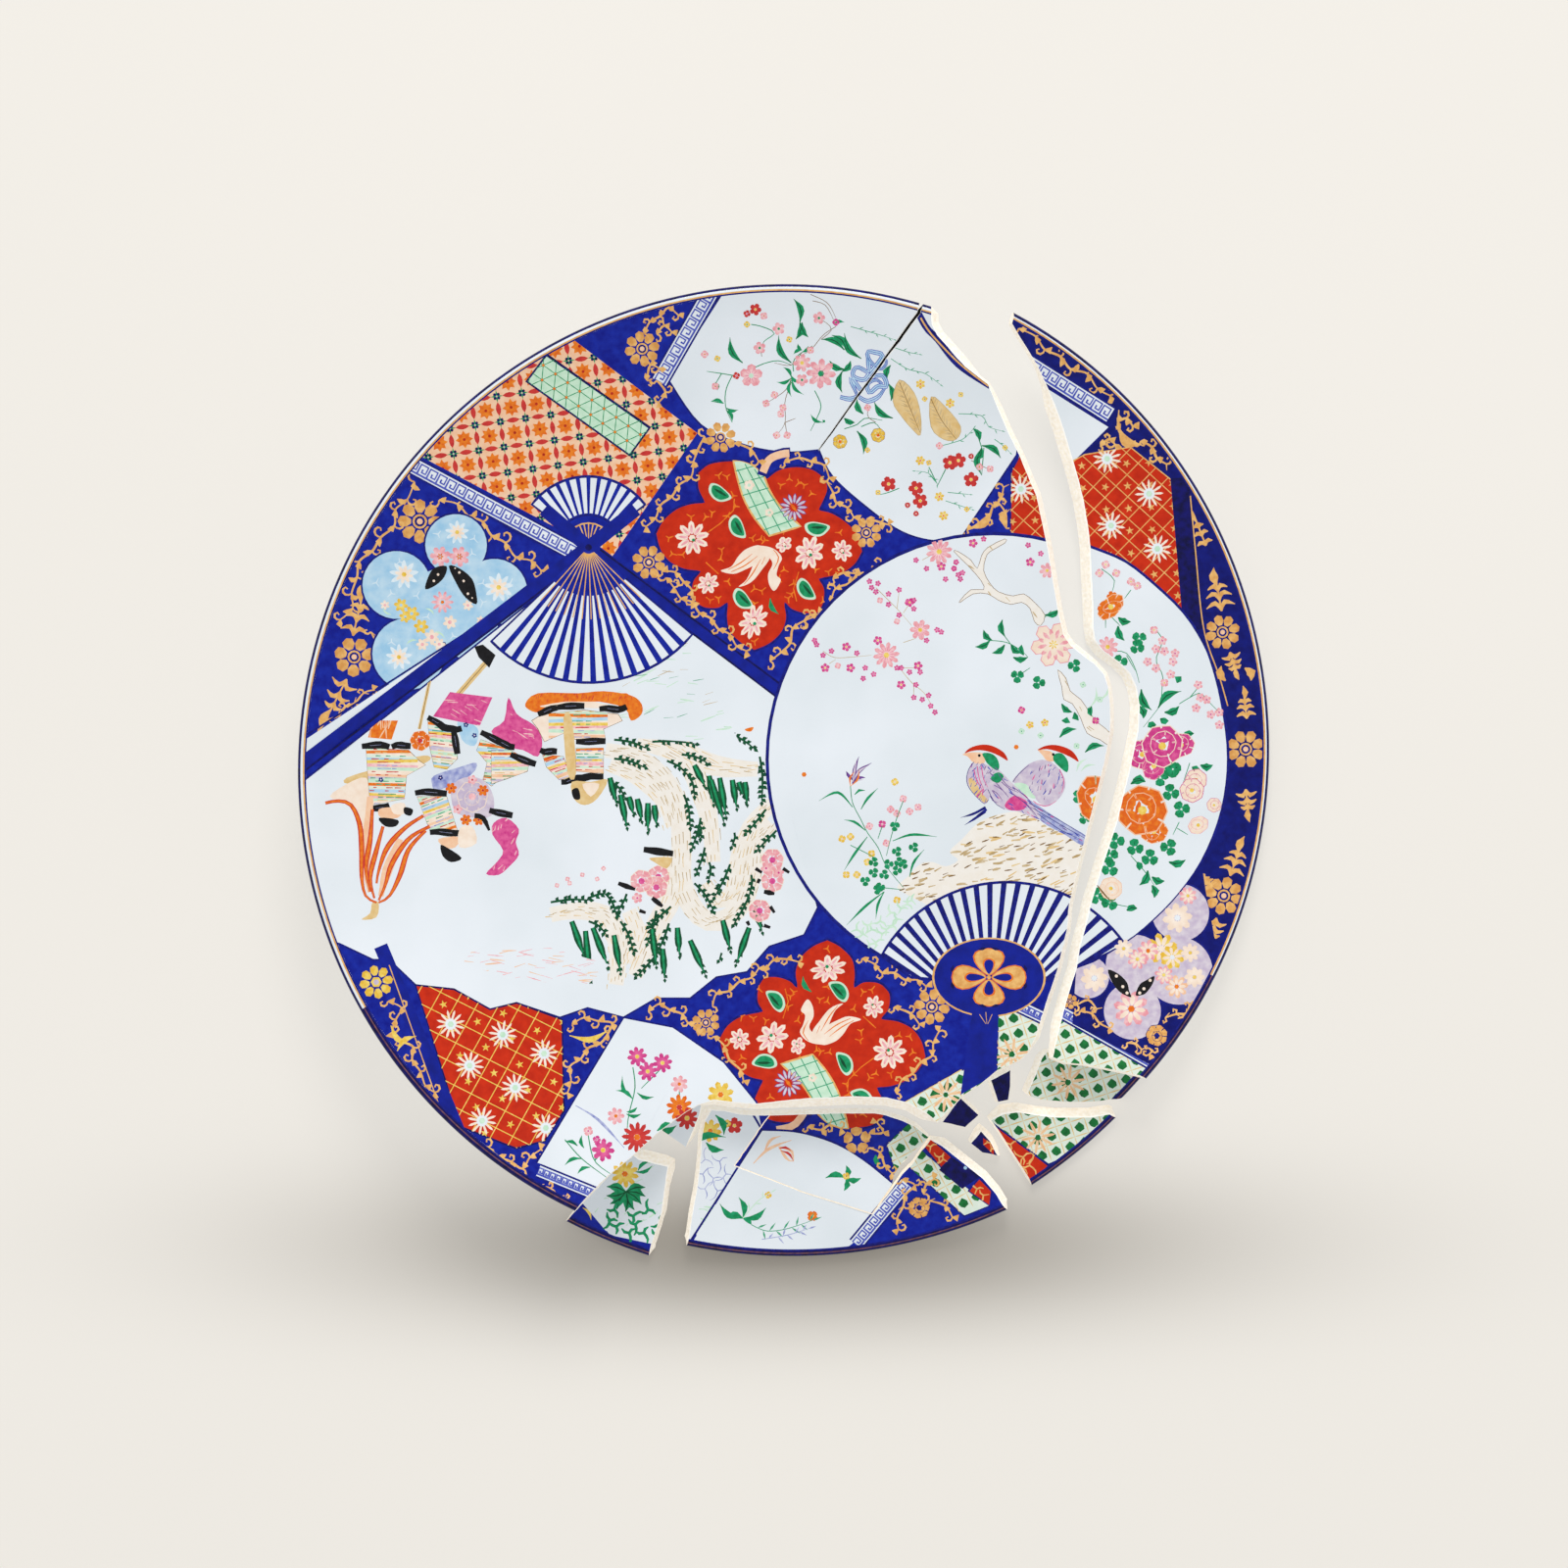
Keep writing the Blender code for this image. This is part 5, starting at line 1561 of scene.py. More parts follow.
def paint_top_panel():
    """Top: pink blossom on green stems, a blue bow, two tan feathers and red flowers, on white."""
    strokes(main, "green", [pts(-24, 187, -30, 188, -37, 189), pts(-30, 188, -33, 183), pts(-25, 187,
        -28, 180, -28, 172, -25, 165), pts(-14, 191, -9, 193, -3, 194, 3, 192), pts(4, 189, 4, 194, 8, 198,
        13, 201), pts(-29, 174, -35, 175), pts(14, 180, 17, 173, 15, 167, 12, 161), pts(-16, 211, -11, 210,
        -5, 207, -10, 203, -11, 199), pts(54, 134, 49, 132, 45, 131), pts(76, 143, 72, 135),
        pts(68, 144, 72, 136), pts(36, 163, 42, 165, 45, 162), pts(28, 162, 34, 164, 38, 167, 46, 166),
        pts(93, 153, 90, 162), pts(94, 153, 93, 140)], 0.45, end=0.6, step=2.0)
    strokes(main, "brown", [pts(12, 225, 20, 221, 24, 214), pts(13, 222, 19, 220, 23, 213), pts(24, 210,
        18, 206, 12, 199, 6, 196), pts(3, 186, 0, 180, -9, 174), pts(3, 184, 0, 175, 0, 165, -4, 159),
        pts(0, 165, 1, 159), pts(0, 165, 5, 167), pts(-11, 196, -12, 202), pts(8, 198, 3, 192, -5, 193),
        pts(17, 204, 22, 209, 16, 214), pts(43, 165, 39, 168, 40, 173), pts(88, 147, 98, 142)], 0.3,
        end=0.6, step=2.0)
    leaves(main, "green", pts(-20, 193, -26, 205, 3, 193, -3, 206, 7, 212, 4, 223, 8, 212, 11, 205, 7, 212,
        5, 204) + pts(28, 199, 17, 204, 29, 199, 22, 206, 36, 195, 28, 207, 28, 190, 21, 194, 27, 189,
        31, 194, 27, 189, 27, 179, 37, 169, 34, 176, 51, 167, 42, 175, 28, 167, 33, 165, 34, 161, 37, 150,
        48, 185, 50, 192, 49, 183, 50, 175, 89, 162, 92, 156, 93, 154, 102, 148, 93, 153, 93, 140, 93, 153,
        90, 147), 3.2, vein="deep_green")
    leaves(main, "green", pts(3, 186, -4, 184, 3, 186, -1, 191, 3, 186, 9, 178, 3, 185, 3, 177, 3, 187,
        7, 184, -28, 172, -22, 171, -28, 171, -25, 165, -29, 174, -35, 175, 8, 199, 6, 202, 8, 199, 4, 197,
        8, 198, 11, 201, 18, 165, 12, 169, 18, 165, 19, 166, 23, 211, 28, 212, -33, 184, -32, 180), 1.7)
    for path in (pts(31, 210, 45, 206, 51, 204), pts(52, 200, 58, 198, 63, 197), pts(50, 195, 58, 190,
            66, 188, 73, 183), pts(82, 169, 93, 168, 96, 163, 102, 161), pts(74, 154, 84, 157, 89, 162),
            pts(99, 157, 103, 154, 106, 151), pts(68, 141, 72, 136, 68, 141, 62, 142),
            pts(77, 132, 87, 131), pts(76, 128, 88, 124)):
        sprig(main, path, spacing=3.2, reach=2.4, width=0.5, enamel="green_line", spread=40, line=0.35)
    posies(main, (("pink", "celadon", 5, 5.5, pts(-16, 187)), ("pink", "green", 8, 7.2, pts(17, 188)),
        ("pink", "yellow", 7, 4.4, pts(8, 193)), ("lens_red", "yellow", 5, 2.9, pts(-14, 218)), ("lens_red",
        "rose", 4, 1.8, pts(-18, 216, -23, 187)), ("pink", "green", 5, 3.0, pts(-12, 200, -3, 209, 16, 214,
        8, 185)), ("pink", "orange", 4, 1.9, pts(-10, 215, -9, 174, -5, 178, -1, 172, -2, 169, -4, 159,
        1, 159, -38, 197, -33, 182, 12, 199)), ("rose", "green", 4, 1.8, pts(24, 212)), ("lens_red",
        "yellow", 5, 3.7, pts(78, 146, 82, 147, 88, 138, 49, 136, 62, 134, 64, 128)), ("lens_red", "orange",
        3, 1.3, pts(58, 126, 88, 149, 62, 122)), ("pink", "orange", 4, 1.8, pts(73, 154, 92, 144, 97, 143,
        39, 172)), ("yellow", "orange", 6, 2.4, pts(64, 183, 78, 174, 64, 147, 73, 130, 75, 121)),
        ("yellow", "brown", 4, 1.4, pts(66, 176, 83, 178, 86, 124, 44, 132, 68, 146, 39, 152, 104, 153)),
        ("yellow", "green", 4, 1.6, pts(-18, 211, 2, 204, -32, 195))))
    for at in pts(26, 156, 44, 159):
        peony(main, at, 3.5, "brown", "yellow", "orange", layers=3)
    petals(main, "rose", (16.5, 188), 4.0, 8, width=0.1, shade=False)
    petals(main, "rose", (-16, 187), 3.4, 10, width=0.14, shade=False)
    for outline, rib in ((pts(54, 185, 61, 179, 64, 169, 64, 159, 60, 162, 55, 168, 51, 175), pts(54, 184,
            59, 172, 64, 160)), (pts(69, 177, 76, 172, 83, 163, 81, 157, 75, 157, 69, 163), pts(69, 176,
            74, 166, 81, 157))):
        field = panel(main, "tan", smooth(outline, 3), line="rock", width=0.3)
        sprig(main, rib, spacing=0.8, reach=4.5, width=0.4, enamel="rock", stem="brown", spread=140,
            line=0.3, within=field)
    bow = [pts(40, 188, 34, 191, 32, 187, 37, 185, 40, 188, 46, 196, 42, 198, 39, 198, 40, 194, 45, 190,
        48, 193, 47, 195), pts(40, 186, 46, 187, 48, 182, 44, 182, 40, 179, 39, 183, 43, 185, 46, 183),
        pts(36, 180, 31, 186, 34, 178), pts(35, 177, 39, 175, 44, 177, 47, 181), pts(26, 177, 31, 176,
        35, 178), pts(40, 188, 39, 197)]
    strokes(main, "fret_blue", bow, 2.4, start=0.8, end=0.6, step=1.5)
    strokes(main, "light_blue", bow, 1.7, start=0.7, end=0.4, step=1.5)
    strokes(main, "fret_blue", bow, 0.3, step=1.5)


def paint_birds(field):
    """Two birds with red crests and lilac plumage, perched on the rock."""
    plumes = filled(main, (("lilac", pts(107.5, -5, 110.5, -1, 115.5, 3.5, 122, 5.5, 128, 3, 132.5, -3.5,
        132, -9.5, 128, -14.5, 123, -16.5, 119, -13.5, 115.5, -7.5, 111.5, -6)), ("celadon", pts(108.5, -6,
        114, -6, 118, -11, 118, -13, 113.5, -11)), ("peach", pts(119.5, 10.5, 123, 10, 126.5, 9, 127.5, 5,
        124, 5, 122, 7.5)), ("green", pts(127.5, 8, 131, 8.5, 134, 4.5, 133.5, -0.5, 129, 3, 127, 5.5)),
        ("iron_red", pts(119.5, 10, 123, 12, 128, 12.5, 133.5, 11, 137, 8.5, 139, 4.5, 135.5, 6.5, 130, 9,
        124, 10.5)), ("wash_blue", pts(113.5, -12.5, 121, -17, 132.5, -24.5, 143, -31, 140.5, -35,
        132.5, -30, 124, -25.5, 119, -21)), ("lilac", pts(89.5, 4.5, 87, 1, 86, -3.5, 87, -7.5, 91, -12.5,
        94.5, -15.5, 97, -12, 96, -6.5, 99, -0.5, 96, 3)), ("tan", pts(87, -3.5, 88, -8.5, 92, -13, 95, -15,
        96, -13.5, 93, -10, 89.5, -4)), ("lilac", pts(96, 2.5, 101, 1, 107.5, -5.5, 115.5, -13, 121, -21.5,
        118.5, -22.5, 110.5, -19, 104, -18, 99.5, -15, 96, -8.5)), ("rose", pts(104, -16, 108.5, -11.5,
        114.5, -14.5, 113, -18, 107, -18.5)), ("green", pts(97.5, -4, 98.5, -1.5, 101.5, -0.5, 103.5, -2.5,
        101, -5.5)), ("peach", pts(84, 8, 88, 9, 93.5, 8.5, 94.5, 4, 89.5, 4, 86.5, 7)), ("green",
        pts(93.5, 8.5, 97.5, 8.5, 100.5, 6, 101.5, 2, 100, 0.5, 96, 3.5, 94.5, 6)), ("iron_red",
        pts(85, 8.5, 87.5, 11, 92, 12.5, 96.5, 12.5, 100.5, 11, 104, 8.5, 105.5, 5, 102, 7, 97.5, 9,
        92.5, 10, 88, 9.5))), field)
    strokes(main, "blue_line", [pts(95, -17, 89.5, -20, 83, -22), pts(95, -19, 90.5, -22, 85, -25.5),
        pts(95.5, -18, 91.5, -21, 88, -24)], 1.2, end=0.1, step=1.5, within=field)
    ruff = main.paint("lilac", circle((123.5, -5), 8.6, 16), field)
    for number, lean in ((plumes[6], 60), (plumes[8], -40), (plumes[5], -32)):
        hatched(main, "fret_blue", number, count=26, reach=3.4, angle=lean, width=0.6)
        hatched(main, "purple", number, count=18, reach=3.0, angle=lean)
        hatched(main, "rose", number, count=10, reach=3.0, angle=lean, width=0.6)
    hatched(main, "fret_blue", ruff, count=26, reach=3.2, angle=60, width=0.6)
    hatched(main, "purple", ruff, count=16, reach=2.8, angle=70)
    hatched(main, "rose", ruff, count=8, reach=2.8, angle=70, width=0.6)
    strokes(main, "rose", [pts(91, 2.5, 92, -3.5, 94.5, -9.5), pts(93, 2.5, 94, -3.5, 96, -7.5),
        pts(89.5, 1, 90.5, -3.5, 93.5, -9), pts(117.5, -14, 119.5, -15.5, 124, -16.5, 128.5, -14),
        pts(130, 1, 132, -4.5, 131, -10)], 0.4, end=0.5, step=2.0, within=field)
    strokes(main, "blue_line", [pts(89.5, 4.5, 87, 1, 86, -3.5, 87, -7.5, 91, -12.5, 94.5, -15.5),
        pts(115.5, -15, 128, -22, 142, -30.5), pts(119.5, -20, 130, -27.5, 140.5, -32.5), pts(117.5, -17.5,
        130, -25, 142.5, -32), pts(96, -8.5, 99.5, -15, 104, -18), pts(108, -5, 110.5, -1.5, 115.5, 3)],
        0.3, end=0.6, step=2.0, within=field)
    strokes(main, "purple", [pts(101, -1, 105, -6.5, 109, -8.5), pts(99, -6.5, 102.5, -8.5, 105, -11),
        pts(98.5, -9, 101, -11, 103, -14), pts(102.5, -5, 106, -8, 110.5, -10), pts(108, -7.5, 114.5, -12.5,
        119.5, -19), pts(107, -10, 113.5, -15, 118, -20.5), pts(97, -11.5, 98.5, -14, 101, -15),
        pts(113.5, -14.5, 117.5, -19, 119.5, -22), pts(100, -5.5, 104, -10, 106, -12.5)], 0.35, end=0.4,
        step=2.0, within=field)
    dots(main, "black", [(92, 7.5), (127, 8)], 0.75, field)


def paint_roundel():
    """The roundel: birds on a tan rock, a blossoming tree, and plants in flower at either side."""
    field = panel(main, "glaze", circle(ROUNDEL, ROUNDEL_RADIUS, 72), width=1.6)
    stone = main.paint("sand", smooth(pts(53, -55, 58, -50, 64, -44, 70, -43, 76, -45, 82, -42, 78, -38,
        84, -32, 92, -24, 103, -20, 113, -19) + pts(118.5, -22, 124, -26, 132.5, -30, 141.5, -35,
        140.5, -46.5, 136.5, -63) + pts(108, -69, 76, -67, 65, -62, 59, -59), 3), field)
    hatched(main, "tan", stone, count=60, reach=6.5, angle=12, width=1.3)
    hatched(main, "rock", stone, count=180, reach=5.0, angle=15, width=1.3)
    hatched(main, "brown", stone, count=150, reach=3.8, angle=18, width=0.7)
    tree = (("sand", pts(80, 104, 82, 104, 88, 100, 91, 96, 93, 102, 96, 106, 104, 110, 104, 108, 97, 104,
        95, 101, 94, 95, 97, 89, 101, 85, 108, 83, 113, 84, 118, 80, 123, 74, 121, 69, 118, 71, 116, 77,
        112, 80, 107, 79, 101, 81, 96, 84, 89, 84, 83, 80, 83, 81, 88, 86, 94, 86, 93, 90, 87, 97)),
        ("sand", pts(129, 48, 133, 44, 135, 38, 140, 34, 144, 28, 148, 23, 154, 18, 154, 12, 149, 15,
        143, 18, 140, 25, 136, 32, 132, 34, 131, 40)))
    for enamel, outline in tree:
        bough = panel(main, enamel, smooth(outline, 2), line="brown", width=0.25, within=field)
        hatched(main, "rock", bough, count=40, reach=4.0, angle=-45, width=0.7)
    strokes(main, "rock", [pts(43, 87, 48, 82, 54, 76, 60, 69), pts(53, 77, 54, 85), pts(18, 57, 23, 54,
        30, 54, 41, 55), pts(21, 51, 24, 53), pts(55, 48, 60, 42, 66, 37, 70, 30), pts(61, 42, 61, 36),
        pts(56, 61, 62, 63), pts(56, 49, 63, 49), pts(56, 75, 60, 81), pts(65, 100, 72, 104),
        pts(74, 97, 73, 101)], 0.3, end=0.6, step=2.0)
    posies(main, (("rose", "rose", 5, 1.5, pts(40, 90, 44, 89, 41, 87, 43, 85, 49, 84, 49, 79, 54, 86,
        58, 80, 61, 81, 61, 77, 54, 74, 72, 67, 74, 66, 67, 62, 14, 62, 15, 60, 22, 57, 18, 55, 34, 56,
        38, 49, 42, 46, 37, 44, 53, 49, 55, 49, 59, 47, 64, 47, 62, 41, 61, 35, 65, 34, 68, 36, 69, 31,
        71, 28, 62, 100, 67, 96, 80, 96, 76, 91, 83, 91, 82, 93, 81, 99) + pts(121, 103, 115, 107, 80, 96,
        81, 99, 84, 94, 94, 110)), ("rose", "yellow", 5, 2.3, pts(44, 62, 29, 59, 19, 49, 31, 49, 63, 50,
        55, 41, 74, 97, 59, 80) + pts(89, 108, 116, 99)), ("pink", "pink", 4, 1.6, pts(45, 81, 53, 71,
        25, 50)), ("pink", "yellow", 10, 6.4, pts(48, 55, 73, 104)), ("pink", "yellow", 7, 5.0,
        pts(64, 67)), ("pink", "yellow", 7, 3.8, pts(124, 95)), ("rose", "orange", 4, 1.9,
        pts(112, 29, 147, 24)), ("yellow", "orange", 5, 2.0, pts(116, 22, 123, 23)), ("celadon", "green", 4,
        1.6, pts(112, 19, 121, 17, 141, 41, 149, 34, 138, 12)), ("yellow", "peach", 4, 1.9, pts(27, -32,
        31, -31, 41, -39, 39, -43, 29, -49, 34, -49, 53, -61, 52, -5)), ("pink", "rose", 4, 1.9,
        pts(56, -13, 50, -18, 53, -20, 59, -19, 63, -17, 40, -26, 48, -34)), ("rose", "pink", 4, 2.0,
        pts(46, -25))), field)
    for at, reach in (((48, 55.5), 4.6), ((72.5, 104), 4.6), ((64, 66.5), 3.6), ((124, 95), 2.8)):
        petals(main, "rose", at, reach, 14, width=0.14, within=field, shade=False)
    flower = (127, 60)
    for enamel, reach, count, width, turn in (("pink", 11.0, 6, 1.1, 10), ("cream", 10.6, 6, 1.0, 10),
            ("pink", 7.6, 12, 0.9, 10), ("cream", 5.4, 6, 0.95, 35), ("yellow", 2.4, 7, 0.6, 0)):
        petals(main, enamel, flower, reach, count, hub=0.05, width=width, point=-0.25, turn=turn,
            within=field)
    strokes(main, "green", [pts(97, 62, 105, 61, 112, 57, 115, 54), pts(104, 64, 107, 60),
        pts(123, 73, 126, 76), pts(110, 45, 116, 49), pts(31, -7, 32, -15, 36, -23, 39, -29, 44, -36,
        48, -45, 56, -55), pts(56, -14, 53, -22, 50, -32, 48, -40), pts(46, -26, 44, -32), pts(31, -35,
        39, -39, 44, -42), pts(45, -55, 55, -56)], 0.4, end=0.7, step=2.0, within=field)
    leaves(main, "green", pts(104, 64, 103, 72, 98, 62, 94, 67, 97, 62, 90, 59, 104, 60, 98, 56, 107, 60,
        112, 56, 113, 55, 112, 60, 108, 54, 115, 54, 123, 74, 130, 77, 131, 32, 136, 28, 137, 28, 139, 24,
        131, 24, 135, 23, 130, 16, 138, 20, 145, 31, 145, 26, 142, 9, 151, 12), 3.2, within=field,
        vein="deep_green")
    strokes(main, "green", [pts(32, -17, 25, -10, 16, -14), pts(36, -18, 39, -13, 44, -8), pts(38, -28,
        33, -24, 28, -23), pts(39, -31, 33, -39, 28, -47), pts(47, -57, 38, -64, 29, -73), pts(47, -57,
        44, -63, 43, -70), pts(51, -33, 60, -30, 72, -31), pts(59, -50, 61, -43, 66, -37), pts(33, -11,
        35, -9, 38, -9)], 1.3, start=0.3, end=0.1, step=2.0, within=field)
    clovers(main, pts(110, 45, 120, 42, 137, 50, 146, -5, 139, -12, 142, -22, 149, -16), 3.3, within=field)
    clovers(main, pts(49, -44, 54, -43, 56, -44, 53, -47, 53, -38, 61, -36, 42, -48, 38, -52, 45, -55,
        47, -49, 42, -43, 52, -26, 44, -56), 2.5, within=field)
    strokes(main, "purple", [pts(32, -6, 33, 1, 35, 7), pts(32, -6, 35, 0, 41, 4),
        pts(32, -4, 30, -2, 29, 0), pts(32, -5, 35, -3, 38, -3)], 1.9, start=0.3, end=0.1, step=1.5,
        within=field)
    strokes(main, "lilac", [pts(32, -5, 33, 1, 34, 6), pts(32, -5, 35, 0, 40, 3), pts(33, -5, 35, -4,
        37, -4)], 1.0, start=0.3, end=0.1, step=1.5, within=field)
    leaves(main, "orange", pts(31, -7, 33, 0, 31, -7, 35, 1), 1.0, within=field)
    dots(main, "orange", [(9, -1.5), (109.5, 11.5)], 1.2, field)
    scribble(main, "celadon", pts(45, -71, 41, -75, 37, -77, 50, -67, 55, -65, 43, -81, 39, -73, 48, -75,
        58, -63, 60, -61, 46, -77, 34, -75, 40, -82, 53, -70, 51, -73), reach=4.2, width=1.0, within=field)
    peony(main, (147.5, -13.5), 9.5, "peach", "orange", "yellow", layers=3, squash=1.3, within=field)
    leaves(main, "celadon", pts(144, 30, 147, 40, 140, 0, 147, 3, 138, 0, 143, 6, 149, 34, 153, 40), 1.2,
        within=field)
    paint_birds(field)


PATCHES = ("celadon", "orange", "mint", "light_blue", "yellow", "pink", "celadon", "cream", "peach", "lilac")


def robe(outline, start, end, within, bands=()):
    """A patchwork robe: stripes of many colours broken by short dabs, and black bands with a light edge."""
    cloth = panel(main, "cream", outline, line="brown", width=0.3, within=within)
    length = math.dist(start, end)
    angle = math.degrees(math.atan2(end[1] - start[1], end[0] - start[0]))
    for k in range(round(length / 1.5)):
        middle = polar(start, 1.5 * (k + 0.5), angle)
        ends = [polar(middle, 14, angle + 90 + hand.uniform(-6, 6)), polar(middle, 14, angle - 90)]
        bar(main, PATCHES[k % len(PATCHES)], *ends, hand.uniform(1.1, 1.8), cloth)
        dabs = [[polar(middle, reach, angle + 90), polar(middle, reach + hand.uniform(1.5, 4), angle + 90)]
            for reach in (hand.uniform(-9, -4), hand.uniform(-3, 0), hand.uniform(1, 6))]
        strokes(main, hand.choice(("lens_red", "green_line", "tan", "wash_blue")), dabs, 0.7, start=0.8,
            end=0.5, step=5.0, within=cloth)
    for band in bands:
        tape = [tuple(np.add(p, (0, hand.uniform(-0.6, 0.6)))) for p in smooth(band, 3, closed=False)]
        strokes(main, "black", [tape], 3.6, start=0.7, end=0.8, step=2.0, within=within)
        strokes(main, "wash_blue", [tape[1:3]], 0.35, start=0.3, end=0.3, step=4.0, within=within)


def paint_figures(field):
    """Small robed figures at play with flowers and cloths. They have no faces to know them by."""
    strokes(main, "tan", [pts(-168, 43, -173, 20)], 1.5, step=9, within=field)
    strokes(main, "tan", [pts(-141, 52, -155, 36)], 2.6, step=9, within=field)
    strokes(main, "brown", [pts(-168, 43, -173, 20), pts(-141, 52, -155, 36)], 0.3, step=9, within=field)
    cloths = (("tan", pts(-207, -3, -191, 2, -174, 7, -168, 7, -170, 4, -188, -3, -206, -6)), ("wash_blue",
        pts(-166, -2, -154, 2, -146, 4, -149, -2, -164, -9, -167, -6)), ("light_blue", pts(-155, 25,
        -149, 23, -145, 19, -147, 12, -153, 15)), ("lilac", pts(-158, -8, -152, -3, -143, -4, -138, -12,
        -139, -21, -147, -22, -156, -19)), ("cream", pts(-215, -12, -207, -6, -198, -3, -196, -12,
        -197, -25, -199, -37, -201, -21, -207, -15)), ("rose", pts(-131, 35, -127, 27, -119, 22, -115, 15,
        -117, 7, -124, 10, -133, 12, -139, 19, -133, 24)), ("orange", pts(-123, 32, -117, 37, -98, 37,
        -86, 38, -73, 36, -68, 32, -68, 27, -73, 24, -76, 30, -88, 33, -96, 34, -108, 32, -116, 28,
        -121, 29)), ("cream", pts(-116, 31, -95, 34, -87, 32, -76, 30, -95, 30, -108, 30)))
    filled(main, cloths, field)
    main.paint("black", pts(-147, 59, -143, 60, -137, 55, -140, 49, -145, 54), field)
    striped = main.paint("orange", pts(-195, 24, -183, 24, -186, 15, -197, 16), field)
    hatched(main, "peach", striped, count=12, reach=7.0, angle=75, width=0.7)
    frill = main.paint("rose", smooth(pts(-141.5, -48.5, -136.5, -43, -133.5, -37.5, -138.5, -30,
        -138, -24.5, -132, -22, -126, -27.5, -127.5, -33.5, -126, -39.5, -130.5, -45, -135.5, -49), 3),
        field)
    hatched(main, "pink", frill, count=22, reach=4.0, angle=60, width=0.7)
    for outline, start, end, bands in ((pts(-198, 11, -178, 10, -173, 5, -170, 3, -179, -2, -180, -13,
            -196, -16, -197, -4), (-187.5, 11), (-188, -16), [pts(-200, 12, -187, 12),
            pts(-186, 12, -177, 12), pts(-196, -18, -187, -16)]), (pts(-169, 24, -156, 20, -155, 6, -160, 1,
            -166, 2, -168, 11), (-160.5, 24), (-163, 1), [pts(-169, 25, -161, 21, -153, 20),
            pts(-157, 20, -155, 8)]), (pts(-174, -12, -160, -12, -155, -28, -168, -28), (-167, -11),
            (-160.5, -28.5), [pts(-175, -10, -160, -10), pts(-168, -29, -153, -29)]), (pts(-144, 15,
            -130, 10, -130, 0, -139, -7, -143, -4, -141, 4, -146, 10), (-136, 14.5), (-138, -7),
            [pts(-144, 18, -130, 12), pts(-140, -18, -129, -21)]), (pts(-120, 24, -115, 27, -95, 29,
            -79, 27, -77, 24, -86, 20, -85, 15, -99, 15, -105, 18, -114, 14, -117, 20), (-98, 29),
            (-98, 14.5), [pts(-117, 27, -108, 30), pts(-108, 30, -95, 31), pts(-88, 29, -75, 30)]),
            (pts(-115, 8, -105, 7, -101, -3, -107, -4, -113, 2), (-110.5, 9.5), (-105.5, -5),
            [pts(-116, 10, -108, 9)]), (pts(-99, 11, -86, 11, -86, -1, -99, 0), (-92.5, 12), (-92.5, -2),
            [pts(-99, 14, -85, 14), pts(-106, -5, -96, -3, -86, -2)]), (pts(-139, 10, -130, 10, -121, 5,
            -122, 0, -133, -4, -139, -6), (-133, 10.5), (-133, -4), [pts(-137, 15, -128, 11),
            pts(-130, 8, -118, 3)])):
        robe(outline, start, end, field, bands)
    filled(main, (("tan", pts(-105, 25, -101, 25, -99, -1, -103, -1)), ("tan", pts(-101, -5, -92, -5,
        -84, -4, -89, -13, -95, -16, -100, -13)), ("cream", pts(-96, -6, -88, -6, -92, -12)), ("black",
        pts(-101, -9, -98, -8, -97, -13, -100, -13)), ("peach", pts(-192, -18, -186, -17, -181, -18,
        -183, -22, -191, -22)), ("cream", pts(-186, -16, -180, -15, -180, -20, -185, -20)), ("black",
        pts(-192, -22, -183, -23, -184, -26, -189, -26)), ("black", pts(-180, -17, -176, -18, -177, -21,
        -180, -20)), ("peach", pts(-164, -32, -154, -31, -156, -36, -161, -36)), ("cream", pts(-154, -27,
        -148, -26, -146, -34, -154, -36)), ("black", pts(-163, -35, -160, -36, -153, -41, -158, -43,
        -162, -40)), ("tan", pts(-195, -62, -192, -62, -193, -69, -200, -70, -196, -67))), field)
    strokes(main, "peach", [pts(-196, -12, -197, -27, -198, -45, -196, -57), pts(-182, -32, -188, -47,
        -191, -59)], 5.0, start=0.6, end=0.5, step=4.0, within=field)
    ribbons = [pts(-217, -15, -211, -14, -205, -16, -201, -25, -200, -37, -200, -50, -198, -59, -193, -62),
        pts(-195, -18, -196, -32, -198, -45, -196, -57), pts(-190, -26, -193, -37, -196, -50, -194, -60),
        pts(-171, -21, -180, -27, -188, -36, -192, -47, -193, -53), pts(-168, -26, -178, -32, -186, -44,
        -189, -54, -192, -61), pts(-170, -28, -178, -37, -182, -49, -187, -59, -192, -62)]
    strokes(main, "lens_red", ribbons, 2.6, start=0.6, end=0.4, within=field)
    strokes(main, "orange", ribbons, 1.5, start=0.5, end=0.3, within=field)
    hatched(main, "lens_red", main.paint("orange", pts(-122, 32, -116, 37, -75, 37, -68, 32, -78, 33,
        -116, 33), field), count=40, reach=2.5, angle=80, width=0.6)
    for cloth in (pts(-158.5, 37.5, -138.5, 35, -144.5, 21.5, -166.5, 26), pts(-129, 29, -120, 21, -117, 8,
            -127, 12, -134, 20)):
        hatched(main, "pink", main.paint("rose", cloth, field), count=14, reach=6.0, angle=-20, width=0.6)
    peony(main, (-172.5, 14.5), 5.0, "peach", "orange", "lens_red", layers=3, within=field)
    peony(main, (-148, -12), 7.6, "cream", "lilac", "pink", layers=3, within=field)
    posies(main, (("orange", "red_line", 6, 2.8, pts(-158, -8, -143, -9, -151, -23, -145, -23)), ("pink",
        "lens_red", 5, 2.4, pts(-148, -4, -155, -18)), ("blue_line", "cream", 5, 1.3, pts(-151, 22,
        -147, 17, -191, -4, -163, -3))), field)
    strokes(main, "black", [pts(-147, -21, -143, -22, -140, -28)], 2.4, end=0.5, step=2.0, within=field)


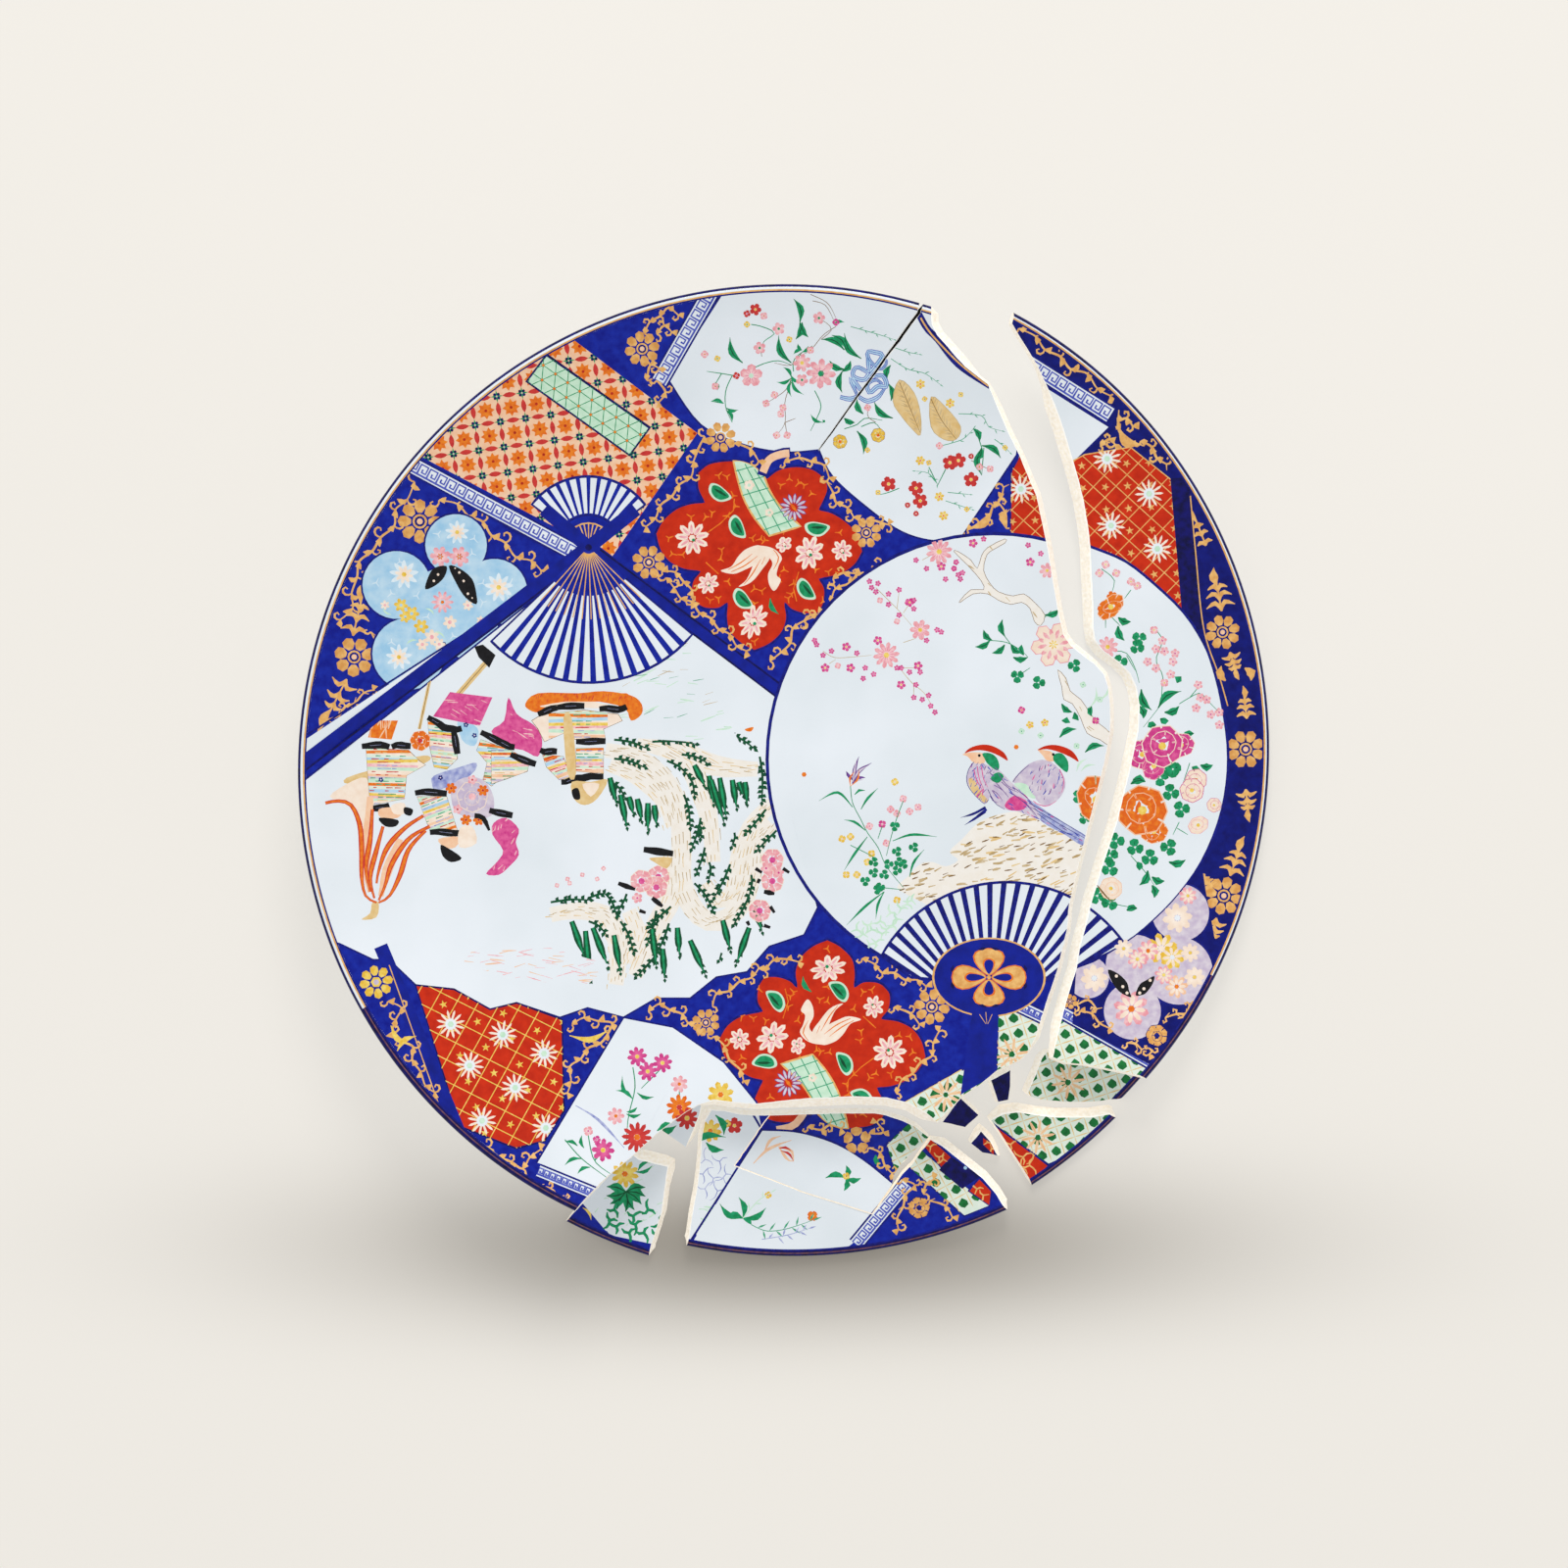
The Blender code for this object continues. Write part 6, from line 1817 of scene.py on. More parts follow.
def paint_landscape(field):
    """Rivers of pale tan with green pines along their banks, pink bushes, and a black boat."""
    rivers = [pts(-85, 10, -70, 7, -58, -2, -51, -15, -49, -34, -49, -53, -41, -68, -31, -71, -20, -63,
        -15, -48, -13, -34, -6, -25), pts(-111, -68, -99, -66, -86, -68, -80, -78, -79, -91, -80, -101),
        pts(-83, 3, -70, -2, -58, -12, -53, -26), pts(-70, 14, -49, 7, -41, -6, -36, -23, -34, -43),
        pts(-51, 13, -34, 3, -13, 1), pts(-53, -38, -53, -58, -61, -73, -71, -97), pts(-38, -53, -31, -62,
        -24, -56, -21, -41, -16, -26, -6, -15), pts(-74, -66, -70, -78, -74, -91)]
    strokes(main, "sand", rivers, 10.0, start=0.7, end=0.7, step=5.0, within=field)
    for river in rivers:
        course = smooth(river, 4, closed=False)
        for shift in (-4.4, -2.6, -0.9, 0.9, 2.7, 4.3):
            run = [tuple(np.add(p, (shift, shift * 0.4 + hand.uniform(-0.5, 0.5)))) for p in course]
            dashes = [run[k:k + 2] for k in range(hand.randrange(2), len(run) - 1, hand.choice((2, 2, 3)))]
            strokes(main, hand.choice(("tan", "rock", "rock")), dashes, 0.45, start=0.9, end=0.5, step=4.0,
                within=field)
    banks = pts(-81, 15, -66, 11, -63, 14, -43, 13, -28, 18, -15, 11, -81, 6, -67, 2, -56, 5, -46, -2,
        -46, -2, -43, -11, -49, 8, -37, 4, -12, 7, -11, -14, -48, -11, -45, -26, -41, -25, -40, -31,
        -38, -36, -42, -48, -36, -43, -36, -51, -43, -53, -34, -66, -26, -44, -33, -59, -24, -29, -25, -35,
        -9, -18, -18, -29, -4, -28, -13, -37, -16, -49, -17, -59, -17, -59, -24, -72, -75, -58, -79, -66,
        -93, -60, -85, -58, -85, -58, -80, -68, -111, -62, -93, -61, -93, -71, -85, -77, -78, -71, -72, -85,
        -61, -66, -65, -81, -54, -64, -64, -73, -55, -72, -61, -87, -61, -87, -70, -97, -30, -86, -31, -89,
        -83, -5, -76, -12, -40, -22, -44, -36)
    for start, end in zip(banks[::2], banks[1::2]):
        sprig(main, [start, tuple(np.add(start, end) / 2 + (0.8, 0.8)), end], spacing=1.5, reach=2.9,
            width=2.0, enamel="deep_green", spread=48, line=1.1, within=field)
    pines = pts(-83, -3, -80, -15, -78, -11, -75, -26, -74, -12, -72, -20, -70, -13, -68, -23, -65, -15,
        -65, -28, -62, -16, -61, -25, -43, 3, -38, -7, -36, -2, -34, -15, -35, -4, -29, -24, -31, -3,
        -28, -21, -25, -4, -23, -17, -22, -5, -20, -11, -19, -5, -18, -15, -101, -71, -95, -88, -91, -74,
        -84, -92, -58, -84, -57, -98, -51, -74, -50, -87, -45, -80, -38, -96, -17, -74, -23, -91)
    pines += pts(-94.5, -75.5, -92.5, -98.5, -63, -74.5, -61, -92, -29.5, -70.5, -26, -84.5, -81, -77.5,
        -78, -95, -14.5, -64, -11, -75.5)
    for root, tip in zip(pines[::2], pines[1::2]):
        strokes(main, "deep_green", [[root, tip]], 3.6, start=0.7, end=0.08, step=2.6, within=field)
        sprig(main, [root, tip], spacing=2.2, reach=2.7, width=1.7, enamel="deep_green", spread=30,
            line=1.2, within=field)
        strokes(main, "green", [[root, tip]], 1.2, start=0.8, end=0.1, step=4.0, within=field)
    for at in pts(-60, -50, -61, -55, -68, -52, -6, -42, -6, -52, -12, -66):
        peony(main, at, 5.6, "cream", "pink", "rose", layers=2, within=field)
    posies(main, (("pink", "rose", 5, 2.6, pts(-70, -60, -9, -46, -3, -48)), ("pink", "cream", 4, 1.2,
        pts(-108, -54, -102, -53, -96, -49, -89, -51, -86, -46, -103, -51))), field)
    strokes(main, "black", [pts(-67, -37, -53, -39)], 3.8, start=0.7, end=0.7, step=2.0, within=field)
    strokes(main, "black", [pts(-63, -60, -58, -64), pts(-79, -53, -71, -56), pts(-1, -46, 2, -48),
        pts(-10, -57, -5, -58), pts(-7, -64, -5, -67), pts(-18, -71, -17, -73), pts(-10, -73, -7, -74),
        pts(-69, -66, -66, -67), pts(-14, -46, -11, -48), pts(-12, -51, -13, -53)], 2.6, start=0.7, end=0.5,
        step=2.0, within=field)
    filled(main, (("tan", pts(-64, -41, -54, -41, -56, -46, -62, -43)), ("orange", pts(-19, 20, -15, 21,
        -16, 19, -18, 19))), field)
    wash = main.paint("glaze", pts(-148.5, -85.5, -111.5, -83.5, -83, -91.5, -93, -100.5, -120.5, -99.5,
        -153, -91.5), field)
    hatched(main, "pink", wash, count=56, reach=8.0, angle=0)
    hatched(main, "peach", wash, count=28, reach=8.0, angle=0, width=0.7)
    sky = main.paint("glaze", pts(-83, 38.5, -47.5, 63.5, -21, 12.5, -74.5, 16), field)
    hatched(main, "celadon", sky, count=44, reach=8.0, angle=10, width=0.8)
    hatched(main, "green_line", sky, count=12, reach=6.0, angle=12, width=0.35)
    hatched(main, "rock", sky, count=16, reach=7.0, angle=12, width=0.35)


def lattice(shard, field, middle, pitch, turn, flowers, line="gilding"):
    """Gilt lattice over red, with a star in each cell and white starbursts."""
    rules = [[polar(foot, -75, lean), polar(foot, 75, lean)] for lean in (turn, turn + 88)
        for k in range(-9, 10) for foot in [polar(middle, pitch * k, lean + 90)]]
    lines(shard, line, rules, 0.45, field)
    cells = [polar(polar(middle, pitch * (i + 0.5), turn), pitch * (j + 0.5), turn + 90)
        for i in range(-8, 8) for j in range(-8, 8) if (i + j) % 2]
    shard.paint_all(line, [o for at in cells for o in placed([star(5, 2.1, 0.8)], at, hand.uniform(0, 72))],
        field)
    for at in flowers:
        petals(shard, "cream", at, 6.9, 12, hub=0.2, width=0.56, point=-0.1, turn=hand.uniform(0, 25),
            within=field, shade=False, corners=6)
        dots(shard, "glaze", [at], 2.7, field, corners=9)
        dots(shard, "celadon", [at], 1.5, field)


def leaf_lattice(shard, field, middle, turn=14.0, tan=()):
    """White diaper with green lozenges between crossing pale lines, and tan blossoms over it."""
    lozenge = [(-2.3, 0.7), (-1.7, -1.1), (-0.3, -2.3), (2.1, -1.5), (2.3, 0.3), (1.3, 1.7), (0.5, 2.5),
        (-0.9, 1.6)]
    grid = {"at": middle, "across": 13, "down": 12, "pitch": (7.0, 7.4), "turn": turn, "within": field}
    for lean, shift in ((0, (0.0, 3.7)), (90, (3.5, 0.0))):
        repeated(shard, "tan", placed([lens(8.2, 0.6)], (0, 0), lean), shift=shift, **grid)
    repeated(shard, "leaf_green", [lozenge], **grid)
    for at in tan:
        petals(shard, "peach", at, 8.4, 10, hub=0.15, width=0.5, point=0.2, turn=10, within=field)
        petals(shard, "tan", at, 7.4, 10, hub=0.2, width=0.14, turn=10, within=field)
        dots(shard, "leaf_green", [at], 1.3, field)


def turned_over(points):
    """The upper medallion's points, turned half round to the lower one's place."""
    return [(5.5 - x, -22.5 - y) for x, y in points]


def paint_lower_medallion():
    """The lower medallion, over two shards, with its cord, and gold flowers and scrolls round it."""
    for shard in (main, centre):
        paint_medallion(shard, turned_over)
    gold_flower(main, (69.5, -111.5), 8.6)
    gold_flower(main, (-37.5, -119), 6.7)
    for path in (pts(-65, -113, -57, -111, -46, -118, -42, -122), pts(-35, -111, -31, -105, -24, -102,
            -12, -94), pts(-33, -125, -27, -134, -19, -146), pts(-10, -94, -1, -88, 6, -91), pts(37, -88,
            45, -94, 54, -97, 67, -101), pts(52, -152, 58, -144, 69, -134, 72, -123), pts(52, -111,
            60, -116, 64, -119)):
        vine(main, path, 5.2)
    strokes(centre, "blue_line", [pts(-5, -171, 4, -170, 10, -162)], 4.4)
    strokes(centre, "peach", [pts(-4, -170, 4, -168, 9, -162)], 3.4)


def paint_lower_fan():
    """The third fan, below the birds: ribs from a blue hub with a four-lobed gilt flower."""
    heart, hinge, middle = (96.5, -97.5), (97, -119.5), (105, -120.5)
    for shard in (main, right):
        leaf = panel(shard, "glaze", arc(middle, 68, 34.6, 151, 30) + pts(59.5, -97.5, 96.5, -101,
            133.5, -96.5), width=1.3)
        rows = grown(fan_ribs, {"Ribs": 23, "Start": math.radians(27), "Sweep": math.radians(126),
            "Inner": 18.5, "Outer": 76.5, "Inner width": 1.5, "Outer width": 2.9})
        shard.paint_all("blue_line", placed(rows, hinge), leaf)
    lines(right, "blue_line", [pts(160.5, -82.5, 138, -93.5)], 1.1)
    for enamel, wide in (("gilding", 54), ("bar_blue", 52)):
        main.paint(enamel, placed([circle((0, 0), wide * 0.5 * 0.995, 40)], heart, 0, 1, 0.7)[0])
    main.paint("bar_blue", pts(88.5, -114, 101, -114, 100, -143, 83, -153))
    for enamel, radius, hub, wide in (("orange", 17.8, 0.06, 0.74), ("gilding", 17.2, 0.09, 0.67),
            ("orange", 11.6, 0.2, 0.4), ("bar_blue", 10.8, 0.18, 0.32)):
        petals(main, enamel, heart, radius, 4, hub=hub, width=wide, point=-0.45, squash=0.78, shade=False,
            corners=16)
    for turn in (-13, 13):
        petals(main, "rim_blue", heart, 18.6, 4, hub=0.9, width=0.14, point=0.5, turn=turn, squash=0.78,
            shade=False, corners=4)
    dots(main, "gilding", [heart], 1.0)
    strokes(main, "gilding", [pts(95, -114, 95.5, -119.5), pts(92, -115, 95, -119.5),
        pts(98, -115, 96, -119.5)], 0.7, start=0.5, end=0.3)


def paint_lower_left():
    """Below the left fan: red lattice between blue grounds, and a white panel of flowers."""
    field = panel(main, "iron_red", pts(-174.5, -101, -156.5, -103, -139.5, -112.5, -127, -109.5,
        -105.5, -117.5, -104.5, -160.5, -113.5, -174.5, -127, -178, -153.5, -167.5), line="rim_blue")
    lattice(main, field, (-139.5, -136.5), 9, -27, pts(-158, -119.5, -133.5, -124.5, -114, -133.5,
        -149, -139, -127.5, -149.5, -143, -165, -113, -168.5), "yellow")
    bar(main, "bar_blue", (-191, -82.5), (-153, -172.5), 6.5)
    lines(main, "gilding", [pts(-187, -91.5, -161.5, -162.5)], 0.5)
    petals(main, "yellow", (-193, -99.5), 8.0, 8, hub=0.36, width=0.9, point=-0.18, turn=10)
    dots(main, "yellow", [(-193, -99.5)], 2.6)
    dots(main, "lilac", [(-193, -99.5)], 1.4)
    for path in (pts(-187, -108, -181, -114, -186, -123, -177, -129, -174, -140, -166, -152),
            pts(-101, -119, -90, -117, -81, -122, -92, -131, -101, -140, -102, -152), pts(-147, -175,
            -135, -181, -125, -187, -116, -178)):
        vine(main, path, 5.4, None, "gilding")
    leaves(main, "yellow", pts(-102, -125, -83, -122, -186, -120, -177, -129, -183, -132, -174, -125,
        -140, -177, -132, -183), 2.8)
    panel(main, "glaze", pts(-76.5, -116.5, -117.5, -185, -93, -218.5, -0.5, -191, -13.5, -156.5,
        -29, -137.5, -53, -121))
    for shard in (main, bottom_left):
        shard.paint("cobalt", pts(-120, -184, -116, -185, -89, -198, -85, -219, -95, -229, -125, -214))
        shard.paint("glaze", pts(-84, -196, -95, -205, -83, -220, -50, -227, -50, -184))
        fret_band(shard, (-116.5, -188.5), (-88.5, -200), 6)
        vine(shard, pts(-116, -195, -108, -199, -99, -205), 4.0)
        leaves(shard, "yellow", pts(-96, -207, -92, -213), 1.6)
    white = bottom_left.paint("glaze", pts(-96, -205, -85, -218, -63, -223, -43, -228, -43, -163, -71, -163,
        -98, -198))
    hatched(bottom_left, "celadon", white, count=36, reach=5.0, angle=35, width=0.9)
    chip.paint("glaze", WHOLE_SHARD)
    bottom.paint("glaze", pts(-55, -155, -14, -155, -11, -170, -45, -223, -55, -227))
    for shard in (main, bottom_left, chip, bottom):
        strokes(shard, "green", [pts(-72, -140, -71, -150, -74, -163, -75, -175), pts(-58, -140, -68, -150),
            pts(-93, -172, -90, -184, -81, -191), pts(-104, -174, -96, -183, -84, -192),
            pts(-50, -150, -50, -158)], 0.5, end=0.6)
        strokes(shard, "wash_blue", [pts(-99, -158, -88, -165, -76, -178)], 1.4, start=0.3, end=0.2)
        leaves(shard, "green", pts(-72, -155, -77, -144, -72, -155, -80, -151, -70, -152, -62, -154,
            -75, -162, -68, -162, -70, -159, -75, -161, -98, -177, -104, -175, -96, -183, -104, -186,
            -92, -187, -98, -190, -90, -184, -89, -178, -95, -178, -96, -172, -71, -190, -63, -187,
            -64, -185, -70, -190), 1.9)
        posies(shard, (("rose", "yellow", 8, 4.8, pts(-70, -135, -65, -142, -58, -138)), ("pink", "orange",
            7, 4.2, pts(-50, -148, -80, -163)), ("lens_red", "orange", 12, 7.4, pts(-70, -173)), ("orange",
            "lens_red", 10, 6.4, pts(-50, -159)), ("rose", "yellow", 8, 5.6, pts(-86, -179)), ("rose",
            "rose", 4, 2.0, pts(-89, -174)), ("pink", "rose", 4, 2.4, pts(-93, -170)), ("yellow", "orange",
            10, 6.8, pts(-76, -191)), ("lens_red", "yellow", 9, 5.6, pts(-46.5, -164.5)), ("yellow",
            "orange", 8, 6.4, pts(-30.5, -153)), ("yellow", "orange", 8, 5.6, pts(-35.5, -170.5)),
            ("lens_red", "yellow", 5, 4.0, pts(-24, -168)), ("yellow", "green", 4, 2.0, pts(-27.5, -167))))
        leaves(shard, "green", pts(-45, -178, -28, -173.5, -60.5, -170, -51.5, -168, -37.5, -176,
            -29, -179.5, -33, -163, -29, -172.5), 3.4)
    hub = (-75.5, -199.5)
    leaves(bottom_left, "green", [p for k in range(9) for p in (hub, polar(hub, 9.5, 165 + 26 * k))], 4.6,
        bend=0.1, vein="deep_green")
    scribble(bottom_left, "green", pts(-81, -208, -72, -211, -65, -208, -59, -214, -80, -216, -74, -219,
        -67, -219, -61, -220, -71, -215, -83, -213), reach=5.2, width=1.5)
    scribble(bottom, "wash_blue", pts(-38, -184, -31, -185, -39, -191, -34, -193, -28, -191, -38, -198,
        -32, -199, -26, -197), reach=6.0, width=0.5)
    wash = bottom.paint("glaze", pts(-42, -207, -25, -204, -31, -217, -42, -220))
    hatched(bottom, "celadon", wash, count=40, reach=6.0, angle=-20, width=0.9)


def paint_bottom():
    """The pieces at the bottom: a white fan panel with pale sprigs, blue grounds, and green diaper."""
    for shard in (bottom, centre):
        shard.paint("glaze", pts(-11, -170, 6, -171, 23, -176, 37, -184, 53, -196, 32, -224, 11, -239,
            -48, -230))
        lines(shard, "blue_line", [pts(-15, -163, -11, -170, -45, -223)], 1.1)
        strokes(shard, "blue_line", [pts(-11, -170, 6, -171, 23, -176, 37, -184, 52, -196)], 1.0, 1, 1, 3.0)
        strokes(shard, "peach", [pts(-15, -186, -9, -180, -3, -177, 3, -175), pts(-10, -181, -7, -175,
            -2, -173), pts(-3, -178, 3, -180, 4, -185), pts(-3, -178, 1, -184, 4, -185)], 1.5, start=0.3,
            end=0.2, step=2.0)
        leaves(shard, "lens_red", pts(-3, -179, 3, -180, -2, -180, 4, -185), 1.3)
        leaves(shard, "green", pts(29, -193, 19, -193, 29, -193, 29, -187, 29, -193, 36, -193, 29, -193,
            28, -199, 43, -182, 45, -187, -20, -212, -31, -205, -20, -212, -22, -202, -20, -212, -9, -207,
            -20, -212, -28, -211, -20, -212, -16, -215), 3.0)
        posies(shard, (("yellow", "orange", 4, 1.8, pts(-8, -201, 29, -192)), ("orange", "yellow", 4, 2.6,
            pts(13, -211))))
        sprig(shard, pts(-16, -215, -9, -218, 1, -217, 13, -213), spacing=3.0, reach=5.0, width=1.0,
            enamel="green_line", line=0.4)
        sprig(shard, pts(-11, -222, 1, -220, 11, -217), spacing=3.0, reach=4.0, width=0.9,
            enamel="wash_blue", line=0.4)
        sprig(shard, pts(-20, -212, -13, -204, -7, -200), spacing=4.0, reach=4.0, width=0.7,
            enamel="celadon")
        fret_band(shard, (33.5, -224.5), (57.5, -195.5), 7)
        diaper_ground = panel(shard, "mint", pts(48, -177, 62, -164, 69, -172, 65, -180, 97, -206, 85, -211,
            58, -187, 53, -192))
        leaf_lattice(shard, diaper_ground, (53, -175.5), 28)
        for red in (pts(65, -177, 69, -174, 79, -183, 74, -188), pts(87, -199, 92, -193, 98, -199,
                97, -206)):
            patch = panel(shard, "iron_red", red)
            scribble(shard, "gilding", pts(69, -178, 73, -183, 91, -198, 94, -201, 75, -184), reach=4.0,
                within=patch)
        blot = shard.paint("rim_blue", pts(73, -189, 79, -183, 93, -192, 84, -198))
        dots(shard, "light_blue", [(85.5, -188)], 0.9, blot)
        petals(shard, "gilding", (34, -175), 6.4, 5, hub=0.3, width=0.95, point=-0.3, turn=20)
        peony(shard, (63.5, -207), 5.4, "blue_line", "gilding", "blue_line", layers=3)
        for path in (pts(11, -168, 18, -171, 21, -167, 26, -170), pts(40, -171, 47, -172, 43, -167),
                pts(40, -178, 46, -183, 50, -191), pts(56, -193, 61, -197, 56, -204, 53, -217),
                pts(69, -203, 76, -207, 80, -211), pts(65, -200, 70, -193)):
            vine(shard, path, 5.0)


def paint_lower_right():
    """The green diaper of the lower right, over four shards, with the fret band above it."""
    for shard in (main, right, outer, inner):
        ground = panel(shard, "mint", pts(101, -112.5, 119.5, -111.5, 184.5, -140, 180, -163, 125, -186.5,
            96.5, -165.5, 100, -144))
        leaf_lattice(shard, ground, (136, -135), 18, [(134.5, -147.5), (120, -173.5), (107.5, -134),
            (74.5, -157.5)])
        if shard is inner:
            red = panel(shard, "iron_red", pts(97, -166, 125, -187, 116, -196.5, 101, -181.5))
            scribble(shard, "gilding", pts(107, -177, 113, -183, 116, -187, 118, -182, 112, -188),
                reach=5.5, within=red)
    fret_band(main, (107.5, -109.5), (131.5, -121), 6)
    fret_band(right, (119.5, -107.5), (184.5, -144.5), 6)
    ground = panel(main, "mint", pts(83, -141, 100, -144, 73.5, -168, 48, -161))
    leaf_lattice(main, ground, (69, -149.5), 30, [(76, -153)])
    sliver = shards["lower_sliver"]
    patch = sliver.paint("iron_red", pts(94, -174, 99, -177, 99, -182, 94, -177))
    scribble(sliver, "gilding", pts(96, -176, 98, -179), reach=3.0, within=patch)


# The roundel's other edge, from the top down.
ROUNDEL_BEYOND = smooth(pts(133.5, 110.5, 147.5, 105.5, 161.5, 99.5, 175, 89, 189, 75.5, 198.5, 61,
    203, 49.5, 207, 33.5, 210, 12.5, 209.5, -6, 205.5, -24.5, 197.5, -43, 187, -58, 175, -70.5, 160.5, -82,
    138, -93.5, 110.5, -93.5), 3, closed=False)


def paint_right_shard():
    """The long crescent: red lattice, the roundel's other edge with its peonies, and a gilt rim strip."""
    paint_right_grounds()
    fret_band(right, (112.5, 194.5), (154, 168.5), 8)
    panel(right, "glaze", pts(110.5, 188, 124, 181.5, 153.5, 163, 136.5, 146, 119.5, 132.5))
    field = panel(right, "iron_red", pts(133.5, 145.5, 142, 150, 163.5, 153.5, 183, 138, 188.5, 76.5,
        197.5, 61, 129, 61), line="gilding", width=0.6)
    lattice(right, field, (162, 140.5), 7.5, -42, pts(152.5, 148, 172.5, 131.5, 154.5, 116.5, 176.5, 105.5))
    bar(right, "rim_blue", (187, 139), (193.5, 67), 9)
    strokes(right, "gilding", [pts(192, 130.5, 194.5, 105, 198.5, 68, 206, 45, 210, 31)], 0.6, 1, 1, 3.0)
    field = panel(right, "glaze", ROUNDEL_BEYOND, width=1.3)
    strokes(right, "green", [pts(150, 96, 156, 91, 155, 85), pts(164, 86, 161, 82), pts(152, 74, 152, 68),
        pts(155, 73, 159, 69), pts(157, 57, 162, 56, 166, 49, 168, 42), pts(162, 55, 166, 48), pts(175, 68,
        179, 62, 176, 53, 179, 46, 179, 42, 178, 32, 174, 26, 170, 21), pts(187, 32, 192, 35, 197, 37,
        202, 32, 206, 28), pts(192, 35, 197, 41), pts(192, 4, 189, -5), pts(164, -40, 171, -48, 175, -54),
        pts(149, -56, 154, -62, 167, -65), pts(187, -24, 184, -30), pts(186, -27, 191, -30)], 0.4, end=0.6,
        step=2.5, within=field)
    leaves(right, "green", pts(158, 73, 164, 71, 158, 69, 161, 62, 169, 39, 174, 29, 177, 30, 188, 38,
        180, 28, 187, 31, 168, 31, 170, 25, 186, 42, 188, 45, 178, 25, 182, 24, 197, 3, 203, 3, 193, 2,
        196, -1, 189, 16, 194, 18, 165, -4, 171, -5, 176, 22, 172, 21) + pts(172, -47, 168, -54, 174, -50,
        180, -52, 174, -54, 175, -60, 167, -43, 168, -47, 182, -43, 190, -42, 162, -66, 167, -65, 164, -6,
        171, -5), 4.0, within=field, vein="deep_green")
    clovers(right, pts(168, 63, 167, 59, 159, 52, 179, 1, 184, 1), 3.6, within=field)
    clovers(right, pts(183, -10, 188, -18, 182, -36, 173, -41, 166, -36, 157, -33, 154, -40, 154, -46,
        178, -3, 184, 1, 148, -59, 154, -62), 4.2, within=field)
    posies(right, (("pink", "yellow", 4, 2.1, pts(152, 98, 149, 94, 157, 94, 164, 90, 167, 88, 175, 67,
        180, 42)), ("pink", "rose", 5, 2.3, pts(179, 62, 176, 58, 180, 57, 185, 56, 172, 52, 176, 49,
        184, 52, 183, 46, 196, 41, 197, 35, 200, 34, 195, 30, 202, 27, 206, 28, 206, 22)), ("orange",
        "lens_red", 5, 2.6, pts(155, 83)), ("pink", "yellow", 9, 5.2, pts(153, 59))), field)
    for at, radius, edging, fill, squash in (((154.5, 78), 7.8, "peach", "orange", 0.6),
            ((195, -4), 5.4, "rose", "cream", 1.0), ((193, -9), 6.0, "rose", "cream", 1.0),
            ((203.5, -16), 3.6, "rose", "cream", 1.0), ((196, -25.5), 5.2, "pink", "cream", 0.8),
            ((154.5, -55.5), 5.6, "peach", "cream", 1.0), ((175, -28.5), 7.0, "peach", "orange", 0.85),
            ((169.5, -18.5), 12.4, "peach", "orange", 0.98), ((169.5, 8), 7.6, "cream", "rose", 1.0),
            ((188, 12.5), 6.6, "cream", "rose", 0.9), ((175, 2.5), 7.0, "pink", "rose", 0.8),
            ((179, 12), 10.6, "cream", "rose", 0.95)):
        peony(right, at, radius, edging, fill, "yellow", squash=squash, within=field)
    strokes(right, "brown", [pts(148, -54, 152, -59, 155, -62)], 0.8, start=0.6, end=0.3, step=2.0,
        within=field)


def paint_right_grounds():
    """Blue grounds along the rim, with gilt flowers, leaves and scrolls."""
    for at, radius in (((207.5, 66), 8.4), ((218.5, 10.5), 9.2), ((208, -59), 9.2)):
        gold_flower(right, at, radius)
    vine(right, pts(111, 210, 120.5, 202.5, 132.5, 193, 144, 186, 153, 177), 6.6)
    for path in (pts(157, 166, 160, 167, 165, 164), pts(149, 155, 156, 157, 157, 155), pts(169, 157,
            174, 152, 180, 145)):
        vine(right, path, 5.2, line=1.3)
    for root, tip, reach in (((207, 76), (204, 92.5), 9.0), ((199.5, 107), (193.5, 122), 5.0), ((211, 56.5),
            (214.5, 46), 6.0), ((219, 25), (217.5, 37.5), 6.0), ((218.5, -8.5), (220, -21), 6.5),
            ((211, -49.5), (216.5, -34.5), 8.0), ((202.5, -55.5), (198, -49.5), 4.5), ((204.5, -69.5),
            (201.5, -81), 7.0)):
        palmette(right, root, tip, reach)
    strokes(right, "gilding", [pts(158, 171, 158, 162, 163, 157, 170, 154)], 1.7, start=0.3, end=0.3,
        step=1.6)
    leaves(right, "gilding", pts(158, 162, 169, 155) + pts(209, 43, 207, 50, 218, 49, 221, 43), 4.6,
        bend=0.26)


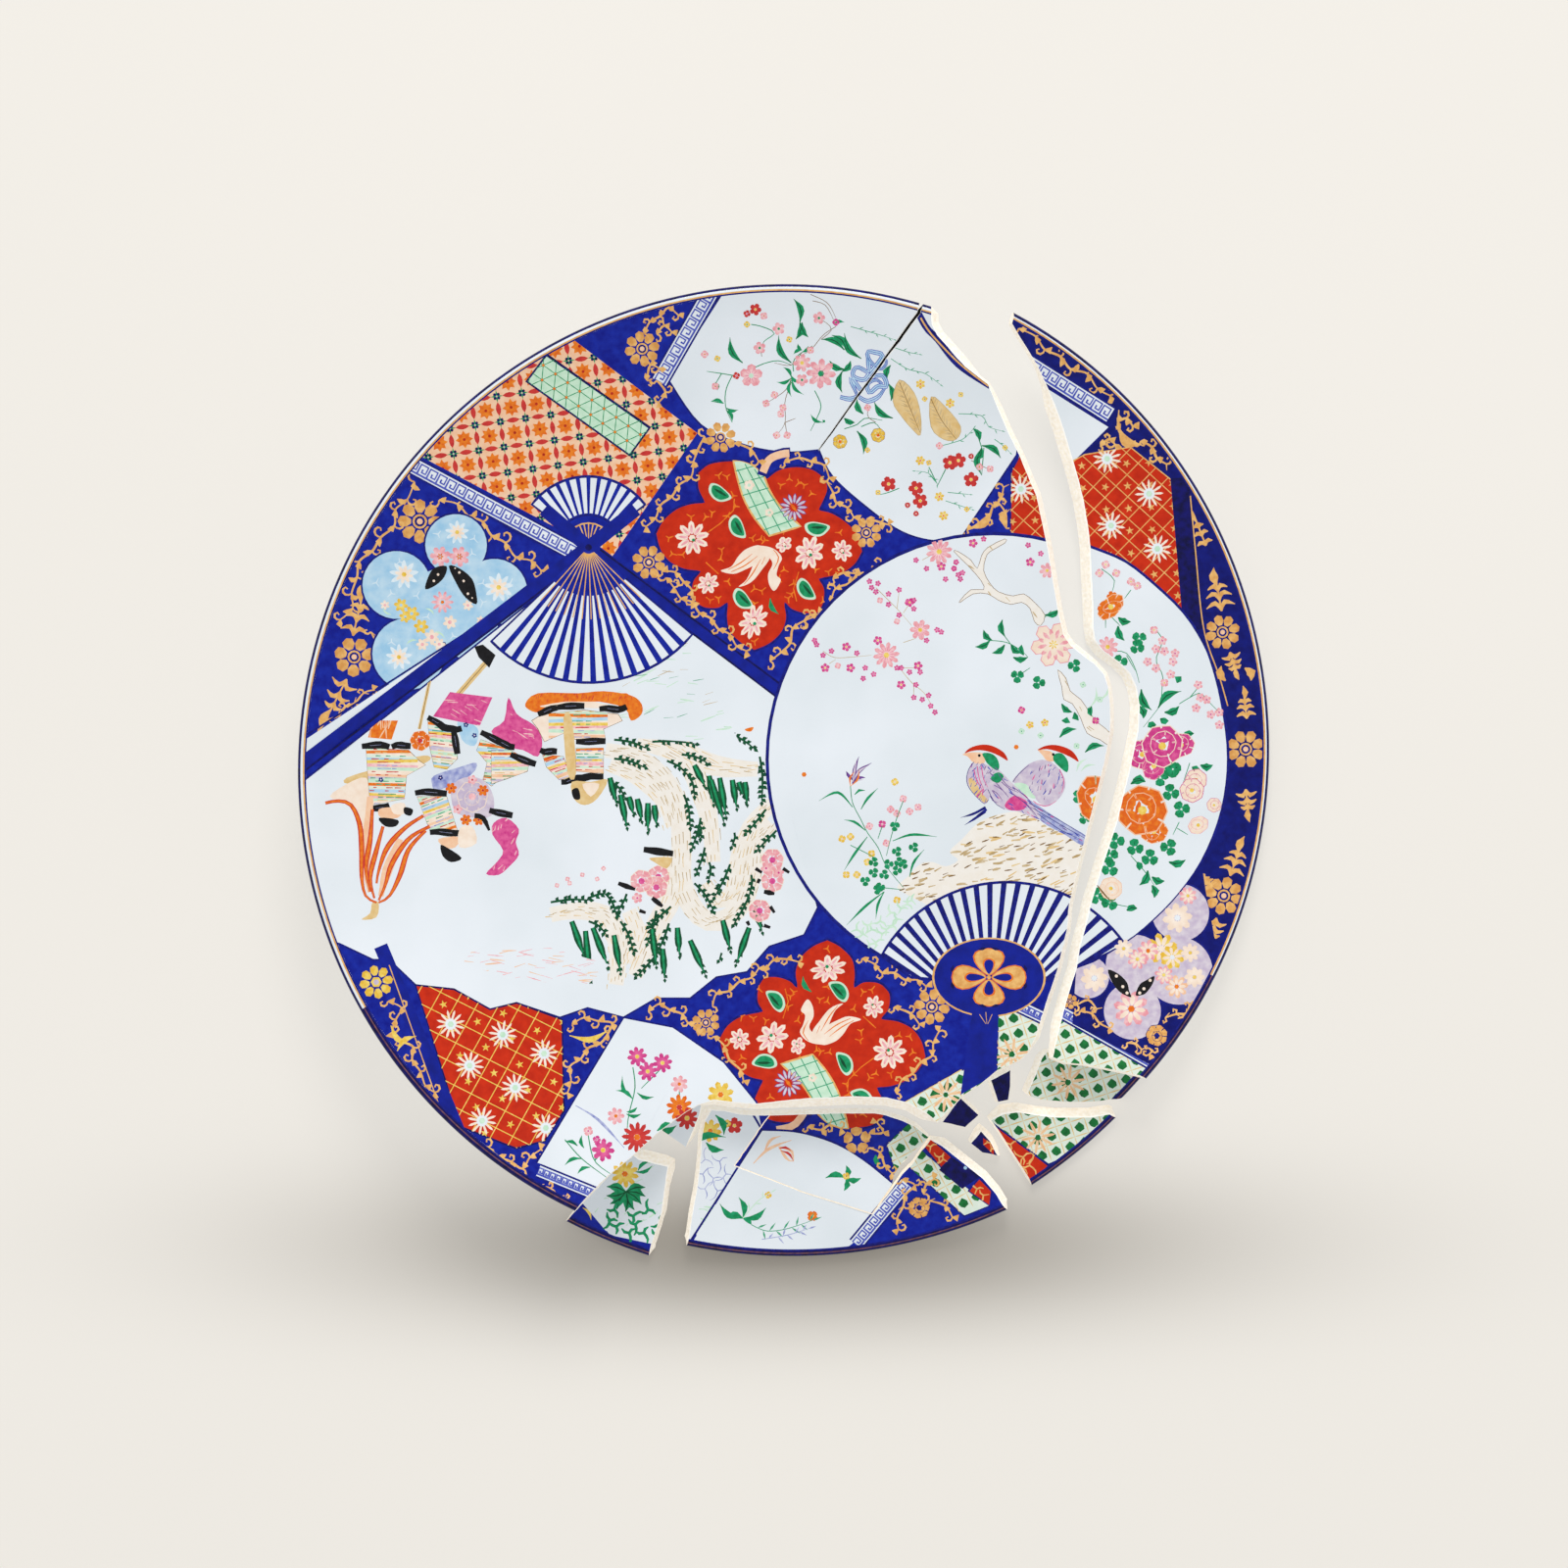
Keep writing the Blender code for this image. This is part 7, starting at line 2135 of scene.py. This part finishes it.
def paint_plum_cartouche():
    """Lilac lobes with starry blossoms, a gilt scroll below, and a black butterfly with white spots."""
    lobes = (((143.5, -97.5), 10), ((164.5, -113.5), 13.5), ((186.5, -94.5), 16), ((187.5, -67), 13.5),
        ((166, -91.5), 14))
    beyond = right.paint("deep_cobalt", ROUNDEL_BEYOND[45:32:-1] + pts(199.5, -57, 203, -75.5, 205.5, -91.5,
        175, -140, 136, -119.5))
    for enamel, more in (("blue_line", 0.9), ("lilac", 0.0)):
        for at, radius in lobes:
            right.paint(enamel, circle(at, radius + more, 40), beyond)
    for at, radius, enamel, heart in (((186, -69.5), 7.2, "cream", "glaze"),
            ((146.5, -98), 6.6, "cream", "glaze"), ((178.5, -84), 7.6, "yellow", "cream"),
            ((172, -85), 5.2, "pink", "orange"), ((183.5, -88), 6.0, "yellow", "glaze"),
            ((167, -89), 5.0, "pink", "yellow"), ((191, -59), 4.4, "pink", "yellow"),
            ((192, -86), 4.6, "cream", "yellow"), ((185.5, -102), 5.6, "peach", "orange"),
            ((194, -97.5), 5.0, "cream", "yellow"), ((160.5, -84), 4.6, "cream", "yellow"),
            ((179.5, -96.5), 4.6, "pink", "yellow"), ((164, -112.5), 8.6, "pink", "orange")):
        petals(right, enamel, at, radius, 8, hub=0.2, width=0.92, point=-0.2, turn=hand.uniform(0, 40),
            corners=7)
        petals(right, "cream", at, radius * 0.8, 8, hub=0.2, width=0.7, point=-0.1,
            turn=hand.uniform(0, 40), corners=6)
        dots(right, heart, [at], radius * 0.2)
    for wing in (pts(153, -94, 158, -96, 162, -100, 163, -104, 164, -107, 161, -106, 158, -104, 155, -100),
            pts(175, -97, 174, -101, 171, -105, 169, -106, 166, -106, 168, -101, 171, -99)):
        right.paint("black", smooth(wing, 3))
    dots(right, "cream", pts(157, -97, 160, -102, 162, -105, 173, -99, 170, -103, 168, -105), 0.8)
    gold_flower(right, (135, -109), 3.6, count=6)
    for path in (pts(138, -110, 144, -109, 148, -112), pts(140, -113, 146, -116, 153, -122),
            pts(162, -128, 169, -131), pts(180, -116, 188, -115, 192, -111), pts(173, -131, 173, -134)):
        vine(right, path, 4.2)
    peony(right, (176, -125), 5.4, "blue_line", "gilding", "blue_line", layers=3)
    strokes(right, "gilding", [pts(186, -117, 191, -115, 192, -111)], 1.8, start=0.3, end=0.2, step=2.0)


# ---------------------------------------------------------------- the painting, from the grounds up
main.paint("cobalt", circle((0, 0), GROUND_RADIUS, 180))
# The right shard's ground is painted darker, as painted shade.
GROUND_ENAMELS = {"right_shard": "deep_cobalt", "upper_sliver": "rim_blue", "lower_sliver": "rim_blue",
    "fan_handle_shard": "rim_blue"}
for shard in list(shards.values())[1:]:
    shard.paint(GROUND_ENAMELS.get(shard.name, "cobalt"), WHOLE_SHARD)

# --- the wide fan panel at the left, with its notched lower edge
LEFT_NOTCHES = pts(-210, -81.5, -194.5, -89, -187, -89, -174.5, -101, -156.5, -103, -139.5, -112.5,
    -127, -109.5, -106.5, -116.5, -93.5, -112, -76.5, -116.5, -61, -107.5, -45, -107.5, -32.5, -97.5,
    -18, -95, -7.5, -83, 9, -77.5, 15.5, -64.5)
paint_left_grounds()
left_fan = panel(main, "glaze", pts(-236, -11.5, -93, 102, -2, 34.5, 2, -15.5) + LEFT_NOTCHES[::-1]
    + pts(-231.5, -75.5))
paint_landscape(left_fan)
paint_figures(left_fan)
paint_brocade()
fret_band(main, (-177, 145), (-98.5, 103), 8)
paint_fans()

# --- the fan panel at the top
panel(main, "glaze", smooth(pts(-55.5, 185.5, -40, 164, -19.5, 154.5, -0.5, 151, 16, 152), closed=False)
    + smooth(pts(16, 152, 22.5, 139.5, 38, 125.5, 55, 113.5, 71.5, 109, 84, 111.5), closed=False)
    + pts(109.5, 149.5, 119.5, 211.5, 46, 239, -21.5, 238))
fret_band(main, (-59.5, 184), (-27.5, 239), 8)
paint_top_panel()
paint_upper_medallion()

# --- blue grounds at the upper left and upper right, and the red lattice
gold_flower(main, (-67.5, 199.5), 8.4)
for path in (pts(-67, 207, -61, 214, -55, 218, -50, 216), pts(-66, 185, -62, 193, -59, 191), pts(-61, 207,
        -56, 210, -53, 208), pts(-60, 185, -57, 178, -59, 174), pts(86, 115, 93, 117, 99, 125, 104, 134),
        pts(104, 115, 105, 124, 101, 126)):
    vine(main, path, 5.0)
leaves(main, "gilding", pts(87, 115, 98, 124, 104, 116, 105, 124), 4.0)
lattice_right = panel(main, "iron_red", pts(107, 142, 111, 149.5, 123.5, 154.5, 143, 112, 123.5, 108,
    106.5, 111.5))
lattice(main, lattice_right, (118, 124), 7.5, -42, pts(111.5, 133.5))
strokes(main, "blue_line", [pts(63, 216, 67, 209, 72, 204, 82, 192, 97, 182)], 3.2, 1, 1, 3.0)
strokes(main, "gilding", [pts(64, 214, 67, 209, 72, 203, 83, 192, 96, 182)], 0.8, 1, 1, 3.0)

paint_roundel()
paint_lower_medallion()
paint_lower_left()
paint_lower_right()
paint_bottom()
paint_right_shard()
paint_lower_fan()
paint_plum_cartouche()

for shard in (main, right, bottom, bottom_left, outer, inner):
    rim_line(shard)


# ---------------------------------------------------------------- meshes from the painted shards
def face_normals(home):
    """The unbroken plate's own normals on its face, so that its facets shade as one smooth curve."""
    radius = np.maximum(np.hypot(home[:, 0], home[:, 1]), 1e-6)
    slope = face_slope(radius)
    upright = np.ones(len(home))
    normals = np.column_stack([-slope * home[:, 0] / radius, -slope * home[:, 1] / radius, upright])
    return normals / np.linalg.norm(normals, axis=1)[:, None]


def tones(shard, skin, corners, places):
    """Each corner's tone: 0 is an enamel's first tone and 1 its second."""
    tone = np.full(len(corners), 0.5)
    shapes = np.repeat(np.array(skin.shapes), 3)
    for number, (_, _, _, shade) in enumerate(shard.painted, 1):
        if shade is not None:
            mine = shapes == number
            away = places[corners[mine]][:, :2] - shade[:2]
            tone[mine] = np.clip(np.hypot(away[:, 0], away[:, 1]) / shade[2], 0, 1)
    return tone


def shard_object(shard):
    """A shard's mesh as it lies, with its enamels, set in the place of its CAD node."""
    skin = shard_skin(shard)
    home = np.array(skin.places)
    world = shard.pose.lies(home)
    world[:, 2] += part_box(shard.name)[0].z / MM - world[:, 2].min()
    facets = np.array(skin.facets)
    mesh = bpy.data.meshes.new(shard.name + "_painted")
    mesh.from_pydata((world * MM).tolist(), [], facets.tolist())
    used = sorted(set(skin.enamels))
    for enamel in used:
        mesh.materials.append(materials[enamel])
    mesh.polygons.foreach_set("material_index", [used.index(e) for e in skin.enamels])
    corners = facets.ravel()
    attribute = mesh.attributes.new("tone", "FLOAT", "CORNER")
    attribute.data.foreach_set("value", tones(shard, skin, corners, world))

    mesh.shade_smooth()
    mesh.set_sharp_from_angle(angle=SHARP_ANGLE)
    normals = np.zeros(len(corners) * 3, np.float32)
    mesh.corner_normals.foreach_get("vector", normals)
    normals = normals.reshape(-1, 3)
    on_face = np.repeat(np.array(skin.shapes) >= 0, 3)
    normals[on_face] = face_normals(home[corners[on_face]]) @ shard.pose.turn.T
    mesh.normals_split_custom_set(normals.tolist())

    piece = bpy.data.objects.new("painted_" + shard.name, mesh)
    bpy.context.scene.collection.objects.link(piece)
    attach(piece, "root")
    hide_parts(shard.name)
    return piece


materials = {name: enamel_material(name) for name in ENAMELS}
for shard in shards.values():
    shard_object(shard)

# ---------------------------------------------------------------- floor, lights and camera
FLOOR_HALF = 9.0
CAMERA_HEIGHT = 8.0
FRAME_WIDTH = 0.7397        # what the image spans at the height of the rim
RIM_HEIGHT = face_height(RIM_RADIUS) * MM
VIEW_CENTRE = (-0.0005, -0.006)
# The board's own glow, which is painted light, and the long soft painted shadow on it at the plate's lower
# rim: its colour, where its middle is, and how far it reaches to either side before it has faded to a third,
# in metres.
FLOOR_GLOW = 0.98
SHADE_COLOUR = "#A09C96"
SHADE_MIDDLE = (0.0, -0.22433)
SHADE_REACH = (0.2041, 0.03802)


def floor_material():
    """Matt painted board: pale and warm, with barely any unevenness, a painted shadow below the plate's lower
    rim, and a painted glow of its own.
    """
    material = bpy.data.materials.new("matt_painted_board")
    material.use_nodes = True
    tree = material.node_tree
    shader = tree.nodes["Principled BSDF"]
    place = add_node(tree, "ShaderNodeTexCoord").outputs["Object"]
    cloud = add_node(tree, "ShaderNodeTexNoise", None, {"Vector": place, "Scale": 1.2, "Detail": 2.0})
    colour = add_node(tree, "ShaderNodeMix", {"data_type": "RGBA"},
                      {"Factor": cloud.outputs["Fac"], 6: linear("#C6C3BE"), 7: linear("#C2BFB9")})
    across, down = SHADE_REACH
    shade = add_node(tree, "ShaderNodeMapping", None,
                     {"Vector": place, "Scale": (1 / across, 1 / down, 0.0),
                      "Location": (-SHADE_MIDDLE[0] / across, -SHADE_MIDDLE[1] / down, 0.0)})
    reach = add_node(tree, "ShaderNodeVectorMath", {"operation": "DOT_PRODUCT"},
                     {0: shade.outputs[0], 1: shade.outputs[0]}).outputs["Value"]
    depth = add_node(tree, "ShaderNodeMath", {"operation": "POWER"},
                     {0: 1 / math.e, 1: reach}).outputs[0]
    shaded = add_node(tree, "ShaderNodeMix", {"data_type": "RGBA", "blend_type": "MULTIPLY"},
                      {"Factor": depth, 6: colour.outputs[2], 7: linear(SHADE_COLOUR)})
    # Much of the board's brightness is a painted glow of its own, so that the shade under the shards stays
    # faint.
    dim = add_node(tree, "ShaderNodeMix", {"data_type": "RGBA", "blend_type": "MULTIPLY"},
                   {"Factor": 1.0, 6: shaded.outputs[2], 7: linear("#CBCBCB")})
    tree.links.new(dim.outputs[2], shader.inputs["Base Color"])
    tree.links.new(shaded.outputs[2], shader.inputs["Emission Color"])
    shader.inputs["Emission Strength"].default_value = FLOOR_GLOW
    shader.inputs["Roughness"].default_value = 0.9
    return material


def add_floor():
    h = FLOOR_HALF
    mesh = bpy.data.meshes.new("floor")
    mesh.from_pydata([(-h, -h, 0), (h, -h, 0), (h, h, 0), (-h, h, 0)], [], [(0, 1, 2, 3)])
    mesh.materials.append(floor_material())
    floor = bpy.data.objects.new("floor", mesh)
    bpy.context.scene.collection.objects.link(floor)


def add_light(name, place, size, watts, colour):
    """A round lamp that shines on the middle of the plate."""
    light = bpy.data.lights.new(name, "AREA")
    light.shape = "DISK"
    light.size = size
    light.energy = watts
    light.color = linear(colour)[:3]
    lamp = bpy.data.objects.new(name, light)
    lamp.location = place
    lamp.rotation_euler = (-Vector(place)).to_track_quat("-Z", "Y").to_euler()
    bpy.context.scene.collection.objects.link(lamp)


def add_camera():
    camera = bpy.data.cameras.new("camera")
    camera.sensor_width = 36.0
    distance = CAMERA_HEIGHT - RIM_HEIGHT
    camera.lens = camera.sensor_width * distance / FRAME_WIDTH
    camera.clip_end = 50.0
    eye = bpy.data.objects.new("camera", camera)
    eye.location = (*VIEW_CENTRE, CAMERA_HEIGHT)
    bpy.context.scene.collection.objects.link(eye)
    bpy.context.scene.camera = eye


def light_the_room():
    world = bpy.data.worlds.new("studio")
    world.use_nodes = True
    world.node_tree.nodes["Background"].inputs["Color"].default_value = linear("#FEFDFB")
    world.node_tree.nodes["Background"].inputs["Strength"].default_value = 0.73
    bpy.context.scene.world = world
    add_light("overhead", place=(0.1, 2.2, 1.9), size=1.3, watts=36, colour="#FFFDFA")


add_floor()
light_the_room()
bpy.context.scene.view_settings.view_transform = "Standard"
add_camera()
